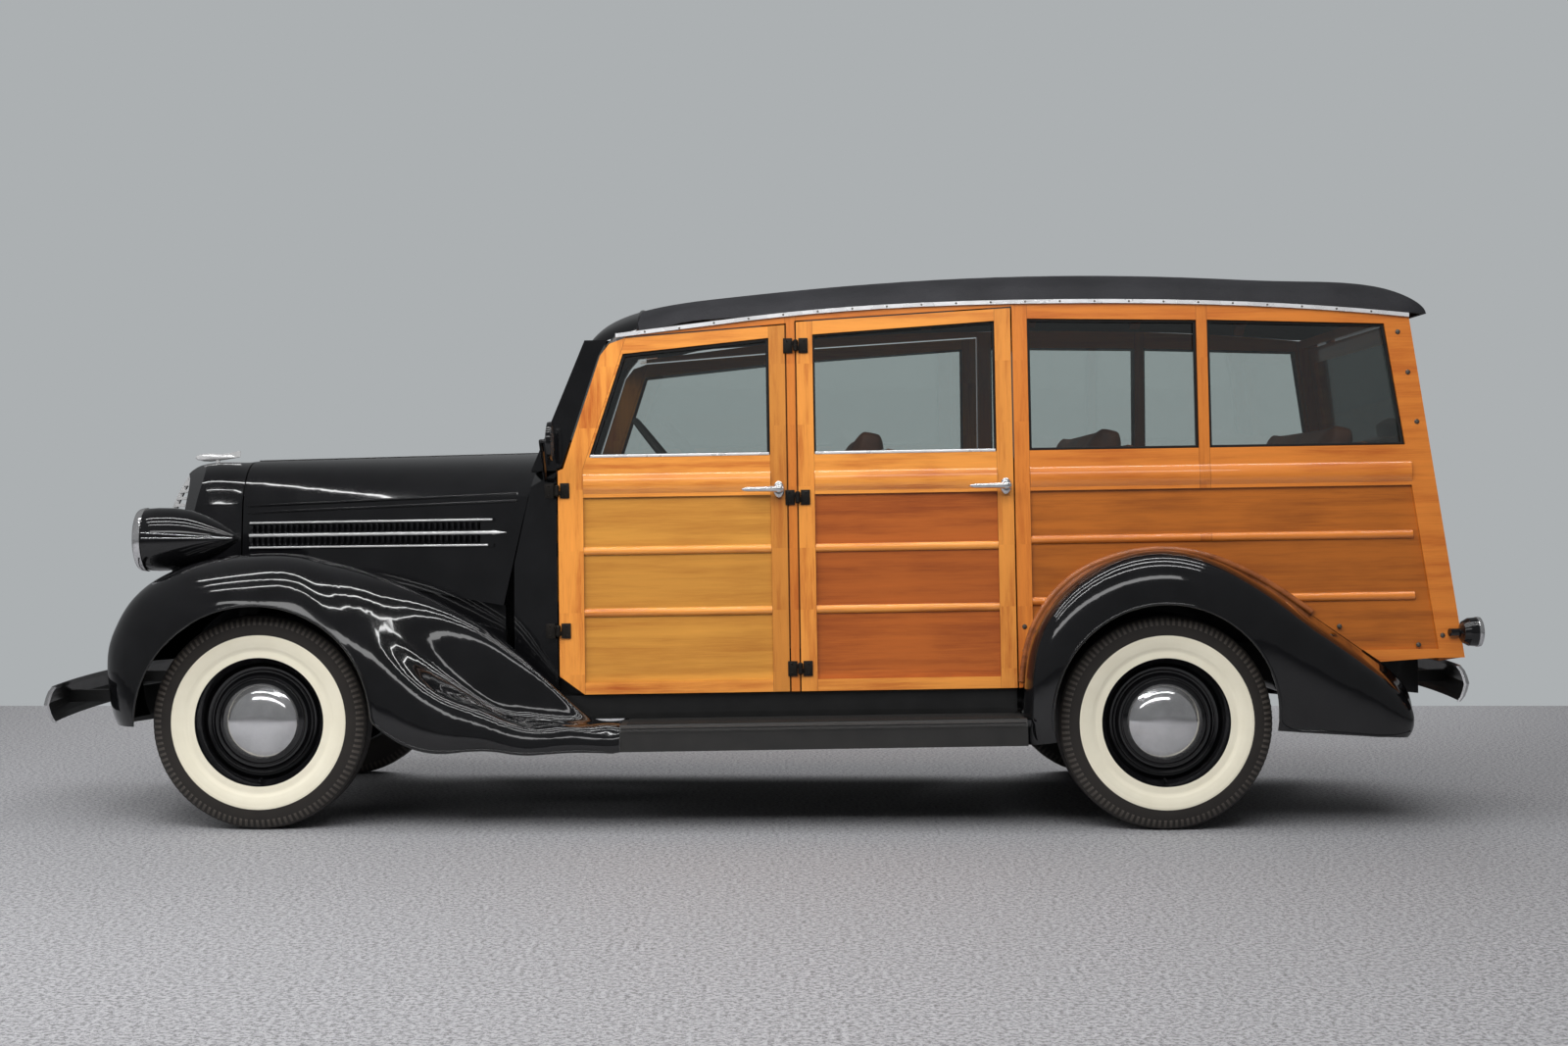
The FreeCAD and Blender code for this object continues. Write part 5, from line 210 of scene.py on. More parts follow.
class Paint:
    """One material's node tree, with short ways to add nodes to it."""

    def __init__(self, name: str) -> None:
        """Start a material whose surface is one Principled shader.

        Args:
            name: The material's name.
        """
        self.material = bpy.data.materials.new(name)
        self.material.use_nodes = True
        self.tree = self.material.node_tree
        self.shader = self.tree.nodes["Principled BSDF"]

    def _feed(self, target: bpy.types.NodeSocket, value: object) -> None:
        """Link or set one input.

        Args:
            target: The input.
            value: A socket to link, or the value to set.
        """
        if isinstance(value, Socket):
            self.tree.links.new(value.out, target)
        elif isinstance(value, bpy.types.NodeSocket):
            self.tree.links.new(value, target)
        elif isinstance(value, tuple) and target.type == "RGBA":
            target.default_value = (*value, 1.0)[:4]
        else:
            target.default_value = value

    def node(self, kind: str, settings: dict, inputs: dict, result: Union[int, str] = 0) -> "Socket":
        """Add any node.

        Args:
            kind: The node's type.
            settings: Its own settings; "stops" gives a ramp's (place, colour) pairs.
            inputs: Values or links by the input's name or number.
            result: The output that is returned.

        Returns:
            The chosen output.
        """
        made = self.tree.nodes.new(kind)
        for key, value in settings.items():
            if key == "stops":
                stops = made.color_ramp.elements
                while len(stops) < len(value):
                    stops.new(0.5)
                for stop, (place, colour) in zip(stops, value):
                    stop.position = place
                    stop.color = (*colour, 1.0)
            else:
                setattr(made, key, value)
        for key, value in inputs.items():
            self._feed(made.inputs[key], value)
        return Socket(self, made.outputs[result])

    def mix(self, share: Union[Socket, Number], first: object, second: object) -> Socket:
        """Colour between two others."""
        return self.node("ShaderNodeMix", {"data_type": "RGBA"}, {0: share, 6: first, 7: second}, 2)

    def choose(self, share: Union[Socket, Number], first: object, second: object) -> Socket:
        """Vector between two others."""
        return self.node("ShaderNodeMix", {"data_type": "VECTOR"}, {0: share, 4: first, 5: second}, 1)

    def place(self, turn: tuple[float, float, float] = (0.0, 0.0, 0.0)) -> Socket:
        """The point on the piece, turned about the origin."""
        spot = self.node("ShaderNodeTexCoord", {}, {}, "Object")
        return self.node("ShaderNodeMapping", {}, {"Vector": spot, "Rotation": turn})

    def stretched(self, spot: Socket, scale: tuple[float, float, float]) -> Socket:
        """A point with each axis scaled."""
        return self.node("ShaderNodeVectorMath", {"operation": "MULTIPLY"}, {0: spot, 1: scale})

    def axes(self, spot: Socket) -> tuple[Socket, Socket, Socket]:
        """The three numbers of a point.

        Args:
            spot: The point.

        Returns:
            Its x, y and z.
        """
        split = self.node("ShaderNodeSeparateXYZ", {}, {0: spot})
        outs = split.out.node.outputs
        return Socket(self, outs[0]), Socket(self, outs[1]), Socket(self, outs[2])

    def noise(self, spot: Socket, scale: float, detail: float = 3.0, rough: float = 0.5) -> Socket:
        """Soft noise from 0 to 1."""
        inputs = {"Vector": spot, "Scale": scale, "Detail": detail, "Roughness": rough}
        return self.node("ShaderNodeTexNoise", {}, inputs, "Fac")

    def ramp(self, value: Socket, stops: Sequence[tuple[float, Colour]]) -> Socket:
        """Colour along a ramp."""
        return self.node("ShaderNodeValToRGB", {"stops": stops}, {0: value})

    def bump(self, height: Socket, depth: float, strength: float = 1.0) -> None:
        """Raise the surface by a height from 0 to 1 that stands for a depth.

        Args:
            height: The height.
            depth: What a height of 1 stands for, in metres.
            strength: Share of the effect that is used.
        """
        raised = self.node("ShaderNodeBump", {}, {"Height": height, "Distance": depth, "Strength": strength},
                           "Normal")
        self.set(Normal=raised)

    def set(self, **inputs: object) -> "Paint":
        """Feed the Principled shader's inputs, named with _ for a space.

        Args:
            **inputs: Sockets or values by the input's name.

        Returns:
            The same paint.
        """
        for key, value in inputs.items():
            self._feed(self.shader.inputs[key.replace("_", " ")], value)
        return self


@dataclass(frozen=True)
class GlossPaint:
    """Enamel with a clear, slightly wavy gloss and a trace of dust."""

    name: str
    colour: Colour
    rough: float = 0.09
    coat: float = 1.0
    coat_rough: float = 0.045
    specular: float = 0.2
    wave: float = 0.00003

    def build(self) -> bpy.types.Material:
        """Make the material.

        Returns:
            The material.
        """
        paint = Paint(self.name)
        spot = paint.place()
        dust = paint.noise(spot, 9.0, 4.0)
        dusty = tuple(c * 1.4 + 0.0008 for c in self.colour)
        shade = paint.ramp(dust, ((0.35, self.colour), (0.75, dusty)))
        paint.set(Base_Color=shade, Roughness=dust * 0.05 + self.rough, Coat_Weight=self.coat)
        paint.shader.inputs["Specular IOR Level"].default_value = self.specular
        paint.shader.inputs["Coat Roughness"].default_value = self.coat_rough
        paint.bump(paint.noise(spot, 60.0, 2.0), self.wave, 0.35)
        return paint.material


@dataclass(frozen=True)
class BrightMetal:
    """Plated or polished metal with a little haze.

    With an iron_box, the plating is left off inside that box round the car's middle and on faces that look
    inwards, and black iron shows there; past plated_y all is plated.
    """

    name: str
    colour: Colour = (0.78, 0.78, 0.79)
    rough: float = 0.07
    haze: float = 0.10
    polish: float = 0.88
    brushed: Optional[tuple[float, float, float]] = None
    iron_box: Optional[tuple[float, float]] = None
    iron: Colour = (0.006, 0.006, 0.006)
    iron_rough: float = 0.25
    plated_y: float = 0.768

    def _plating(self, paint: Paint, spot: Socket) -> Socket:
        """1 where the plating is and 0 on the iron.

        Args:
            paint: The material that is being made.
            spot: The point on the piece.

        Returns:
            The mask.
        """
        far_x, half_y = self.iron_box
        x, y, _ = paint.axes(spot)
        facing, _, _ = paint.axes(paint.node("ShaderNodeNewGeometry", {}, {}, "Normal"))
        shown = 1.0 - (1.0 - (facing * x > 0.25)) * (abs(y) < self.plated_y)
        return (1.0 - (abs(x) < far_x) * (abs(y) < half_y)) * shown

    def build(self) -> bpy.types.Material:
        """Make the material; brushed gives the stretch of its fine lines.

        Returns:
            The material.
        """
        paint = Paint(self.name)
        spot = paint.place()
        cloud = paint.noise(spot, 14.0, 4.0)
        dull = tuple(c * 0.82 for c in self.colour)
        plated = paint.ramp(cloud, ((0.3, dull), (0.6, self.colour)))
        rough = cloud * self.haze + self.rough
        if self.iron_box:
            plate = self._plating(paint, spot)
            paint.set(Base_Color=paint.mix(plate, self.iron, plated), Metallic=plate * self.polish,
                      Roughness=rough + (1.0 - plate) * self.iron_rough)
        else:
            paint.set(Base_Color=plated, Metallic=self.polish, Roughness=rough)
        if self.brushed:
            lines = paint.noise(paint.stretched(spot, self.brushed), 30.0, 3.0)
            paint.bump(lines, 0.0003, 0.3)
        return paint.material


@dataclass(frozen=True)
class RoughMetal:
    """Cast or rolled metal with a grainy surface and traces of road dust spread at random."""

    name: str
    colour: Colour
    dust: Colour = (0.09, 0.08, 0.07)
    rough: float = 0.55
    metallic: float = 0.4

    def build(self) -> bpy.types.Material:
        """Make the material.

        Returns:
            The material.
        """
        paint = Paint(self.name)
        spot = paint.place()
        cloud = paint.noise(spot, 7.0, 6.0, 0.6)
        share = (cloud - 0.48) * 2.2
        paint.set(Base_Color=paint.mix(share.held(), self.colour, self.dust), Metallic=self.metallic,
                  Roughness=cloud * 0.3 + self.rough)
        paint.bump(paint.noise(spot, 160.0, 4.0), 0.0008, 0.5)
        return paint.material


class Grain(Enum):
    """Which way a gate or side's long rails run."""

    ALONG = "along"
    ACROSS = "across"


@dataclass(frozen=True)
class Varnished:
    """Varnished framing with inset panels; boards are told apart by their place on the body side.

    The frame's members lie near the outer face and the panels deeper, so depth below the leaning outer face
    tells one from the other. Uprights carry their grain upwards and all else along the body or across it.
    """

    name: str
    frame_light: Colour
    frame_dark: Colour
    panel_light: Colour
    panel_dark: Colour
    uprights: tuple[tuple[float, float, float], ...]
    panel_depth: tuple[float, float] = (0.006, 0.024)
    slant: Optional[tuple[float, float]] = None
    run: Grain = Grain.ALONG
    gloss: float = 0.28
    board_offset: float = 0.096
    board_height: float = 0.204
    seed: float = 3.0

    def _boards(self, x: Socket, y: Socket, z: Socket) -> tuple[Socket, Socket, Socket]:
        """Masks of the uprights and of the joints at their edges, and the uprights' own darkness.

        Args:
            x: Place along the level body.
            y: Place across it.
            z: Height of the level body.

        Returns:
            The three masks.
        """
        place = x if self.run is Grain.ALONG else abs(y)
        if self.slant:
            start, slope = self.slant
            place = place + (z - start).most(0.0) * slope * (place > 0.25)
        upright: Optional[Socket] = None
        seam: Optional[Socket] = None
        dark: Optional[Socket] = None
        for low, high, darkness in self.uprights:
            here = place.between(low, high)
            line = place.near(low, 0.0022).most(place.near(high, 0.0022))
            upright = here if upright is None else upright.most(here)
            seam = line if seam is None else seam.most(line)
            dark = here * darkness if dark is None else dark + here * darkness
        return upright, seam, dark

    def build(self) -> bpy.types.Material:
        """Make the material.

        Returns:
            The material.
        """
        paint = Paint(self.name)
        spot = paint.place((0.0, -RAKE, 0.0))
        x, y, z = paint.axes(spot)
        depth = SIDE_HALF_WIDTH - (z - SIDE_BASE_Z) * math.tan(LEAN) - abs(y)
        panel = depth.between(*self.panel_depth) * float(self.run is Grain.ALONG)
        upright, seam, dark = self._boards(x, y, z)
        upright = upright * (1.0 - panel)
        flat = (1.6, 9.0, 30.0) if self.run is Grain.ALONG else (9.0, 1.6, 30.0)
        tall = (30.0, 30.0, 1.6)
        vector = paint.choose(upright, paint.stretched(spot, flat), paint.stretched(spot, tall))
        row = ((z - self.board_offset) / self.board_height).floored()
        tint = paint.node("ShaderNodeTexWhiteNoise", {"noise_dimensions": "1D"}, {"W": row + self.seed})
        shifted = paint.node("ShaderNodeVectorMath", {"operation": "ADD"},
                             {0: vector, 1: paint.stretched(tint, (4.0, 4.0, 4.0))})
        broad = paint.noise(shifted, 1.1, 5.0, 0.55)
        swirl = paint.noise(spot, 3.0, 2.0)
        fine = paint.noise(shifted, 7.0, 6.0, 0.65)
        figure = (broad * 0.62 + fine * 0.30 + swirl * 0.34 - 0.13).held()
        frame_wood = paint.ramp(figure, ((0.30, self.frame_dark), (0.52, self.frame_light),
                                         (0.78, tuple(min(c * 1.22, 1.0) for c in self.frame_light))))
        panel_wood = paint.ramp(figure, ((0.28, self.panel_dark), (0.55, self.panel_light),
                                         (0.80, tuple(min(c * 1.2, 1.0) for c in self.panel_light))))
        wood = paint.mix(panel, frame_wood, panel_wood)
        shaded = paint.mix(seam * (1.0 - panel) * 0.75, wood, tuple(c * 0.18 for c in self.frame_dark))
        darkness = panel * tint * 0.34 + dark * (1.0 - panel)
        toned = paint.mix(darkness.held(), shaded, tuple(c * 0.6 for c in self.panel_dark))
        paint.set(Base_Color=toned, Roughness=fine * 0.12 + self.gloss, Coat_Weight=0.9)
        paint.shader.inputs["Coat Roughness"].default_value = 0.05
        paint.bump(fine - seam * 0.6, 0.0005, 0.35)
        return paint.material


@dataclass(frozen=True)
class Canvas:
    """Grained rubberised roof cloth behind a painted steel header."""

    name: str
    colour: Colour
    header_x: float = 0.405
    header: Colour = (0.004, 0.004, 0.0045)
    scale: float = 260.0

    def build(self) -> bpy.types.Material:
        """Make the material.

        Returns:
            The material.
        """
        paint = Paint(self.name)
        spot = paint.place((0.0, -RAKE, 0.0))
        cells = paint.node("ShaderNodeTexVoronoi", {"feature": "F1"}, {"Vector": spot, "Scale": self.scale},
                           "Distance")
        soft = paint.noise(spot, 5.0, 5.0)
        worn = tuple(c * 2.1 + 0.008 for c in self.colour)
        x, _, _ = paint.axes(paint.place())
        steel = x > self.header_x
        cloth = paint.ramp(soft * 0.7 + cells * 0.35, ((0.3, self.colour), (0.85, worn)))
        paint.set(Base_Color=paint.mix(steel, cloth, self.header),
                  Roughness=(soft * 0.2 + 0.52) * (1.0 - steel) + steel * 0.08, Coat_Weight=steel * 1.0)
        paint.shader.inputs["Specular IOR Level"].default_value = 0.3
        paint.shader.inputs["Coat Roughness"].default_value = 0.03
        paint.bump((1.0 - cells) * (1.0 - steel), 0.0012, 0.8)
        return paint.material


@dataclass(frozen=True)
class Rubber:
    """Moulded rubber, a little dusty."""

    name: str
    colour: Colour
    dust: Colour = (0.10, 0.085, 0.07)
    dusty: float = 0.35
    rough: float = 0.55

    def build(self) -> bpy.types.Material:
        """Make the material.

        Returns:
            The material.
        """
        paint = Paint(self.name)
        spot = paint.place()
        cloud = paint.noise(spot, 16.0, 5.0)
        paint.set(Base_Color=paint.mix((cloud * self.dusty).held(), self.colour, self.dust),
                  Roughness=cloud * 0.2 + self.rough)
        paint.bump(paint.noise(spot, 220.0, 3.0), 0.0005, 0.4)
        return paint.material


@dataclass(frozen=True)
class Leather:
    """Old hide with a fine pebbled grain and darker creases."""

    name: str
    colour: Colour
    crease: Colour

    def build(self) -> bpy.types.Material:
        """Make the material.

        Returns:
            The material.
        """
        paint = Paint(self.name)
        spot = paint.place()
        pebbles = paint.node("ShaderNodeTexVoronoi", {"feature": "DISTANCE_TO_EDGE"},
                             {"Vector": spot, "Scale": 300.0}, "Distance")
        cloud = paint.noise(spot, 8.0, 5.0)
        paint.set(Base_Color=paint.ramp(cloud, ((0.3, self.crease), (0.65, self.colour))),
                  Roughness=cloud * 0.25 + 0.34)
        paint.bump(pebbles.least(0.2) * 5.0, 0.0004, 0.6)
        return paint.material


@dataclass(frozen=True)
class ClearGlass:
    """Window glass: see-through, and mirror-like towards grazing views."""

    name: str
    tint: Colour
    least: float = 0.07

    def build(self) -> bpy.types.Material:
        """Make the material.

        Returns:
            The material.
        """
        paint = Paint(self.name)
        spot = paint.place()
        smear = paint.noise(spot, 6.0, 3.0)
        clear = paint.node("ShaderNodeBsdfTransparent", {}, {"Color": self.tint})
        edge = paint.node("ShaderNodeFresnel", {}, {"IOR": 1.5}, "Fac")
        paint.set(Base_Color=(0.9, 0.92, 0.92), Metallic=1.0, Roughness=smear * 0.03 + 0.01)
        blend = paint.node("ShaderNodeMixShader", {},
                           {0: (edge * 0.9 + self.least).held(), 1: clear, 2: paint.shader.outputs[0]})
        output = paint.tree.nodes["Material Output"]
        paint.tree.links.new(blend.out, output.inputs["Surface"])
        return paint.material


@dataclass(frozen=True)
class RedLens:
    """Moulded lens with a fine ring pattern."""

    name: str
    colour: Colour

    def build(self) -> bpy.types.Material:
        """Make the material.

        Returns:
            The material.
        """
        paint = Paint(self.name)
        spot = paint.place()
        dots = paint.node("ShaderNodeTexVoronoi", {"feature": "F1"}, {"Vector": spot, "Scale": 130.0},
                          "Distance")
        paint.set(Base_Color=paint.mix(dots.held(), self.colour, tuple(c * 0.4 for c in self.colour)),
                  Roughness=dots * 0.1 + 0.12, Coat_Weight=1.0)
        paint.bump(dots, 0.001, 0.6)
        return paint.material


class Bench:
    """Ways to model a piece with the mesh operators, each used with only the wanted parts selected."""

    @staticmethod
    def clear() -> None:
        """Deselect every object and leave edit mode."""
        if bpy.context.mode != "OBJECT":
            bpy.ops.object.mode_set(mode="OBJECT")
        bpy.ops.object.select_all(action="DESELECT")

    @staticmethod
    def focus(*pieces: bpy.types.Object) -> None:
        """Select pieces, with the first as the active one.

        Args:
            *pieces: The pieces.
        """
        Bench.clear()
        for piece in pieces:
            piece.select_set(True)
        bpy.context.view_layer.objects.active = pieces[0]

    @staticmethod
    def named(name: str) -> bpy.types.Object:
        """Name the active object and its mesh.

        Args:
            name: The new name.

        Returns:
            The active object.
        """
        piece = bpy.context.active_object
        piece.name = name
        piece.data.name = name
        return piece

    @staticmethod
    def edit(piece: bpy.types.Object, mode: str = "FACE") -> None:
        """Open a piece for editing with nothing selected.

        Args:
            piece: The piece.
            mode: What is selected in it: VERT, EDGE or FACE.
        """
        Bench.focus(piece)
        bpy.ops.object.mode_set(mode="EDIT")
        bpy.ops.mesh.select_mode(type=mode)
        bpy.ops.mesh.select_all(action="DESELECT")

    @staticmethod
    def done() -> None:
        """Close edit mode."""
        bpy.ops.object.mode_set(mode="OBJECT")

    @staticmethod
    def settle(piece: bpy.types.Object) -> bpy.types.Object:
        """Put a piece's place and turn into its mesh and leave its object at the origin.

        Args:
            piece: The piece.

        Returns:
            The same piece.
        """
        Bench.focus(piece)
        bpy.ops.object.transform_apply(location=True, rotation=True, scale=True)
        return piece

    @staticmethod
    def place(piece: bpy.types.Object, matrix: Matrix) -> bpy.types.Object:
        """Move a piece's mesh by a matrix."""
        piece.matrix_world = matrix
        return Bench.settle(piece)

    @staticmethod
    def modify(piece: bpy.types.Object, kind: str, **settings: object) -> None:
        """Add one modifier and apply it.

        Args:
            piece: The piece.
            kind: The modifier's type.
            **settings: Its settings by name.
        """
        Bench.focus(piece)
        modifier = piece.modifiers.new(kind.lower(), kind)
        for key, value in settings.items():
            setattr(modifier, key, value)
        bpy.ops.object.modifier_apply(modifier=modifier.name)

    @staticmethod
    def smooth(piece: bpy.types.Object, degrees: float = 35.0) -> bpy.types.Object:
        """Shade a piece smooth but for its sharper edges.

        Args:
            piece: The piece.
            degrees: Angle past which an edge stays sharp.

        Returns:
            The same piece.
        """
        Bench.focus(piece)
        bpy.ops.object.shade_smooth_by_angle(angle=math.radians(degrees))
        return piece

    @staticmethod
    def outward(piece: bpy.types.Object, merge: float = 1e-5) -> bpy.types.Object:
        """Merge doubles and point all faces outwards.

        Args:
            piece: The piece.
            merge: Distance under which points are merged.

        Returns:
            The same piece.
        """
        Bench.edit(piece, "VERT")
        bpy.ops.mesh.select_all(action="SELECT")
        bpy.ops.mesh.remove_doubles(threshold=merge)
        bpy.ops.mesh.normals_make_consistent(inside=False)
        Bench.done()
        return piece

    @staticmethod
    def block(name: str, size: Sequence[float], centre: Sequence[float] = (0.0, 0.0, 0.0),
              round_by: float = 0.0, steps: int = 2) -> bpy.types.Object:
        """Block with rounded edges.

        Args:
            name: The piece's name.
            size: Its full size along each axis.
            centre: Its middle.
            round_by: The edges' rounding.
            steps: Faces across each rounding.

        Returns:
            The piece.
        """
        Bench.clear()
        bpy.ops.mesh.primitive_cube_add(size=1.0, location=centre)
        piece = Bench.named(name)
        piece.scale = size
        Bench.settle(piece)
        if round_by:
            Bench.modify(piece, "BEVEL", width=round_by, segments=steps, limit_method="ANGLE")
        return piece

    @staticmethod
    def trace(name: str, points: Sequence[Sequence[float]], closed: bool = False) -> bpy.types.Object:
        """Chain of edges drawn from one vertex by extruding it from point to point.

        Args:
            name: The piece's name.
            points: The points in order.
            closed: Whether the chain becomes a filled face.

        Returns:
            The piece.
        """
        Bench.clear()
        bpy.ops.mesh.primitive_plane_add(size=0.001, location=(0.0, 0.0, 0.0))
        piece = Bench.named(name)
        bpy.ops.object.mode_set(mode="EDIT")
        bpy.ops.mesh.select_mode(type="VERT")
        bpy.ops.mesh.select_all(action="SELECT")
        bpy.ops.mesh.merge(type="CENTER")
        bpy.ops.transform.translate(value=Vector(points[0]))
        for before, after in zip(points, points[1:]):
            step = Vector(after) - Vector(before)
            bpy.ops.mesh.extrude_region_move(TRANSFORM_OT_translate={"value": step})
        if closed:
            bpy.ops.mesh.select_all(action="SELECT")
            bpy.ops.mesh.edge_face_add()
        Bench.done()
        return piece

    @staticmethod
    def lathe(name: str, profile: Sequence[tuple[float, float]], steps: int = 64,
              closed: bool = True) -> bpy.types.Object:
        """Shape turned round the Y axis from (radius, y) points.

        Args:
            name: The piece's name.
            profile: Points from (radius, y); the shape is a ring where none lies on the axis.
            steps: Faces round the shape.
            closed: Whether the last point joins the first.

        Returns:
            The piece, round the Y axis through the origin.
        """
        points = [(r, y, 0.0) for r, y in profile]
        piece = Bench.trace(name, points + [points[0]] if closed else points)
        Bench.edit(piece, "VERT")
        bpy.ops.mesh.select_all(action="SELECT")
        bpy.ops.mesh.spin(steps=steps, angle=math.tau, center=(0.0, 0.0, 0.0), axis=(0.0, 1.0, 0.0))
        Bench.done()
        return Bench.outward(piece)

    @staticmethod
    def tube(name: str, points: Sequence[Sequence[float]], radius: float, sides: int = 3,
             curved: bool = True) -> bpy.types.Object:
        """Round bar along points with closed ends.

        Args:
            name: The piece's name.
            points: The line that it follows.
            radius: Half its thickness.
            sides: Roundness of its section.
            curved: Whether the line is smooth between its points.

        Returns:
            The piece as a mesh.
        """
        Bench.clear()
        bpy.ops.curve.primitive_nurbs_path_add()
        piece = bpy.context.active_object
        piece.name = name
        curve = piece.data
        curve.splines.clear()
        line = curve.splines.new("NURBS" if curved else "POLY")
        line.points.add(len(points) - 1)
        for knot, point in zip(line.points, points):
            knot.co = (*point, 1.0)
        if curved:
            line.order_u = 3
            line.use_endpoint_u = True
        curve.dimensions = "3D"
        curve.bevel_depth = radius
        curve.bevel_resolution = sides
        curve.use_fill_caps = True
        curve.resolution_u = 6
        Bench.focus(piece)
        bpy.ops.object.convert(target="MESH")
        return Bench.outward(Bench.settle(Bench.named(name)))

    @staticmethod
    def copies(piece: bpy.types.Object, matrices: Iterable[Matrix], name: str) -> bpy.types.Object:
        """One piece made of copies of another, which is used up.

        Args:
            piece: The model of what repeats.
            matrices: Where each copy goes.
            name: The joined piece's name.

        Returns:
            The joined piece.
        """
        made = []
        for matrix in matrices:
            Bench.focus(piece)
            bpy.ops.object.duplicate(linked=False)
            twin = bpy.context.active_object
            twin.matrix_world = matrix @ piece.matrix_world
            made.append(twin)
        Bench.focus(piece)
        bpy.ops.object.delete()
        Bench.focus(*made)
        if len(made) > 1:
            bpy.ops.object.join()
        return Bench.settle(Bench.named(name))

    @staticmethod
    def joined(name: str, *pieces: bpy.types.Object) -> bpy.types.Object:
        """Several pieces as one.

        Args:
            name: The joined piece's name.
            *pieces: The pieces, which are used up.

        Returns:
            The joined piece.
        """
        Bench.focus(*pieces)
        if len(pieces) > 1:
            bpy.ops.object.join()
        return Bench.named(name)

    @staticmethod
    def mirrored(piece: bpy.types.Object, name: str) -> bpy.types.Object:
        """A copy on the car's other side.

        Args:
            piece: The piece.
            name: The copy's name.

        Returns:
            The copy.
        """
        Bench.focus(piece)
        bpy.ops.object.duplicate(linked=False)
        twin = Bench.named(name)
        twin.scale = (1.0, -1.0, 1.0)
        Bench.settle(twin)
        return Bench.outward(twin)


class Wardrobe:
    """The finishes of the car, each made once."""

    def __init__(self) -> None:
        """Make every finish."""
        amber, amber_dark = rgb(226, 146, 62), rgb(176, 88, 28)
        honey, honey_dark = rgb(214, 150, 62), rgb(178, 112, 40)
        russet, russet_dark = rgb(186, 98, 36), rgb(128, 56, 18)
        front = ((-0.1105, -0.056, 0.42), (0.566, 0.6505, 0.0))
        rear = ((-0.2025, -0.1475, 0.05), (-0.8625, -0.808, 0.12))
        fixed = ((-0.1475, -0.1105, 0.1), (-0.917, -0.8625, 0.0), (-1.516, -1.480, 0.1))
        finishes = [
            GlossPaint("black_paint", (0.0035, 0.0035, 0.004)),
            GlossPaint("chassis_paint", (0.010, 0.010, 0.010), 0.42, 0.25),
            BrightMetal("chrome"),
            BrightMetal("trim_chrome", (0.82, 0.82, 0.82), polish=0.55),
            BrightMetal("bumper_chrome", iron_box=(2.325, 0.47)),
            BrightMetal("drip_metal", (0.84, 0.84, 0.85), 0.22, 0.12, 0.45, (2.0, 60.0, 60.0)),
            RoughMetal("cast_metal", (0.05, 0.05, 0.05)),
            RoughMetal("steel", (0.16, 0.14, 0.12), (0.10, 0.06, 0.04), 0.45, 0.8),
            RoughMetal("hinge_metal", (0.02, 0.018, 0.016), (0.05, 0.04, 0.03), 0.35, 0.7),
            Varnished("front_door_wood", amber, amber_dark, honey, honey_dark, front, slant=(1.187, 0.339)),
            Varnished("rear_door_wood", amber, amber_dark, russet, russet_dark, rear),
            Varnished("side_wood", rgb(208, 122, 46), amber_dark, rgb(192, 108, 34), rgb(134, 69, 18), fixed),
            Varnished("rear_wood", rgb(208, 122, 46), amber_dark, russet, russet_dark,
                      ((0.53, 0.70, 0.0),), run=Grain.ACROSS),
            Varnished("inner_wood", rgb(150, 84, 38), rgb(96, 48, 20), rgb(150, 84, 38), rgb(96, 48, 20),
                      ((0.0, 0.001, 0.0),), run=Grain.ACROSS, gloss=0.55),
            Canvas("canvas", (0.012, 0.012, 0.014)),
            Rubber("tyre_rubber", (0.014, 0.012, 0.011), dusty=0.18),
            Rubber("rib_rubber", (0.060, 0.052, 0.046), dusty=0.5),
            Rubber("whitewall_rubber", rgb(238, 232, 212), rgb(214, 205, 180), 0.5, 0.45),
            Rubber("ribbed_rubber", (0.014, 0.014, 0.014), (0.06, 0.055, 0.05), 0.3, 0.42),
            Rubber("seal_rubber", (0.006, 0.006, 0.006), (0.02, 0.02, 0.02), 0.2, 0.5),
            Leather("hide", rgb(108, 62, 38), rgb(62, 32, 20)),
            ClearGlass("window_glass", (0.93, 0.96, 0.95)),
            ClearGlass("lamp_glass", (0.9, 0.92, 0.92), 0.12),
            ClearGlass("lens_glass", (0.86, 0.88, 0.86), 0.30),
            RedLens("red_lens", (0.5, 0.008, 0.006)),
        ]
        self.made = {finish.name: finish.build() for finish in finishes}

    def dress(self, piece: bpy.types.Object, finish: str) -> bpy.types.Object:
        """Give a piece one finish all over.

        Args:
            piece: The piece.
            finish: The finish's name.

        Returns:
            The same piece.
        """
        piece.data.materials.clear()
        piece.data.materials.append(self.made[finish])
        return piece

    def finished(self, piece: bpy.types.Object, finish: str, body: str,
                 stands_for: Sequence[str] = ()) -> bpy.types.Object:
        """Dress a new piece and tie it to the frame.

        Args:
            piece: The piece.
            finish: Its finish.
            body: The body that it rides on.
            stands_for: The CAD nodes that it replaces.

        Returns:
            The piece.
        """
        self.dress(piece, finish)
        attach(piece, body)
        if stands_for:
            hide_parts(*stands_for)
        log.info("piece %s on %s: %d faces", piece.name, body, len(piece.data.polygons))
        return piece


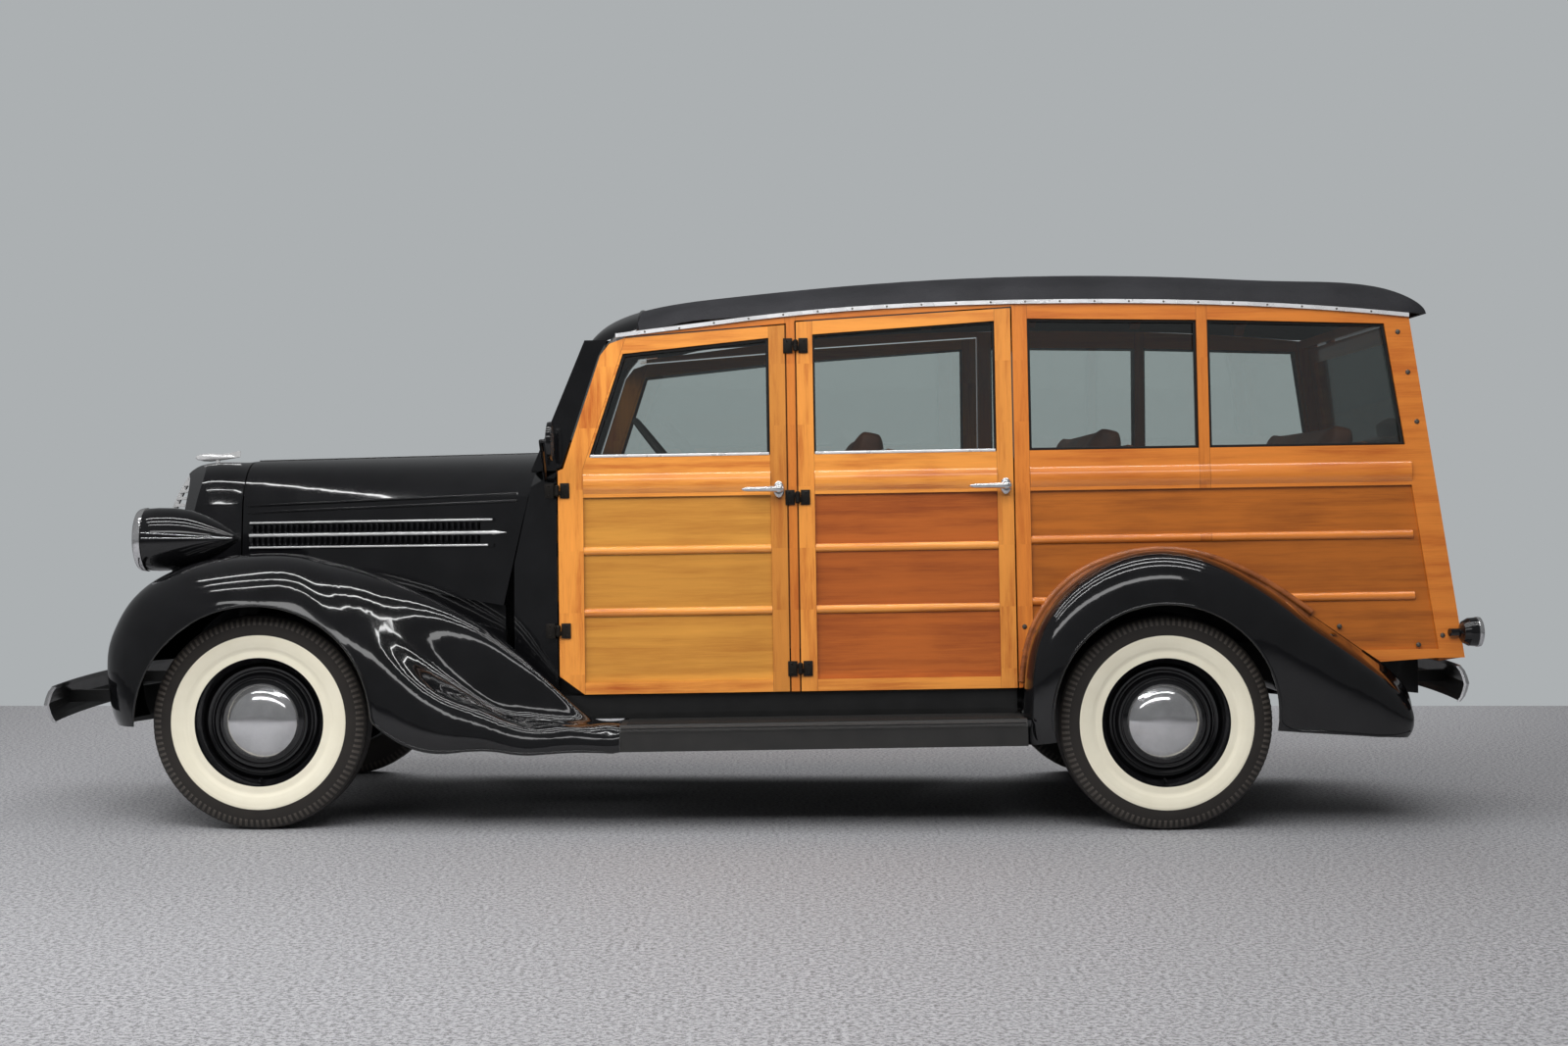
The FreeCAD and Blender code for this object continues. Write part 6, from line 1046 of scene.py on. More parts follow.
@dataclass
class RoadWheel:
    """One wheel's tyre with its tread, pale wall and bright cap."""

    place: str
    x: float
    y: float
    hand: int
    outer_radius: float = 0.350
    half_width: float = 0.077
    bead_radius: float = 0.2283
    wall_shares: tuple[tuple[float, float], ...] = (
        (0.80, 0.0), (0.93, 0.10), (0.985, 0.27), (1.0, 0.46), (0.985, 0.60), (0.95, 0.72), (0.90, 0.82),
        (0.83, 0.90), (0.76, 0.955))
    groove_depth: float = 0.006
    grooves: tuple[float, ...] = (-0.036, -0.012, 0.012, 0.036)
    groove_width: float = 0.005
    rib_count: int = 112
    pale_radii: tuple[float, float] = (0.2095, 0.2850)
    pale_least_y: float = 0.0678
    cap_radius: float = 0.1195
    cap_shares: tuple[tuple[float, float], ...] = (
        (1.02, 0.0355), (1.03, 0.0405), (1.015, 0.0450), (0.985, 0.0490), (0.93, 0.0530), (0.86, 0.0610),
        (0.74, 0.0690), (0.60, 0.0750), (0.45, 0.0792), (0.30, 0.0815), (0.15, 0.0826), (0.0, 0.0829))

    def _wall(self) -> list[tuple[float, float]]:
        """Outer wall of the tyre from the bead to the shoulder, as (radius, y)."""
        height = self.outer_radius - self.bead_radius
        return [(self.bead_radius + up * height, wide * self.half_width) for wide, up in self.wall_shares]

    def _wall_y(self, radius: float) -> float:
        """Half width of the tyre at a radius.

        Args:
            radius: Distance from the wheel's axis.

        Returns:
            Distance from the wheel's middle plane.
        """
        wall = self._wall()
        for (r0, y0), (r1, y1) in zip(wall, wall[1:]):
            if r0 <= radius <= r1:
                return y0 + (y1 - y0) * (radius - r0) / (r1 - r0)
        return wall[-1][1]

    def _casing(self) -> bpy.types.Object:
        """Tyre with grooves round its tread.

        Returns:
            The tyre, round the Y axis.
        """
        wall = self._wall()
        crown = self.outer_radius - 0.001
        tread: list[tuple[float, float]] = [(self.outer_radius * 0.988, 0.0525)]
        for middle in sorted(self.grooves, reverse=True):
            for step, low in ((1.0, False), (0.7, True), (-0.7, True), (-1.0, False)):
                radius = crown - (self.groove_depth if low else 0.0)
                tread.append((radius, middle + step * self.groove_width / 2))
        tread.append((self.outer_radius * 0.988, -0.0525))
        profile = wall + tread + [(r, -y) for r, y in reversed(wall)]
        return Bench.smooth(Bench.lathe("tyre_casing", profile, 96), 32.0)

    def _ribs(self) -> bpy.types.Object:
        """Short bars that run over both shoulders all round.

        Returns:
            All the bars as one piece.
        """
        bars = []
        for side in BOTH_SIDES:
            bar = Bench.trace("shoulder_rib", [
                (0.3120, side * self._wall_y(0.3120) - side * 0.001, 0.0),
                (0.3200, side * (self._wall_y(0.3200) + 0.0012), 0.0),
                (0.3290, side * (self._wall_y(0.3290) + 0.0012), 0.0),
                (0.3380, side * (self._wall_y(0.3380) + 0.0010), 0.0),
                (0.3462, side * 0.0545, 0.0), (0.3440, side * 0.0500, 0.0),
                (0.3300, side * 0.0500, 0.0)], closed=True)
            Bench.edit(bar, "FACE")
            bpy.ops.mesh.select_all(action="SELECT")
            bpy.ops.mesh.extrude_region_move(TRANSFORM_OT_translate={"value": (0.0, 0.0, 0.0085)})
            Bench.done()
            bars.append(Bench.outward(bar))
        ribs = Bench.joined("shoulder_ribs", *bars)
        Bench.edit(ribs, "VERT")
        bpy.ops.mesh.select_all(action="SELECT")
        steps = self.rib_count - 1
        bpy.ops.mesh.spin(steps=steps, dupli=True, angle=math.tau * steps / self.rib_count,
                          center=(0.0, 0.0, 0.0), axis=(0.0, 1.0, 0.0))
        Bench.done()
        return ribs

    def _pale_wall(self) -> bpy.types.Object:
        """Pale ring on the outer wall with a fine raised line at each edge.

        Returns:
            The ring.
        """
        inner, outer = self.pale_radii
        steps = 12
        face = []
        for index in range(steps + 1):
            radius = inner + (outer - inner) * index / steps
            edge = 0.0016 if index in (1, steps - 1) else 0.0010
            lift = -0.0006 if index == steps else edge
            face.append((radius, max(self._wall_y(radius), self.pale_least_y) + lift))
        face.insert(0, (inner, self.pale_least_y - 0.0035))
        back = [(r, y - 0.003) for r, y in reversed(face[2:])]
        return Bench.smooth(Bench.lathe("pale_wall", face + back, 96), 40.0)

    def _cap(self) -> bpy.types.Object:
        """Plain domed bright cap with a stepped edge."""
        profile = [(share * self.cap_radius, y) for share, y in self.cap_shares]
        return Bench.smooth(Bench.lathe("hub_cap", profile, 72, closed=False), 40.0)

    def _disc_rings(self) -> bpy.types.Object:
        """Raised rings pressed into the wheel's disc, the rim's lip and the valve.

        Returns:
            The rings and the valve as one piece.
        """
        flange = [(0.2230, 0.0664), (0.2090, 0.0656), (0.2058, 0.0610), (0.2064, 0.0510), (0.2150, 0.0440),
                  (0.2230, 0.0500)]
        rings = [Bench.lathe("rim_lip", flange, 72)]
        for radius, y, thick in ((0.1395, 0.0372, 0.0026), (0.1655, 0.0275, 0.0024)):
            points = []
            for step in range(8):
                angle = math.tau * step / 8
                points.append((radius + thick * math.cos(angle), y + thick * math.sin(angle)))
            rings.append(Bench.lathe("disc_ring", points, 72))
        stem = [(0.0, 0.032, -0.186), (0.0, 0.045, -0.190), (0.0, 0.062, -0.189)]
        rings.append(Bench.tube("valve", stem, 0.0042, 2, False))
        return Bench.smooth(Bench.joined("disc_rings", *rings), 50.0)

    def build(self, wardrobe: Wardrobe) -> None:
        """Make the wheel's pieces and set them in place.

        Args:
            wardrobe: The finishes.
        """
        seat = Matrix.Translation((self.x, self.hand * self.y, AXLE_Z)) @ Matrix.Diagonal(
            (1.0, float(self.hand), 1.0, 1.0))
        body = "wheel_" + self.place
        parts = (("tyre_casing", self._casing(), "tyre_rubber", "tyre", ["tyre_" + self.place]),
                 ("shoulder_ribs", self._ribs(), "rib_rubber", "tyre", []),
                 ("pale_wall", self._pale_wall(), "whitewall_rubber", "tyre", []),
                 ("hub_cap", self._cap(), "chrome", "chrome", []),
                 ("disc_rings", self._disc_rings(), "black_paint", "black_paint", []))
        for name, piece, finish, slot, stands_for in parts:
            Bench.place(piece, seat)
            if self.hand < 0:
                Bench.outward(piece)
            piece.name = "%s_%s" % (name, self.place)
            wardrobe.finished(piece, finish, body, stands_for)


def on_surface(node: str, x: float, z: float, hand: int, lift: float = 0.0) -> Vector:
    """Point on a node's outer face at a place of the level body.

    Args:
        node: The CAD node whose face is met from outside.
        x: Place along the level body.
        z: Height of the level body.
        hand: 1 on the left and -1 on the right.
        lift: Distance outside the face.

    Returns:
        The point in the frame.
    """
    start = level_point(x, hand * RAY_START_Y, z)
    hit, place, _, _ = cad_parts[node].ray_cast(start, Vector((0.0, -float(hand), 0.0)))
    if not hit:
        raise ValueError("no face of %s at %.3f, %.3f" % (node, x, z))
    return place + Vector((0.0, hand * lift, 0.0))


@dataclass
class HoodTrim:
    """Bright strips and scooped louvres on both sides of the hood, with a black plate of painted shade behind
    the louvres.
    """

    strip_heights: tuple[float, ...] = (1.022, 0.978, 0.936)
    strip_radii: tuple[float, ...] = (0.0038, 0.0062, 0.0038)
    front_x: float = 1.770
    rear_x: tuple[float, ...] = (0.886, 0.833, 0.900)
    tip_x: float = 0.884
    louvre_front_x: float = 1.775
    louvre_count: int = 40
    louvre_pitch: float = 0.021
    louvre_heights: tuple[float, ...] = (1.000, 0.957)
    louvre_size: tuple[float, float, float] = (0.0185, 0.009, 0.030)

    def _strips(self, hand: int) -> bpy.types.Object:
        """Three rounded strips that follow the hood's side.

        Args:
            hand: 1 on the left and -1 on the right.

        Returns:
            The strips as one piece.
        """
        node = "hood_" + hand_name(hand)
        made = []
        for z, radius, end in zip(self.strip_heights, self.strip_radii, self.rear_x):
            points = []
            steps = 9
            for index in range(steps + 1):
                x = self.front_x + (max(end, self.tip_x) - self.front_x) * index / steps
                points.append(on_surface(node, x, z, hand, -0.0012))
            made.append(Bench.tube("hood_strip", points, radius, 3))
            if end < self.tip_x:
                tip_at = on_surface(node, end + 0.004, z, hand, 0.001)
                start = points[-1]
                Bench.clear()
                bpy.ops.mesh.primitive_cone_add(vertices=16, radius1=radius * 1.35, radius2=0.0008,
                                                depth=(tip_at - start).length,
                                                location=(start + tip_at) / 2)
                tip = Bench.named("hood_strip_tip")
                tip.rotation_euler = (tip_at - start).to_track_quat("Z", "Y").to_euler()
                made.append(Bench.settle(tip))
        return Bench.smooth(Bench.joined("hood_strips_" + hand_name(hand), *made), 40.0)

    def _scoop(self) -> bpy.types.Object:
        """One louvre: a block whose rear end stands out and is cut hollow, smooth on its front end.

        Returns:
            The louvre, at the origin.
        """
        long_x, deep_y, tall_z = self.louvre_size
        scoop = Bench.block("louvre_scoop", (long_x, deep_y, tall_z))
        Bench.edit(scoop, "VERT")
        Bench.done()
        for vertex in scoop.data.vertices:
            vertex.select = vertex.co.x > 0 and vertex.co.y > 0
        Bench.focus(scoop)
        bpy.ops.object.mode_set(mode="EDIT")
        bpy.ops.transform.translate(value=(0.0, -deep_y * 0.72, 0.0))
        bpy.ops.mesh.select_all(action="DESELECT")
        Bench.done()
        for face in scoop.data.polygons:
            face.select = face.normal.x < -0.9
        Bench.focus(scoop)
        bpy.ops.object.mode_set(mode="EDIT")
        bpy.ops.mesh.select_mode(type="FACE")
        bpy.ops.mesh.inset(thickness=0.0014)
        bpy.ops.transform.translate(value=(long_x * 0.5, 0.0, 0.0))
        Bench.done()
        Bench.modify(scoop, "BEVEL", width=0.0012, segments=2, limit_method="ANGLE")
        return scoop

    def _louvres(self, hand: int) -> bpy.types.Object:
        """Both rows of louvres of one side.

        Args:
            hand: 1 on the left and -1 on the right.

        Returns:
            The louvres as one piece.
        """
        node = "hood_" + hand_name(hand)
        places = []
        for z in self.louvre_heights:
            for index in range(self.louvre_count):
                x = self.louvre_front_x - self.louvre_pitch * (index + 1) + self.louvre_pitch / 2
                here = on_surface(node, x, z, hand, 0.001)
                ahead = on_surface(node, x + self.louvre_pitch, z, hand, 0.001)
                turn = math.atan2(ahead.y - here.y, ahead.x - here.x)
                places.append(Matrix.Translation(here) @ Matrix.Rotation(turn, 4, "Z") @ Matrix.Diagonal(
                    (1.0, float(hand), 1.0, 1.0)))
        louvres = Bench.copies(self._scoop(), places, "louvres_" + hand_name(hand))
        Bench.outward(louvres, 1e-6)
        return Bench.smooth(louvres, 40.0)

    def _shade_plate(self, hand: int) -> bpy.types.Object:
        """Dark plate behind the louvres' slots: painted shade, a black sheet that stands for the shaded
        inside of the hood.

        Args:
            hand: 1 on the left and -1 on the right.

        Returns:
            The plate.
        """
        node = "hood_" + hand_name(hand)
        rear, top_z, height, steps = 0.90, 1.055, 0.150, 10
        line = []
        for index in range(steps + 1):
            x = self.front_x + 0.01 - (self.front_x - rear) * index / steps
            line.append(on_surface(node, x, top_z, hand, -0.015))
        plate = Bench.trace("louvre_backing_" + hand_name(hand), line)
        Bench.edit(plate, "VERT")
        bpy.ops.mesh.select_all(action="SELECT")
        bpy.ops.mesh.extrude_region_move(TRANSFORM_OT_translate={"value": (0.0, hand * 0.004, -height)})
        Bench.done()
        Bench.modify(plate, "SOLIDIFY", thickness=0.002, offset=0.0)
        return plate

    def build(self, wardrobe: Wardrobe) -> None:
        """Make the trim of both sides.

        Args:
            wardrobe: The finishes.
        """
        for hand in BOTH_SIDES:
            body = "hood_" + hand_name(hand)
            wardrobe.finished(self._strips(hand), "trim_chrome", body)
            wardrobe.finished(self._louvres(hand), "black_paint", body)
            # Painted shade: the black plate behind the louvre slots stands for the shaded inside of the hood.
            wardrobe.finished(self._shade_plate(hand), "seal_rubber", body)


@dataclass
class Headlamps:
    """Both bullet headlamps: shell on its stand, bezel, domed glass, reflector, bulb and side beads."""

    x: float = 2.056
    y: float = 0.520
    z: float = 0.972
    length: float = 0.322
    radius: float = 0.1065
    wall: float = 0.006
    shell_shares: tuple[tuple[float, float], ...] = (
        (0.0, 0.93), (0.05, 0.985), (0.15, 1.0), (0.33, 0.985), (0.50, 0.90), (0.65, 0.72), (0.80, 0.46),
        (0.92, 0.20), (1.0, 0.0))
    mouth: float = 1.10
    stand_x: float = 1.944
    stand_radii: tuple[float, float] = (0.022, 0.034)

    def _seat(self, hand: int) -> Matrix:
        """Place of one lamp, with its turning axis forward.

        Args:
            hand: 1 on the left and -1 on the right.

        Returns:
            The lamp's place and turn.
        """
        place = level_point(self.x, hand * self.y, self.z)
        turn = Matrix.Rotation(RAKE, 4, "Y") @ Matrix.Rotation(math.radians(-90.0), 4, "Z")
        return Matrix.Translation(place) @ turn

    def _shell(self, hand: int) -> bpy.types.Object:
        """Painted shell and its flared stand down to the fender.

        Args:
            hand: 1 on the left and -1 on the right.

        Returns:
            The shell with its stand.
        """
        outer = [(r * self.radius, -s * self.length) for s, r in self.shell_shares]
        inner = [(max(r * self.radius - self.wall, 0.0), -s * (self.length - 2 * self.wall))
                 for s, r in reversed(self.shell_shares)]
        shell = Bench.place(Bench.lathe("lamp_shell", outer + inner, 72), self._seat(hand))
        top = level_point(self.stand_x, hand * self.y, self.z - self.radius * 0.8)
        hit, foot, _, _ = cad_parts["front_fenders"].ray_cast(top, Vector((0.0, 0.0, -1.0)))
        low = (foot.z if hit else top.z - 0.06) - 0.004
        slim, wide = self.stand_radii
        profile = [(0.0, top.z), (slim, top.z), (slim, low + 0.030), (slim * 1.2, low + 0.016),
                   (wide, low + 0.006), (wide, low), (0.0, low)]
        stand = Bench.lathe("lamp_stand", profile, 32, closed=False)
        upright = Matrix.Translation((top.x, top.y, 0.0)) @ Matrix.Rotation(math.radians(90.0), 4, "X")
        Bench.place(stand, upright)
        return Bench.smooth(Bench.outward(Bench.joined("lamp_shell", shell, stand)), 40.0)

    def _mouth_piece(self, name: str, profile: Sequence[tuple[float, float]], hand: int,
                     closed: bool = True) -> bpy.types.Object:
        """One turned piece of the lamp's mouth, widened to the shell.

        Args:
            name: The piece's name.
            profile: Its (radius, y) points.
            hand: 1 on the left and -1 on the right.
            closed: Whether the last point joins the first.

        Returns:
            The piece in place.
        """
        piece = Bench.lathe(name, profile, 64, closed=closed)
        Bench.place(piece, self._seat(hand) @ Matrix.Diagonal((self.mouth, 1.0, self.mouth, 1.0)))
        return Bench.smooth(Bench.outward(piece), 50.0)

    def _beads(self, hand: int) -> bpy.types.Object:
        """Two thin bright lines along the shell's outer side.

        Args:
            hand: 1 on the left and -1 on the right.

        Returns:
            Both lines as one piece.
        """
        beads = []
        for tilt_start in (0.026, 0.007):
            points = []
            for share, reach in self.shell_shares[1:-1]:
                tilt = tilt_start * (1.0 - share)
                across = math.sqrt(max((reach * self.radius + 0.0008) ** 2 - tilt ** 2, 1e-6))
                x = self.x - share * self.length
                points.append(level_point(x, hand * (self.y + across), self.z + tilt))
            beads.append(Bench.tube("lamp_bead", points, 0.0017, 2))
        return Bench.smooth(Bench.joined("lamp_beads", *beads), 60.0)

    def build(self, wardrobe: Wardrobe) -> None:
        """Make both lamps; each kind of piece is one for both sides.

        Args:
            wardrobe: The finishes.
        """
        bezel = [(0.0800, 0.0030), (0.0812, 0.0120), (0.0850, 0.0168), (0.0905, 0.0160), (0.0945, 0.0100),
                 (0.0968, 0.0010), (0.0972, -0.0095), (0.0930, -0.0095), (0.0895, -0.0005)]
        glass = [(0.0, 0.0290), (0.0180, 0.0282), (0.0360, 0.0258), (0.0540, 0.0215), (0.0690, 0.0160),
                 (0.0815, 0.0100), (0.0815, 0.0060), (0.0660, 0.0118), (0.0500, 0.0176), (0.0340, 0.0214),
                 (0.0170, 0.0238), (0.0, 0.0244)]
        bowl = [(0.0795, -0.0040), (0.0760, -0.0200), (0.0660, -0.0420), (0.0480, -0.0610), (0.0250, -0.0720),
                (0.0120, -0.0740), (0.0120, -0.0760), (0.0260, -0.0745), (0.0500, -0.0635), (0.0690, -0.0430),
                (0.0790, -0.0200), (0.0812, -0.0040)]
        bulb = [(0.0, -0.0300), (0.0060, -0.0320), (0.0100, -0.0400), (0.0095, -0.0520), (0.0070, -0.0620),
                (0.0070, -0.0760), (0.0, -0.0760)]
        rows = (("headlamp_shells", self._shell, "black_paint", "black_paint", ["headlamps"]),
                ("headlamp_bezels", lambda hand: self._mouth_piece("bezel", bezel, hand), "chrome",
                 "chrome", []),
                ("headlamp_glasses", lambda hand: self._mouth_piece("glass", glass, hand, False),
                 "lens_glass", "clear_glass", ["headlamp_lenses"]),
                ("headlamp_bowls", lambda hand: self._mouth_piece("bowl", bowl, hand), "chrome",
                 "chrome", []),
                ("headlamp_bulbs", lambda hand: self._mouth_piece("bulb", bulb, hand, False),
                 "lamp_glass", "clear_glass", []),
                ("headlamp_beads", self._beads, "chrome", "chrome", []))
        for name, make, finish, slot, stands_for in rows:
            piece = Bench.joined(name, *[make(hand) for hand in BOTH_SIDES])
            wardrobe.finished(piece, finish, "body", stands_for)


@dataclass
class HoodCreases:
    """Rounded crease lines pressed along both hood halves."""

    heights: tuple[tuple[float, float], ...] = ((1.082, 1.108), (1.058, 1.084))
    front_x: float = 1.780
    rear_x: float = 0.800
    bead: float = 0.0055
    steps: int = 12

    def build(self, wardrobe: Wardrobe) -> None:
        """Make the lines of both sides.

        Args:
            wardrobe: The finishes.
        """
        for hand in BOTH_SIDES:
            node = "hood_" + hand_name(hand)
            lines = []
            for front_z, rear_z in self.heights:
                points = []
                for index in range(self.steps + 1):
                    share = index / self.steps
                    x = self.front_x + (self.rear_x - self.front_x) * share
                    z = front_z + (rear_z - front_z) * share
                    points.append(on_surface(node, x, z, hand, -0.0010))
                lines.append(Bench.tube("hood_crease", points, self.bead, 2))
            piece = Bench.smooth(Bench.joined("hood_creases_" + hand_name(hand), *lines), 60.0)
            wardrobe.finished(piece, "black_paint", node)


@dataclass
class FenderBeads:
    """Rolled lips round the wheel openings and along the fenders' lower edges."""

    node: str
    x: float
    z: float
    radius: float
    angles: tuple[float, float]
    tail_x: float
    bead: float = 0.0048
    step: float = 6.0
    least_y: float = 0.78
    tail_steps: int = 10

    def _low_point(self, x: float, hand: int) -> Optional[Vector]:
        """Point on the fender's outer face just over its lowest edge.

        Args:
            x: Place along the level body.
            hand: 1 on the left and -1 on the right.

        Returns:
            The point, or None where the fender isn't met.
        """
        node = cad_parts[self.node]
        for count in range(80):
            z = 0.20 + 0.005 * count
            start = level_point(x, hand * RAY_START_Y, z)
            hit, place, _, _ = node.ray_cast(start, Vector((0.0, -float(hand), 0.0)))
            if hit and abs(place.y) > self.least_y:
                return place + Vector((0.0, 0.0, 0.003))
        return None

    def _line(self, hand: int) -> list[Vector]:
        """Points round the opening and then along the lower edge.

        Args:
            hand: 1 on the left and -1 on the right.

        Returns:
            The points in order.
        """
        points = []
        start, end = self.angles
        count = int((end - start) / self.step)
        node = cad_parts[self.node]
        for index in range(count + 1):
            angle = math.radians(start + (end - start) * index / count)
            origin = level_point(self.x + self.radius * math.cos(angle), hand * RAY_START_Y,
                                 self.z + self.radius * math.sin(angle))
            hit, place, _, _ = node.ray_cast(origin, Vector((0.0, -float(hand), 0.0)))
            if hit and abs(place.y) > self.least_y:
                points.append(place)
        last_x = self.x + self.radius * math.cos(math.radians(end))
        for index in range(1, self.tail_steps + 1):
            place = self._low_point(last_x + (self.tail_x - last_x) * index / self.tail_steps, hand)
            if place is not None:
                points.append(place)
        return points

    def build(self, wardrobe: Wardrobe, name: str) -> None:
        """Make the lips of both sides.

        Args:
            wardrobe: The finishes.
            name: The word for this pair of fenders in the pieces' names.
        """
        for hand in BOTH_SIDES:
            lip = Bench.tube("fender_lip_%s_%s" % (name, hand_name(hand)), self._line(hand), self.bead, 2)
            wardrobe.finished(Bench.smooth(lip, 60.0), "black_paint", "body")


@dataclass
class TailLamp:
    """Bright bezel and red lens of one tail lamp."""

    hand: int
    rear_x: float = -2.386
    y: float = 0.664
    z: float = 0.600

    def build(self, wardrobe: Wardrobe) -> None:
        """Make the bezel and the lens.

        Args:
            wardrobe: The finishes.
        """
        side = hand_name(self.hand)
        seat = Matrix.Translation(level_point(self.rear_x, self.hand * self.y, self.z)) @ Matrix.Rotation(
            RAKE, 4, "Y") @ Matrix.Rotation(math.radians(90.0), 4, "Z")
        bezel_profile = [(0.0405, 0.0000), (0.0410, 0.0062), (0.0440, 0.0078), (0.0480, 0.0055),
                         (0.0496, -0.0010), (0.0490, -0.0080), (0.0455, -0.0080), (0.0450, 0.0)]
        lens_profile = [(0.0, 0.0122), (0.0140, 0.0117), (0.0260, 0.0104), (0.0360, 0.0085), (0.0408, 0.0058),
                        (0.0408, 0.0008), (0.0, 0.0008)]
        bezel = Bench.smooth(Bench.lathe("tail_bezel_" + side, bezel_profile, 48), 50.0)
        lens = Bench.smooth(Bench.lathe("tail_lens_" + side, lens_profile, 48, closed=False), 50.0)
        for piece, finish, slot in ((bezel, "chrome", "chrome"), (lens, "red_lens", "chrome")):
            Bench.place(piece, seat)
            Bench.outward(piece)
            wardrobe.finished(piece, finish, "body")


@dataclass
class MirrorGlass:
    """Mirror face and painted back of the round side mirror."""

    x: float = 0.655
    y: float = 0.762
    z: float = 1.274
    radius: float = 0.062

    def build(self, wardrobe: Wardrobe) -> None:
        """Make the face and the back shell.

        Args:
            wardrobe: The finishes.
        """
        seat = Matrix.Translation(level_point(self.x, self.y, self.z)) @ Matrix.Rotation(
            RAKE, 4, "Y") @ Matrix.Rotation(math.radians(90.0), 4, "Z")
        rim = self.radius
        face_profile = [(0.0, 0.0015), (rim - 0.006, 0.0015), (rim - 0.004, -0.0005), (0.0, -0.0005)]
        shell_profile = [(rim - 0.005, 0.0025), (rim, 0.0030), (rim + 0.0018, 0.0), (rim + 0.0010, -0.0080),
                         (rim - 0.006, -0.0135), (rim - 0.020, -0.0165), (0.030, -0.0185), (0.0, -0.0190),
                         (0.0, -0.0125), (rim - 0.004, -0.0120), (rim - 0.004, 0.0)]
        face = Bench.smooth(Bench.lathe("mirror_face", face_profile, 64, closed=False), 30.0)
        shell = Bench.smooth(Bench.lathe("mirror_shell", shell_profile, 64), 40.0)
        for piece, finish, slot in ((face, "chrome", "chrome"), (shell, "black_paint", "chrome")):
            Bench.place(piece, seat)
            Bench.outward(piece)
            wardrobe.finished(piece, finish, "body")


def side_seat(x: float, z: float, out: float = 0.0) -> Matrix:
    """Place and lean of a piece that is modelled on the left side's face, with Y pointing out of it."""
    lean = Matrix.Rotation(RAKE, 4, "Y") @ Matrix.Rotation(LEAN, 4, "X")
    return Matrix.Translation(side_point(x, out, z, 1)) @ lean


def both_hands(piece: bpy.types.Object, stem: str) -> list[tuple[int, bpy.types.Object]]:
    """A left piece and its mirror image, named for their sides.

    Args:
        piece: The left piece.
        stem: The start of both names.

    Returns:
        Each piece with its hand.
    """
    twin = Bench.mirrored(piece, stem + "_right")
    piece.name = stem + "_left"
    piece.data.name = piece.name
    return [(1, piece), (-1, twin)]


@dataclass
class DoorHandle:
    """Bright lever handles of one pair of doors, each with an oval plate and its lever forward."""

    door: str
    x: float
    z: float = 1.107
    out: float = 0.042
    lever_length: float = 0.126
    plate_stretch: float = 1.5

    def build(self, wardrobe: Wardrobe) -> None:
        """Make the handles of both sides.

        Args:
            wardrobe: The finishes.
        """
        plate_profile = [(0.0, 0.0205), (0.0100, 0.0200), (0.0160, 0.0185), (0.0180, 0.0160),
                         (0.0186, 0.0060), (0.0186, -0.0020), (0.0, -0.0020)]
        neck_profile = [(0.0, 0.0535), (0.0070, 0.0530), (0.0108, 0.0500), (0.0115, 0.0420), (0.0108, 0.0330),
                        (0.0092, 0.0280), (0.0100, 0.0180), (0.0, 0.0180)]
        lever_profile = [(0.0, -0.0160), (0.0070, -0.0145), (0.0100, -0.0080), (0.0104, 0.0100),
                         (0.0092, 0.0400), (0.0086, 0.0750), (0.0085, 0.1010), (0.0072, 0.1100),
                         (0.0045, 0.1190), (0.0, self.lever_length)]
        plate = Bench.lathe("handle_plate", plate_profile, 40, closed=False)
        Bench.place(plate, Matrix.Diagonal((1.0, 1.0, self.plate_stretch, 1.0)))
        neck = Bench.lathe("handle_neck", neck_profile, 32, closed=False)
        lever = Bench.lathe("handle_lever", lever_profile, 32, closed=False)
        forward = Matrix.Rotation(math.radians(-90), 4, "Z")
        Bench.place(lever, Matrix.Translation((0.0, self.out, 0.0)) @ forward)
        handle = Bench.joined("door_handle", plate, neck, lever)
        Bench.outward(Bench.place(handle, side_seat(self.x, self.z)))
        Bench.smooth(handle, 40.0)
        for hand, piece in both_hands(handle, "handle_%s" % self.door):
            wardrobe.finished(piece, "chrome", "door_%s_%s" % (self.door, hand_name(hand)))


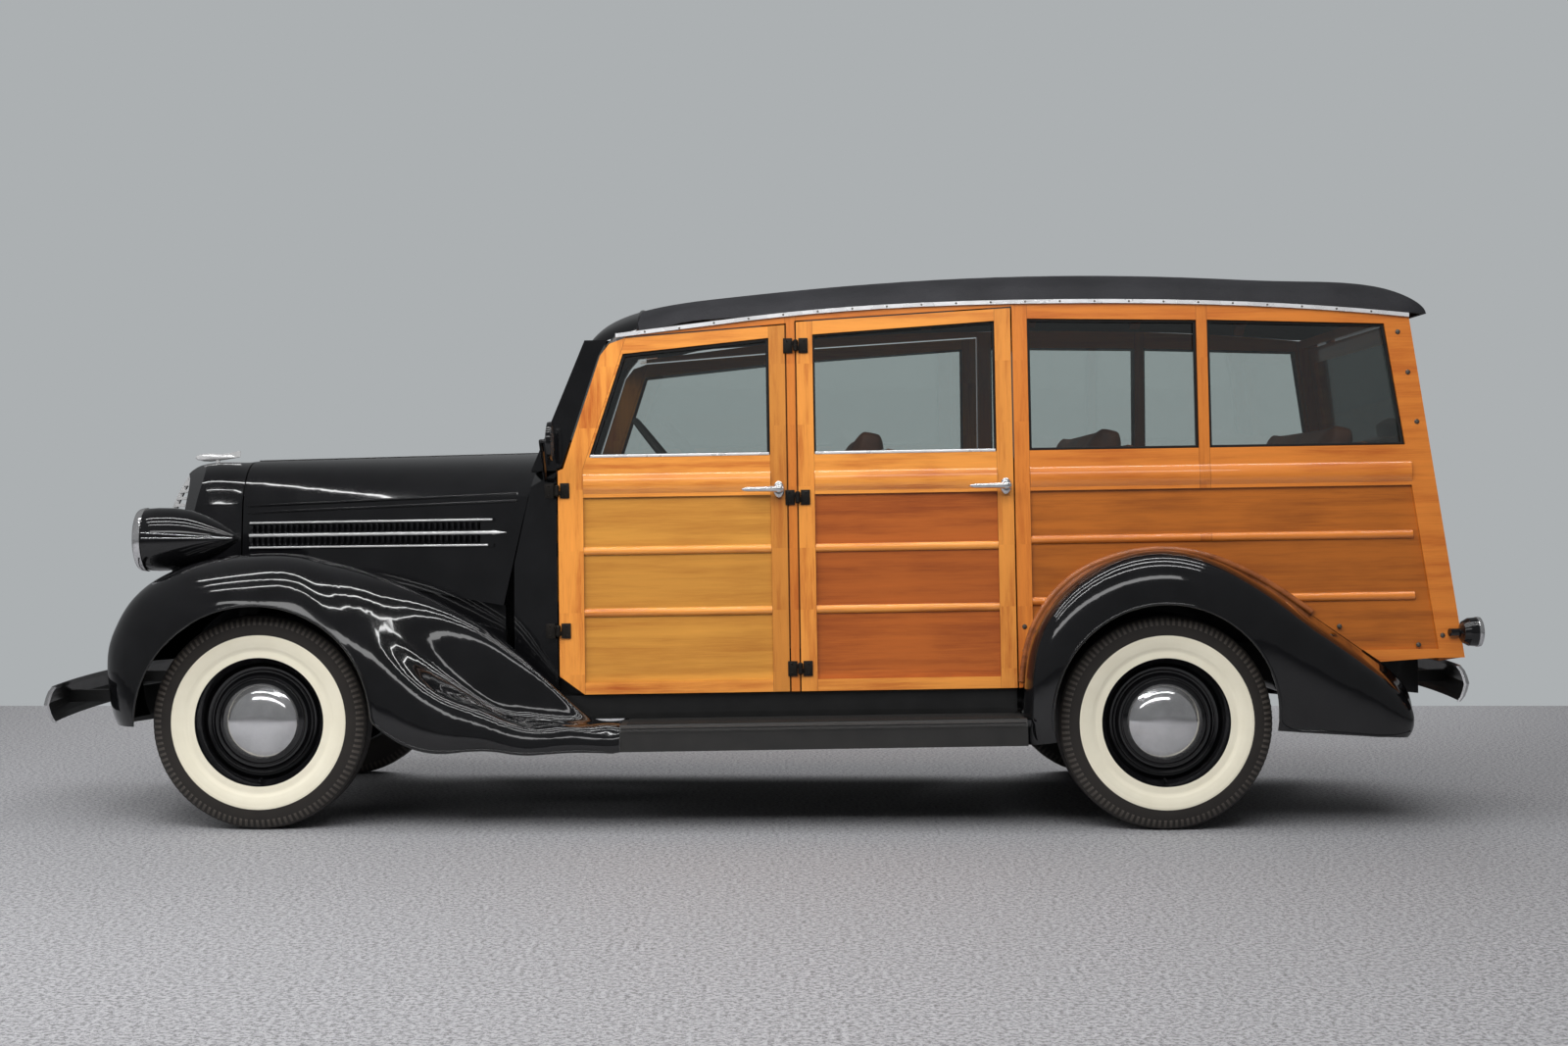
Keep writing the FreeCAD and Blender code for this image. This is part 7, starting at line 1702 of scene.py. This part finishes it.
@dataclass
class SideHinges:
    """Dark strap hinges of one pair of doors; door and post each carry a knuckle and a leaf."""

    door: str
    pin_x: float
    heights: tuple[float, ...]
    pin_out: float = 0.012
    knuckle: float = 0.0088
    half_knuckle: float = 0.0155
    clearance: float = 0.0002
    leaf: float = 0.041
    leaf_height: float = 0.050

    def _half(self, z: float, side: int) -> bpy.types.Object:
        """Knuckle and leaf of the door (side -1) or of the post (side 1).

        Args:
            z: The hinge's height.
            side: -1 for the door and 1 for the post.

        Returns:
            The half hinge on the left side.
        """
        far, near = side * self.half_knuckle, side * self.clearance
        low, high = min(far, near), max(far, near)
        cap = far + side * 0.004
        profile = [(0.0, cap), (0.0050, cap), (self.knuckle, far), (self.knuckle, near), (0.0, near)]
        barrel = Bench.lathe("hinge_barrel", profile, 20, closed=False)
        turn = Matrix.Rotation(math.radians(90), 4, "X")
        Bench.place(barrel, Matrix.Translation((0.0, self.pin_out, 0.0)) @ turn)
        bridge = Bench.block("hinge_bridge", (0.014, 0.008, high - low),
                             (side * 0.0085, 0.0025, (low + high) / 2), 0.001)
        plate = Bench.block("hinge_leaf", (self.leaf - 0.010, 0.009, self.leaf_height),
                            (side * (self.leaf + 0.010) / 2, 0.0020, 0.0), 0.0018)
        heads = []
        for drop in (-0.016, 0.016):
            head_profile = [(0.0, 0.0088), (0.0022, 0.0084), (0.0038, 0.0066), (0.0038, 0.0), (0.0, 0.0)]
            head = Bench.lathe("hinge_screw", head_profile, 12, closed=False)
            heads.append(Bench.place(head, Matrix.Translation((side * 0.028, 0.0, drop))))
        made = Bench.joined("hinge", barrel, bridge, plate, *heads)
        return Bench.place(made, side_seat(self.pin_x, z))

    def build(self, wardrobe: Wardrobe) -> None:
        """Make every half on both sides.

        Args:
            wardrobe: The finishes.
        """
        for side in (-1, 1):
            halves = [self._half(z, side) for z in self.heights]
            part = "door" if side < 0 else "post"
            whole = Bench.smooth(Bench.outward(Bench.joined("hinges", *halves), 1e-7), 40.0)
            for hand, piece in both_hands(whole, "hinges_%s_%s" % (self.door, part)):
                body = "door_%s_%s" % (self.door, hand_name(hand)) if side < 0 else "body"
                wardrobe.finished(piece, "hinge_metal", body)


@dataclass
class WindowTrimAndShade:
    """Dark edging strip round one window opening, in its reveal and in front of the glass; it is partly a
    real rubber edging and partly painted shade along the opening's edges.
    """

    name: str
    body: str
    corners: tuple[tuple[float, float], ...]
    width: float = 0.007
    depth: float = 0.012
    out: float = -0.0130
    sill: bool = True

    def _ring(self) -> bpy.types.Object:
        """The strip as a thin frame.

        Returns:
            The frame, flat and upright.
        """
        points = [(x, 0.0, z) for x, z in self.corners]
        ring = Bench.trace("window_ring", points, closed=True)
        Bench.edit(ring)
        bpy.ops.mesh.select_all(action="SELECT")
        bpy.ops.mesh.inset(thickness=self.width)
        bpy.ops.mesh.delete(type="FACE")
        Bench.done()
        Bench.modify(ring, "SOLIDIFY", thickness=self.depth, offset=0.0, use_even_offset=True)
        Bench.modify(ring, "BEVEL", width=0.0015, segments=2, limit_method="ANGLE")
        return ring

    def build(self, wardrobe: Wardrobe) -> None:
        """Make the dark strips of both sides, partly painted shade, and the bright sill where there is one.

        Args:
            wardrobe: The finishes.
        """
        middle = sum(x for x, _ in self.corners) / len(self.corners)
        seat = side_seat(middle, 1.0, self.out)
        ring = Bench.place(self._ring(), Matrix.Translation((-middle, 0.0, -1.0)))
        ring = Bench.smooth(Bench.outward(Bench.place(ring, seat)), 40.0)
        for hand, piece in both_hands(ring, "edging_" + self.name):
            # Painted shade in part: the black edging also stands for the shaded bands along the window's
            # edges.
            wardrobe.finished(piece, "seal_rubber", self.body.replace("SIDE", hand_name(hand)))
        if not self.sill:
            return
        low = min(z for _, z in self.corners)
        ends = [x for x, z in self.corners if z < low + 0.001]
        width = max(ends) - min(ends) - 0.006
        sill = Bench.block("window_sill", (width, 0.015, 0.010),
                           ((max(ends) + min(ends)) / 2 - middle, 0.008, low + 0.003 - 1.0), 0.003, 3)
        sill = Bench.smooth(Bench.place(sill, seat), 40.0)
        for hand, piece in both_hands(sill, "sill_" + self.name):
            wardrobe.finished(piece, "drip_metal", self.body.replace("SIDE", hand_name(hand)))


@dataclass
class SideTimber:
    """Curved wood moulding over the rear wheel and the carriage bolts of the quarter panel."""

    arch_x: float = -1.3283
    arch_z: float = 0.3292
    radius: float = 0.557
    shares: tuple[tuple[float, float], ...] = (
        (16.0, 0.829), (30.0, 0.893), (45.0, 0.942), (60.0, 0.980), (76.0, 0.988), (92.0, 0.998),
        (107.0, 1.0), (121.0, 1.004), (134.0, 1.036), (146.0, 1.090))
    outside: float = 0.010
    moulding: float = 0.011
    bolts: tuple[tuple[float, float], ...] = (
        (-0.889, 0.560), (-0.889, 0.640), (-1.930, 0.625), (-2.190, 0.560), (-2.270, 0.590), (-2.150, 1.600),
        (-2.180, 1.465), (-2.205, 1.300))

    def build(self, wardrobe: Wardrobe) -> None:
        """Make the moulding and the bolts of both sides.

        Args:
            wardrobe: The finishes.
        """
        points = []
        for angle, share in self.shares:
            turn = math.radians(angle)
            span = self.radius * share + self.outside
            points.append(side_point(self.arch_x + span * math.cos(turn), -0.0035,
                                     self.arch_z + span * math.sin(turn), 1))
        arch = Bench.smooth(Bench.tube("arch_moulding", points, self.moulding, 3), 60.0)
        for _, piece in both_hands(arch, "arch_moulding"):
            wardrobe.finished(piece, "inner_wood", "body")
        head_profile = [(0.0, 0.0052), (0.0040, 0.0046), (0.0072, 0.0026), (0.0085, 0.0), (0.0085, -0.002),
                        (0.0, -0.002)]
        head = Bench.lathe("bolt", head_profile, 20, closed=False)
        bolts = Bench.copies(head, [side_seat(x, z) for x, z in self.bolts], "side_bolts")
        Bench.smooth(Bench.outward(bolts, 1e-7), 50.0)
        for _, piece in both_hands(bolts, "side_bolts"):
            wardrobe.finished(piece, "steel", "body")


@dataclass
class RoofEdge:
    """Seam bead across the roof behind its steel header, and the screws of the drip mouldings."""

    seam_x: float = 0.405
    bead: float = 0.005
    screw_pitch: float = 0.115
    screw_drop: float = 0.0065
    screw_range: tuple[float, float] = (0.38, -2.12)

    def _seam(self) -> bpy.types.Object:
        """Bead that follows the roof's skin from side to side.

        Returns:
            The bead.
        """
        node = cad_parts["roof"]
        points = []
        for index in range(25):
            y = -0.60 + 0.05 * index
            hit, place, _, _ = node.ray_cast(Vector((self.seam_x, y, RAY_START_Z)), Vector((0.0, 0.0, -1.0)))
            if hit:
                points.append(place)
        return Bench.smooth(Bench.tube("roof_seam", points, self.bead, 3), 60.0)

    def _screws(self) -> bpy.types.Object:
        """Round screw heads along the left moulding.

        Returns:
            The heads as one piece.
        """
        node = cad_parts["drip_mouldings"]
        profile = [(0.0, 0.0018), (0.0020, 0.0016), (0.0034, 0.0006), (0.0036, -0.0010), (0.0, -0.0010)]
        head = Bench.lathe("drip_screw", profile, 12, closed=False)
        places = []
        x = self.screw_range[0]
        while x > self.screw_range[1]:
            top: Optional[Vector] = None
            for step in range(12):
                y = 0.60 + 0.005 * step
                hit, place, _, _ = node.ray_cast(Vector((x, y, RAY_START_Z)), Vector((0.0, 0.0, -1.0)))
                if hit:
                    top = place
            if top is not None:
                start = Vector((x, RAY_START_Y, top.z - self.screw_drop))
                hit, place, _, _ = node.ray_cast(start, Vector((0.0, -1.0, 0.0)))
                if hit:
                    lean = Matrix.Rotation(RAKE, 4, "Y") @ Matrix.Rotation(LEAN, 4, "X")
                    places.append(Matrix.Translation(place) @ lean)
            x -= self.screw_pitch
        return Bench.smooth(Bench.copies(head, places, "drip_screws"), 40.0)

    def build(self, wardrobe: Wardrobe) -> None:
        """Make the bead and the screws.

        Args:
            wardrobe: The finishes.
        """
        wardrobe.finished(self._seam(), "black_paint", "body")
        for _, piece in both_hands(self._screws(), "drip_screws"):
            wardrobe.finished(piece, "steel", "body")


@dataclass
class GateLatch:
    """Turning latch handle at the foot of the lift gate."""

    place: tuple[float, float, float] = (-2.252, 0.0, 1.197)
    grip: float = 0.055
    face_slope: float = 0.135

    def build(self, wardrobe: Wardrobe) -> None:
        """Make the base and the grip.

        Args:
            wardrobe: The finishes.
        """
        profile = [(0.0, 0.034), (0.0060, 0.033), (0.0080, 0.028), (0.0080, 0.010), (0.0150, 0.007),
                   (0.0190, 0.003), (0.0190, -0.004), (0.0, -0.004)]
        base = Bench.lathe("latch_base", profile, 32, closed=False)
        bar = Bench.block("latch_grip", (0.016, 0.010, 2 * self.grip), (0.0, 0.036, 0.0), 0.0045, 3)
        latch = Bench.joined("gate_latch", base, bar)
        lean = math.atan(self.face_slope)
        seat = Matrix.Rotation(RAKE + lean, 4, "Y") @ Matrix.Rotation(math.radians(90), 4, "Z")
        Bench.place(latch, Matrix.Translation(level_point(*self.place)) @ seat)
        wardrobe.finished(Bench.smooth(Bench.outward(latch, 1e-7), 40.0), "chrome", "liftgate")


@dataclass
class RunningBoardEdge:
    """Rolled bead along the outer edge of both running boards."""

    front_x: float = 0.436
    rear_x: float = -0.866
    y: float = 0.857
    z: float = 0.344
    bead: float = 0.004

    def build(self, wardrobe: Wardrobe) -> None:
        """Make the beads of both sides.

        Args:
            wardrobe: The finishes.
        """
        steps = 4
        points = [level_point(self.front_x + (self.rear_x - self.front_x) * step / steps, self.y, self.z)
                  for step in range(steps + 1)]
        bead = Bench.smooth(Bench.tube("board_bead", points, self.bead, 2), 60.0)
        for _, piece in both_hands(bead, "board_bead"):
            wardrobe.finished(piece, "ribbed_rubber", "body")


@dataclass
class SeatRow:
    """Stuffed cushion and back of one seat row, swollen by a cloth simulation."""

    name: str
    x: float
    half_width: float
    depth: float = 0.470
    height: float = 0.150
    top_z: float = 0.925
    back_height: float = 0.580
    back_thickness: float = 0.120
    back_lean: float = 13.0
    slack: float = 0.020
    voxel: float = 0.014
    most_move: float = 0.022
    pressure: float = 4.0
    last_frame: int = 20
    gap: float = 0.0003

    def _pad(self, name: str, size: tuple[float, float, float]) -> bpy.types.Object:
        """A rounded block that the simulation swells into a stuffed pad.

        Args:
            name: The pad's name.
            size: The room that it fills when stuffed.

        Returns:
            The pad, round its own middle.
        """
        start = tuple(s - 2 * self.slack for s in size)
        pad = Bench.block(name, start, round_by=0.022, steps=3)
        Bench.modify(pad, "REMESH", mode="VOXEL", voxel_size=self.voxel)
        self._swell(pad)
        Bench.modify(pad, "SUBSURF", levels=1, render_levels=1)
        return Bench.smooth(pad, 180.0)

    def _swell(self, pad: bpy.types.Object) -> None:
        """Blow the pad up as cloth, with no point moved further than the cap.

        Args:
            pad: The pad.
        """
        Bench.focus(pad)
        rest = [vertex.co.copy() for vertex in pad.data.vertices]
        cloth = pad.modifiers.new("cloth", "CLOTH")
        cloth.settings.use_pressure = True
        cloth.settings.uniform_pressure_force = self.pressure
        cloth.settings.effector_weights.gravity = 0.0
        cloth.settings.quality = 5
        scene = bpy.context.scene
        for number in range(1, self.last_frame + 1):
            scene.frame_set(number)
        Bench.focus(pad)
        bpy.ops.object.modifier_apply(modifier=cloth.name)
        scene.frame_set(1)
        for vertex, start in zip(pad.data.vertices, rest):
            move = vertex.co - start
            if move.length > self.most_move:
                vertex.co = start + move.normalized() * self.most_move

    def build(self, wardrobe: Wardrobe) -> list[bpy.types.Object]:
        """Make the cushion and the back.

        Args:
            wardrobe: The finishes.

        Returns:
            The two padded pieces.
        """
        raked = Matrix.Rotation(RAKE, 4, "Y")
        middle = level_point(self.x - self.depth / 2, 0.0, self.top_z - self.height / 2)
        hinge = level_point(self.x - self.depth - self.gap, 0.0, self.top_z - self.height)
        lean = Matrix.Rotation(math.radians(-self.back_lean), 4, "Y")
        rise = Matrix.Translation((-self.back_thickness / 2, 0.0, self.back_height / 2))
        wide = 2 * self.half_width
        rows = (("cushion", (self.depth, wide, self.height), Matrix.Translation(middle) @ raked),
                ("back", (self.back_thickness, wide, self.back_height),
                 Matrix.Translation(hinge) @ raked @ lean @ rise))
        pads = []
        for part, size, place in rows:
            pad = Bench.place(self._pad("%s_%s" % (part, self.name), size), place)
            pads.append(wardrobe.finished(pad, "hide", "body"))
        return pads


@dataclass
class Studio:
    """Plain pale room, its soft lamps and the camera at the photograph's place."""

    camera_place: tuple[float, float, float] = (-0.0566, 7.512, 1.0304)
    lens: float = 47.57
    shift: tuple[float, float] = (0.00506, -0.0065)
    floor_size: float = 60.0
    floor_back: float = -3.55
    floor_grey: Colour = rgb(168, 168, 171)
    wall_grey: Colour = rgb(172, 176, 178)
    room_light: Colour = (0.80, 0.82, 0.84)
    room_strength: float = 0.16
    strip_count: int = 3

    def _floor(self) -> None:
        """Lay the floor."""
        Bench.clear()
        middle = self.floor_back + self.floor_size / 2
        bpy.ops.mesh.primitive_plane_add(size=self.floor_size, location=(0.0, middle, 0.0))
        floor = Bench.settle(Bench.named("studio_floor"))
        paint = Paint("studio_floor")
        spot = paint.place()
        speckle = paint.noise(spot, 75.0, 3.0, 0.9)
        dark = tuple(c * 0.36 for c in self.floor_grey)
        paint.set(Base_Color=paint.ramp(speckle, ((0.40, dark), (0.56, self.floor_grey))), Roughness=0.7)
        paint.bump(speckle, 0.004, 0.4)
        floor.data.materials.append(paint.material)
        floor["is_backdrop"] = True

    def _world(self) -> None:
        """Light the room evenly and show a plain grey behind the car."""
        world = bpy.data.worlds.new("room")
        world.use_nodes = True
        bpy.context.scene.world = world
        tree = world.node_tree
        tree.nodes.clear()
        ray = tree.nodes.new("ShaderNodeLightPath")
        output = tree.nodes.new("ShaderNodeOutputWorld")
        blend = tree.nodes.new("ShaderNodeMixShader")
        seen = tree.nodes.new("ShaderNodeBackground")
        lit = tree.nodes.new("ShaderNodeBackground")
        seen.inputs["Color"].default_value = (*self.wall_grey, 1.0)
        lit.inputs["Color"].default_value = (*self.room_light, 1.0)
        lit.inputs["Strength"].default_value = self.room_strength
        either = tree.nodes.new("ShaderNodeMath")
        either.operation = "MAXIMUM"
        tree.links.new(ray.outputs["Is Camera Ray"], either.inputs[0])
        tree.links.new(ray.outputs["Is Transmission Ray"], either.inputs[1])
        tree.links.new(either.outputs[0], blend.inputs[0])
        tree.links.new(lit.outputs[0], blend.inputs[1])
        tree.links.new(seen.outputs[0], blend.inputs[2])
        tree.links.new(blend.outputs[0], output.inputs["Surface"])

    def _lamp(self, name: str, place: Sequence[float], aim: Sequence[float], size: tuple[float, float],
              power: float, mirrored: bool = False) -> None:
        """Hang one soft lamp.

        Args:
            name: The lamp's name.
            place: Where it hangs.
            aim: The point that it faces.
            size: Its width and its depth.
            power: Its power in watts.
            mirrored: Whether it shows in polished surfaces.
        """
        data = bpy.data.lights.new(name, "AREA")
        data.shape = "RECTANGLE"
        data.size, data.size_y = size
        data.energy = power
        lamp = bpy.data.objects.new(name, data)
        bpy.context.scene.collection.objects.link(lamp)
        lamp.location = place
        lamp.visible_glossy = mirrored
        lamp.rotation_euler = (Vector(aim) - Vector(place)).to_track_quat("-Z", "Y").to_euler()

    def build(self) -> None:
        """Build the room, the lamps and the camera."""
        self._floor()
        self._world()
        self._lamp("lamp_key", (1.0, 4.6, 4.4), (0.0, 0.3, 0.8), (6.5, 2.6), 270.0)
        self._lamp("lamp_front", (5.6, 2.4, 3.2), (1.0, 0.0, 0.7), (3.6, 3.0), 110.0)
        self._lamp("lamp_back", (-1.0, -4.6, 4.2), (0.0, 0.0, 0.9), (5.0, 2.0), 140.0)
        self._lamp("lamp_floor", (0.0, -6.0, 4.5), (0.0, -4.0, 0.0), (9.0, 2.5), 300.0)
        self._lamp("lamp_sheen", (0.6, 5.0, 3.4), (0.6, 0.5, 0.8), (6.5, 0.5), 38.0, mirrored=True)
        for row in range(self.strip_count):
            y = 0.9 + 1.1 * row
            self._lamp("lamp_strip_%d" % row, (0.3, y, 4.6), (0.3, y, 0.0), (7.5, 0.10), 42.0, mirrored=True)
        data = bpy.data.cameras.new("view")
        data.lens = self.lens
        data.shift_x, data.shift_y = self.shift
        camera = bpy.data.objects.new("view", data)
        bpy.context.scene.collection.objects.link(camera)
        camera.location = self.camera_place
        camera.rotation_euler = (math.radians(90.0), 0.0, math.radians(180.0))
        bpy.context.scene.camera = camera
        bpy.context.scene.view_settings.view_transform = "Standard"


@dataclass
class CarriedOver:
    """The CAD nodes that stay, each with its finish."""

    finishes: dict[str, str] = field(default_factory=lambda: {
        "front_axle": "chassis_paint", "rear_axle": "chassis_paint", "leaf_springs": "steel",
        "chassis_frame": "chassis_paint", "engine": "cast_metal", "radiator": "cast_metal",
        "exhaust_system": "steel", "fuel_tank": "chassis_paint", "floor": "chassis_paint",
        "cowl": "black_paint", "hood_rails": "black_paint", "radiator_shell": "black_paint",
        "grille": "trim_chrome", "front_fenders": "black_paint", "rear_fenders": "black_paint",
        "running_boards": "ribbed_rubber", "wheelhouses": "chassis_paint", "body_sides": "side_wood",
        "fixed_glass": "window_glass", "drip_mouldings": "drip_metal", "rear_frame": "rear_wood",
        "roof": "canvas", "roof_bows": "inner_wood", "windshield_frame": "black_paint",
        "dashboard": "black_paint", "steering_column": "black_paint", "seat_frames": "inner_wood",
        "seat_cushions": "hide", "bumpers": "bumper_chrome", "headlamps": "black_paint",
        "headlamp_lenses": "lamp_glass", "tail_lamps": "black_paint", "side_mirror": "black_paint",
        "hood_ornament": "trim_chrome", "hood_left": "black_paint", "hood_right": "black_paint",
        "knuckle_left": "cast_metal", "knuckle_right": "cast_metal", "tailgate": "rear_wood",
        "liftgate": "rear_wood", "liftgate_glass": "window_glass", "steering_wheel": "ribbed_rubber",
        "door_front_left": "front_door_wood", "door_front_right": "front_door_wood",
        "door_rear_left": "rear_door_wood", "door_rear_right": "rear_door_wood",
        "door_front_glass_left": "window_glass", "door_front_glass_right": "window_glass",
        "door_rear_glass_left": "window_glass", "door_rear_glass_right": "window_glass",
        "wheel_front_left": "black_paint", "wheel_front_right": "black_paint",
        "wheel_rear_left": "black_paint", "wheel_rear_right": "black_paint",
        "tyre_front_left": "tyre_rubber", "tyre_front_right": "tyre_rubber",
        "tyre_rear_left": "tyre_rubber", "tyre_rear_right": "tyre_rubber",
    })

    def dress(self, wardrobe: Wardrobe) -> None:
        """Dress every node.

        Args:
            wardrobe: The finishes.
        """
        for name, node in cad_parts.items():
            wardrobe.dress(node, self.finishes[name])
        log.info("dressed %d nodes", len(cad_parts))


WINDOWS = (
    WindowTrimAndShade("front_door", "door_front_SIDE", ((-0.056, 1.224), (0.5455, 1.224), (0.4293, 1.567),
                                                 (-0.056, 1.613)), 0.010),
    WindowTrimAndShade("rear_door", "door_rear_SIDE", ((-0.808, 1.224), (-0.202, 1.224), (-0.202, 1.622),
                                               (-0.808, 1.658)), 0.007),
    WindowTrimAndShade("quarter_front", "body", ((-1.480, 1.224), (-0.917, 1.224), (-0.917, 1.664), (-1.480, 1.651)),
               0.009, sill=False),
    WindowTrimAndShade("quarter_rear", "body", ((-2.165, 1.224), (-1.516, 1.224), (-1.516, 1.651), (-2.105, 1.629)),
               0.009, sill=False),
)


def keep_sizes(sizes: dict[str, object], name: str) -> None:
    """Note the whole object's box as plain lists."""
    low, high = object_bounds()
    sizes[name] = [[round(float(v), 6) for v in low], [round(float(v), 6) for v in high]]


def main() -> None:
    """Dress the frame, build every piece and set up the room."""
    sizes: dict[str, object] = {}
    keep_sizes(sizes, "cad")
    wardrobe = Wardrobe()
    CarriedOver().dress(wardrobe)
    for end, x, y in (("front_", FRONT_AXLE_X, 0.715), ("rear_", REAR_AXLE_X, 0.7265)):
        for hand in BOTH_SIDES:
            RoadWheel(end + hand_name(hand), x, y, hand).build(wardrobe)
    HoodTrim().build(wardrobe)
    for hand in BOTH_SIDES:
        TailLamp(hand).build(wardrobe)
    Headlamps().build(wardrobe)
    HoodCreases().build(wardrobe)
    FenderBeads("front_fenders", 1.6173, 0.3754, 0.384, (2.0, 192.0), 0.46).build(wardrobe, "front")
    FenderBeads("rear_fenders", -1.3183, 0.3522, 0.367, (-12.0, 196.0), -2.17).build(wardrobe, "rear")
    MirrorGlass().build(wardrobe)
    DoorHandle("front", -0.083).build(wardrobe)
    DoorHandle("rear", -0.835).build(wardrobe)
    SideHinges("front", 0.6525, (0.650, 1.114)).build(wardrobe)
    SideHinges("rear", -0.1455, (0.514, 1.080, 1.585)).build(wardrobe)
    for trim in WINDOWS:
        trim.build(wardrobe)
    SideTimber().build(wardrobe)
    RoofEdge().build(wardrobe)
    GateLatch().build(wardrobe)
    RunningBoardEdge().build(wardrobe)
    pads = []
    for name, x, half_width in (("front_row", 0.250, 0.545), ("middle_row", -0.560, 0.540),
                                ("rear_row", -1.360, 0.500)):
        pads += SeatRow(name, x, half_width).build(wardrobe)
    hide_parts("seat_cushions")
    Studio().build()
    keep_sizes(sizes, "visual")


if __name__ == "__main__":
    main()
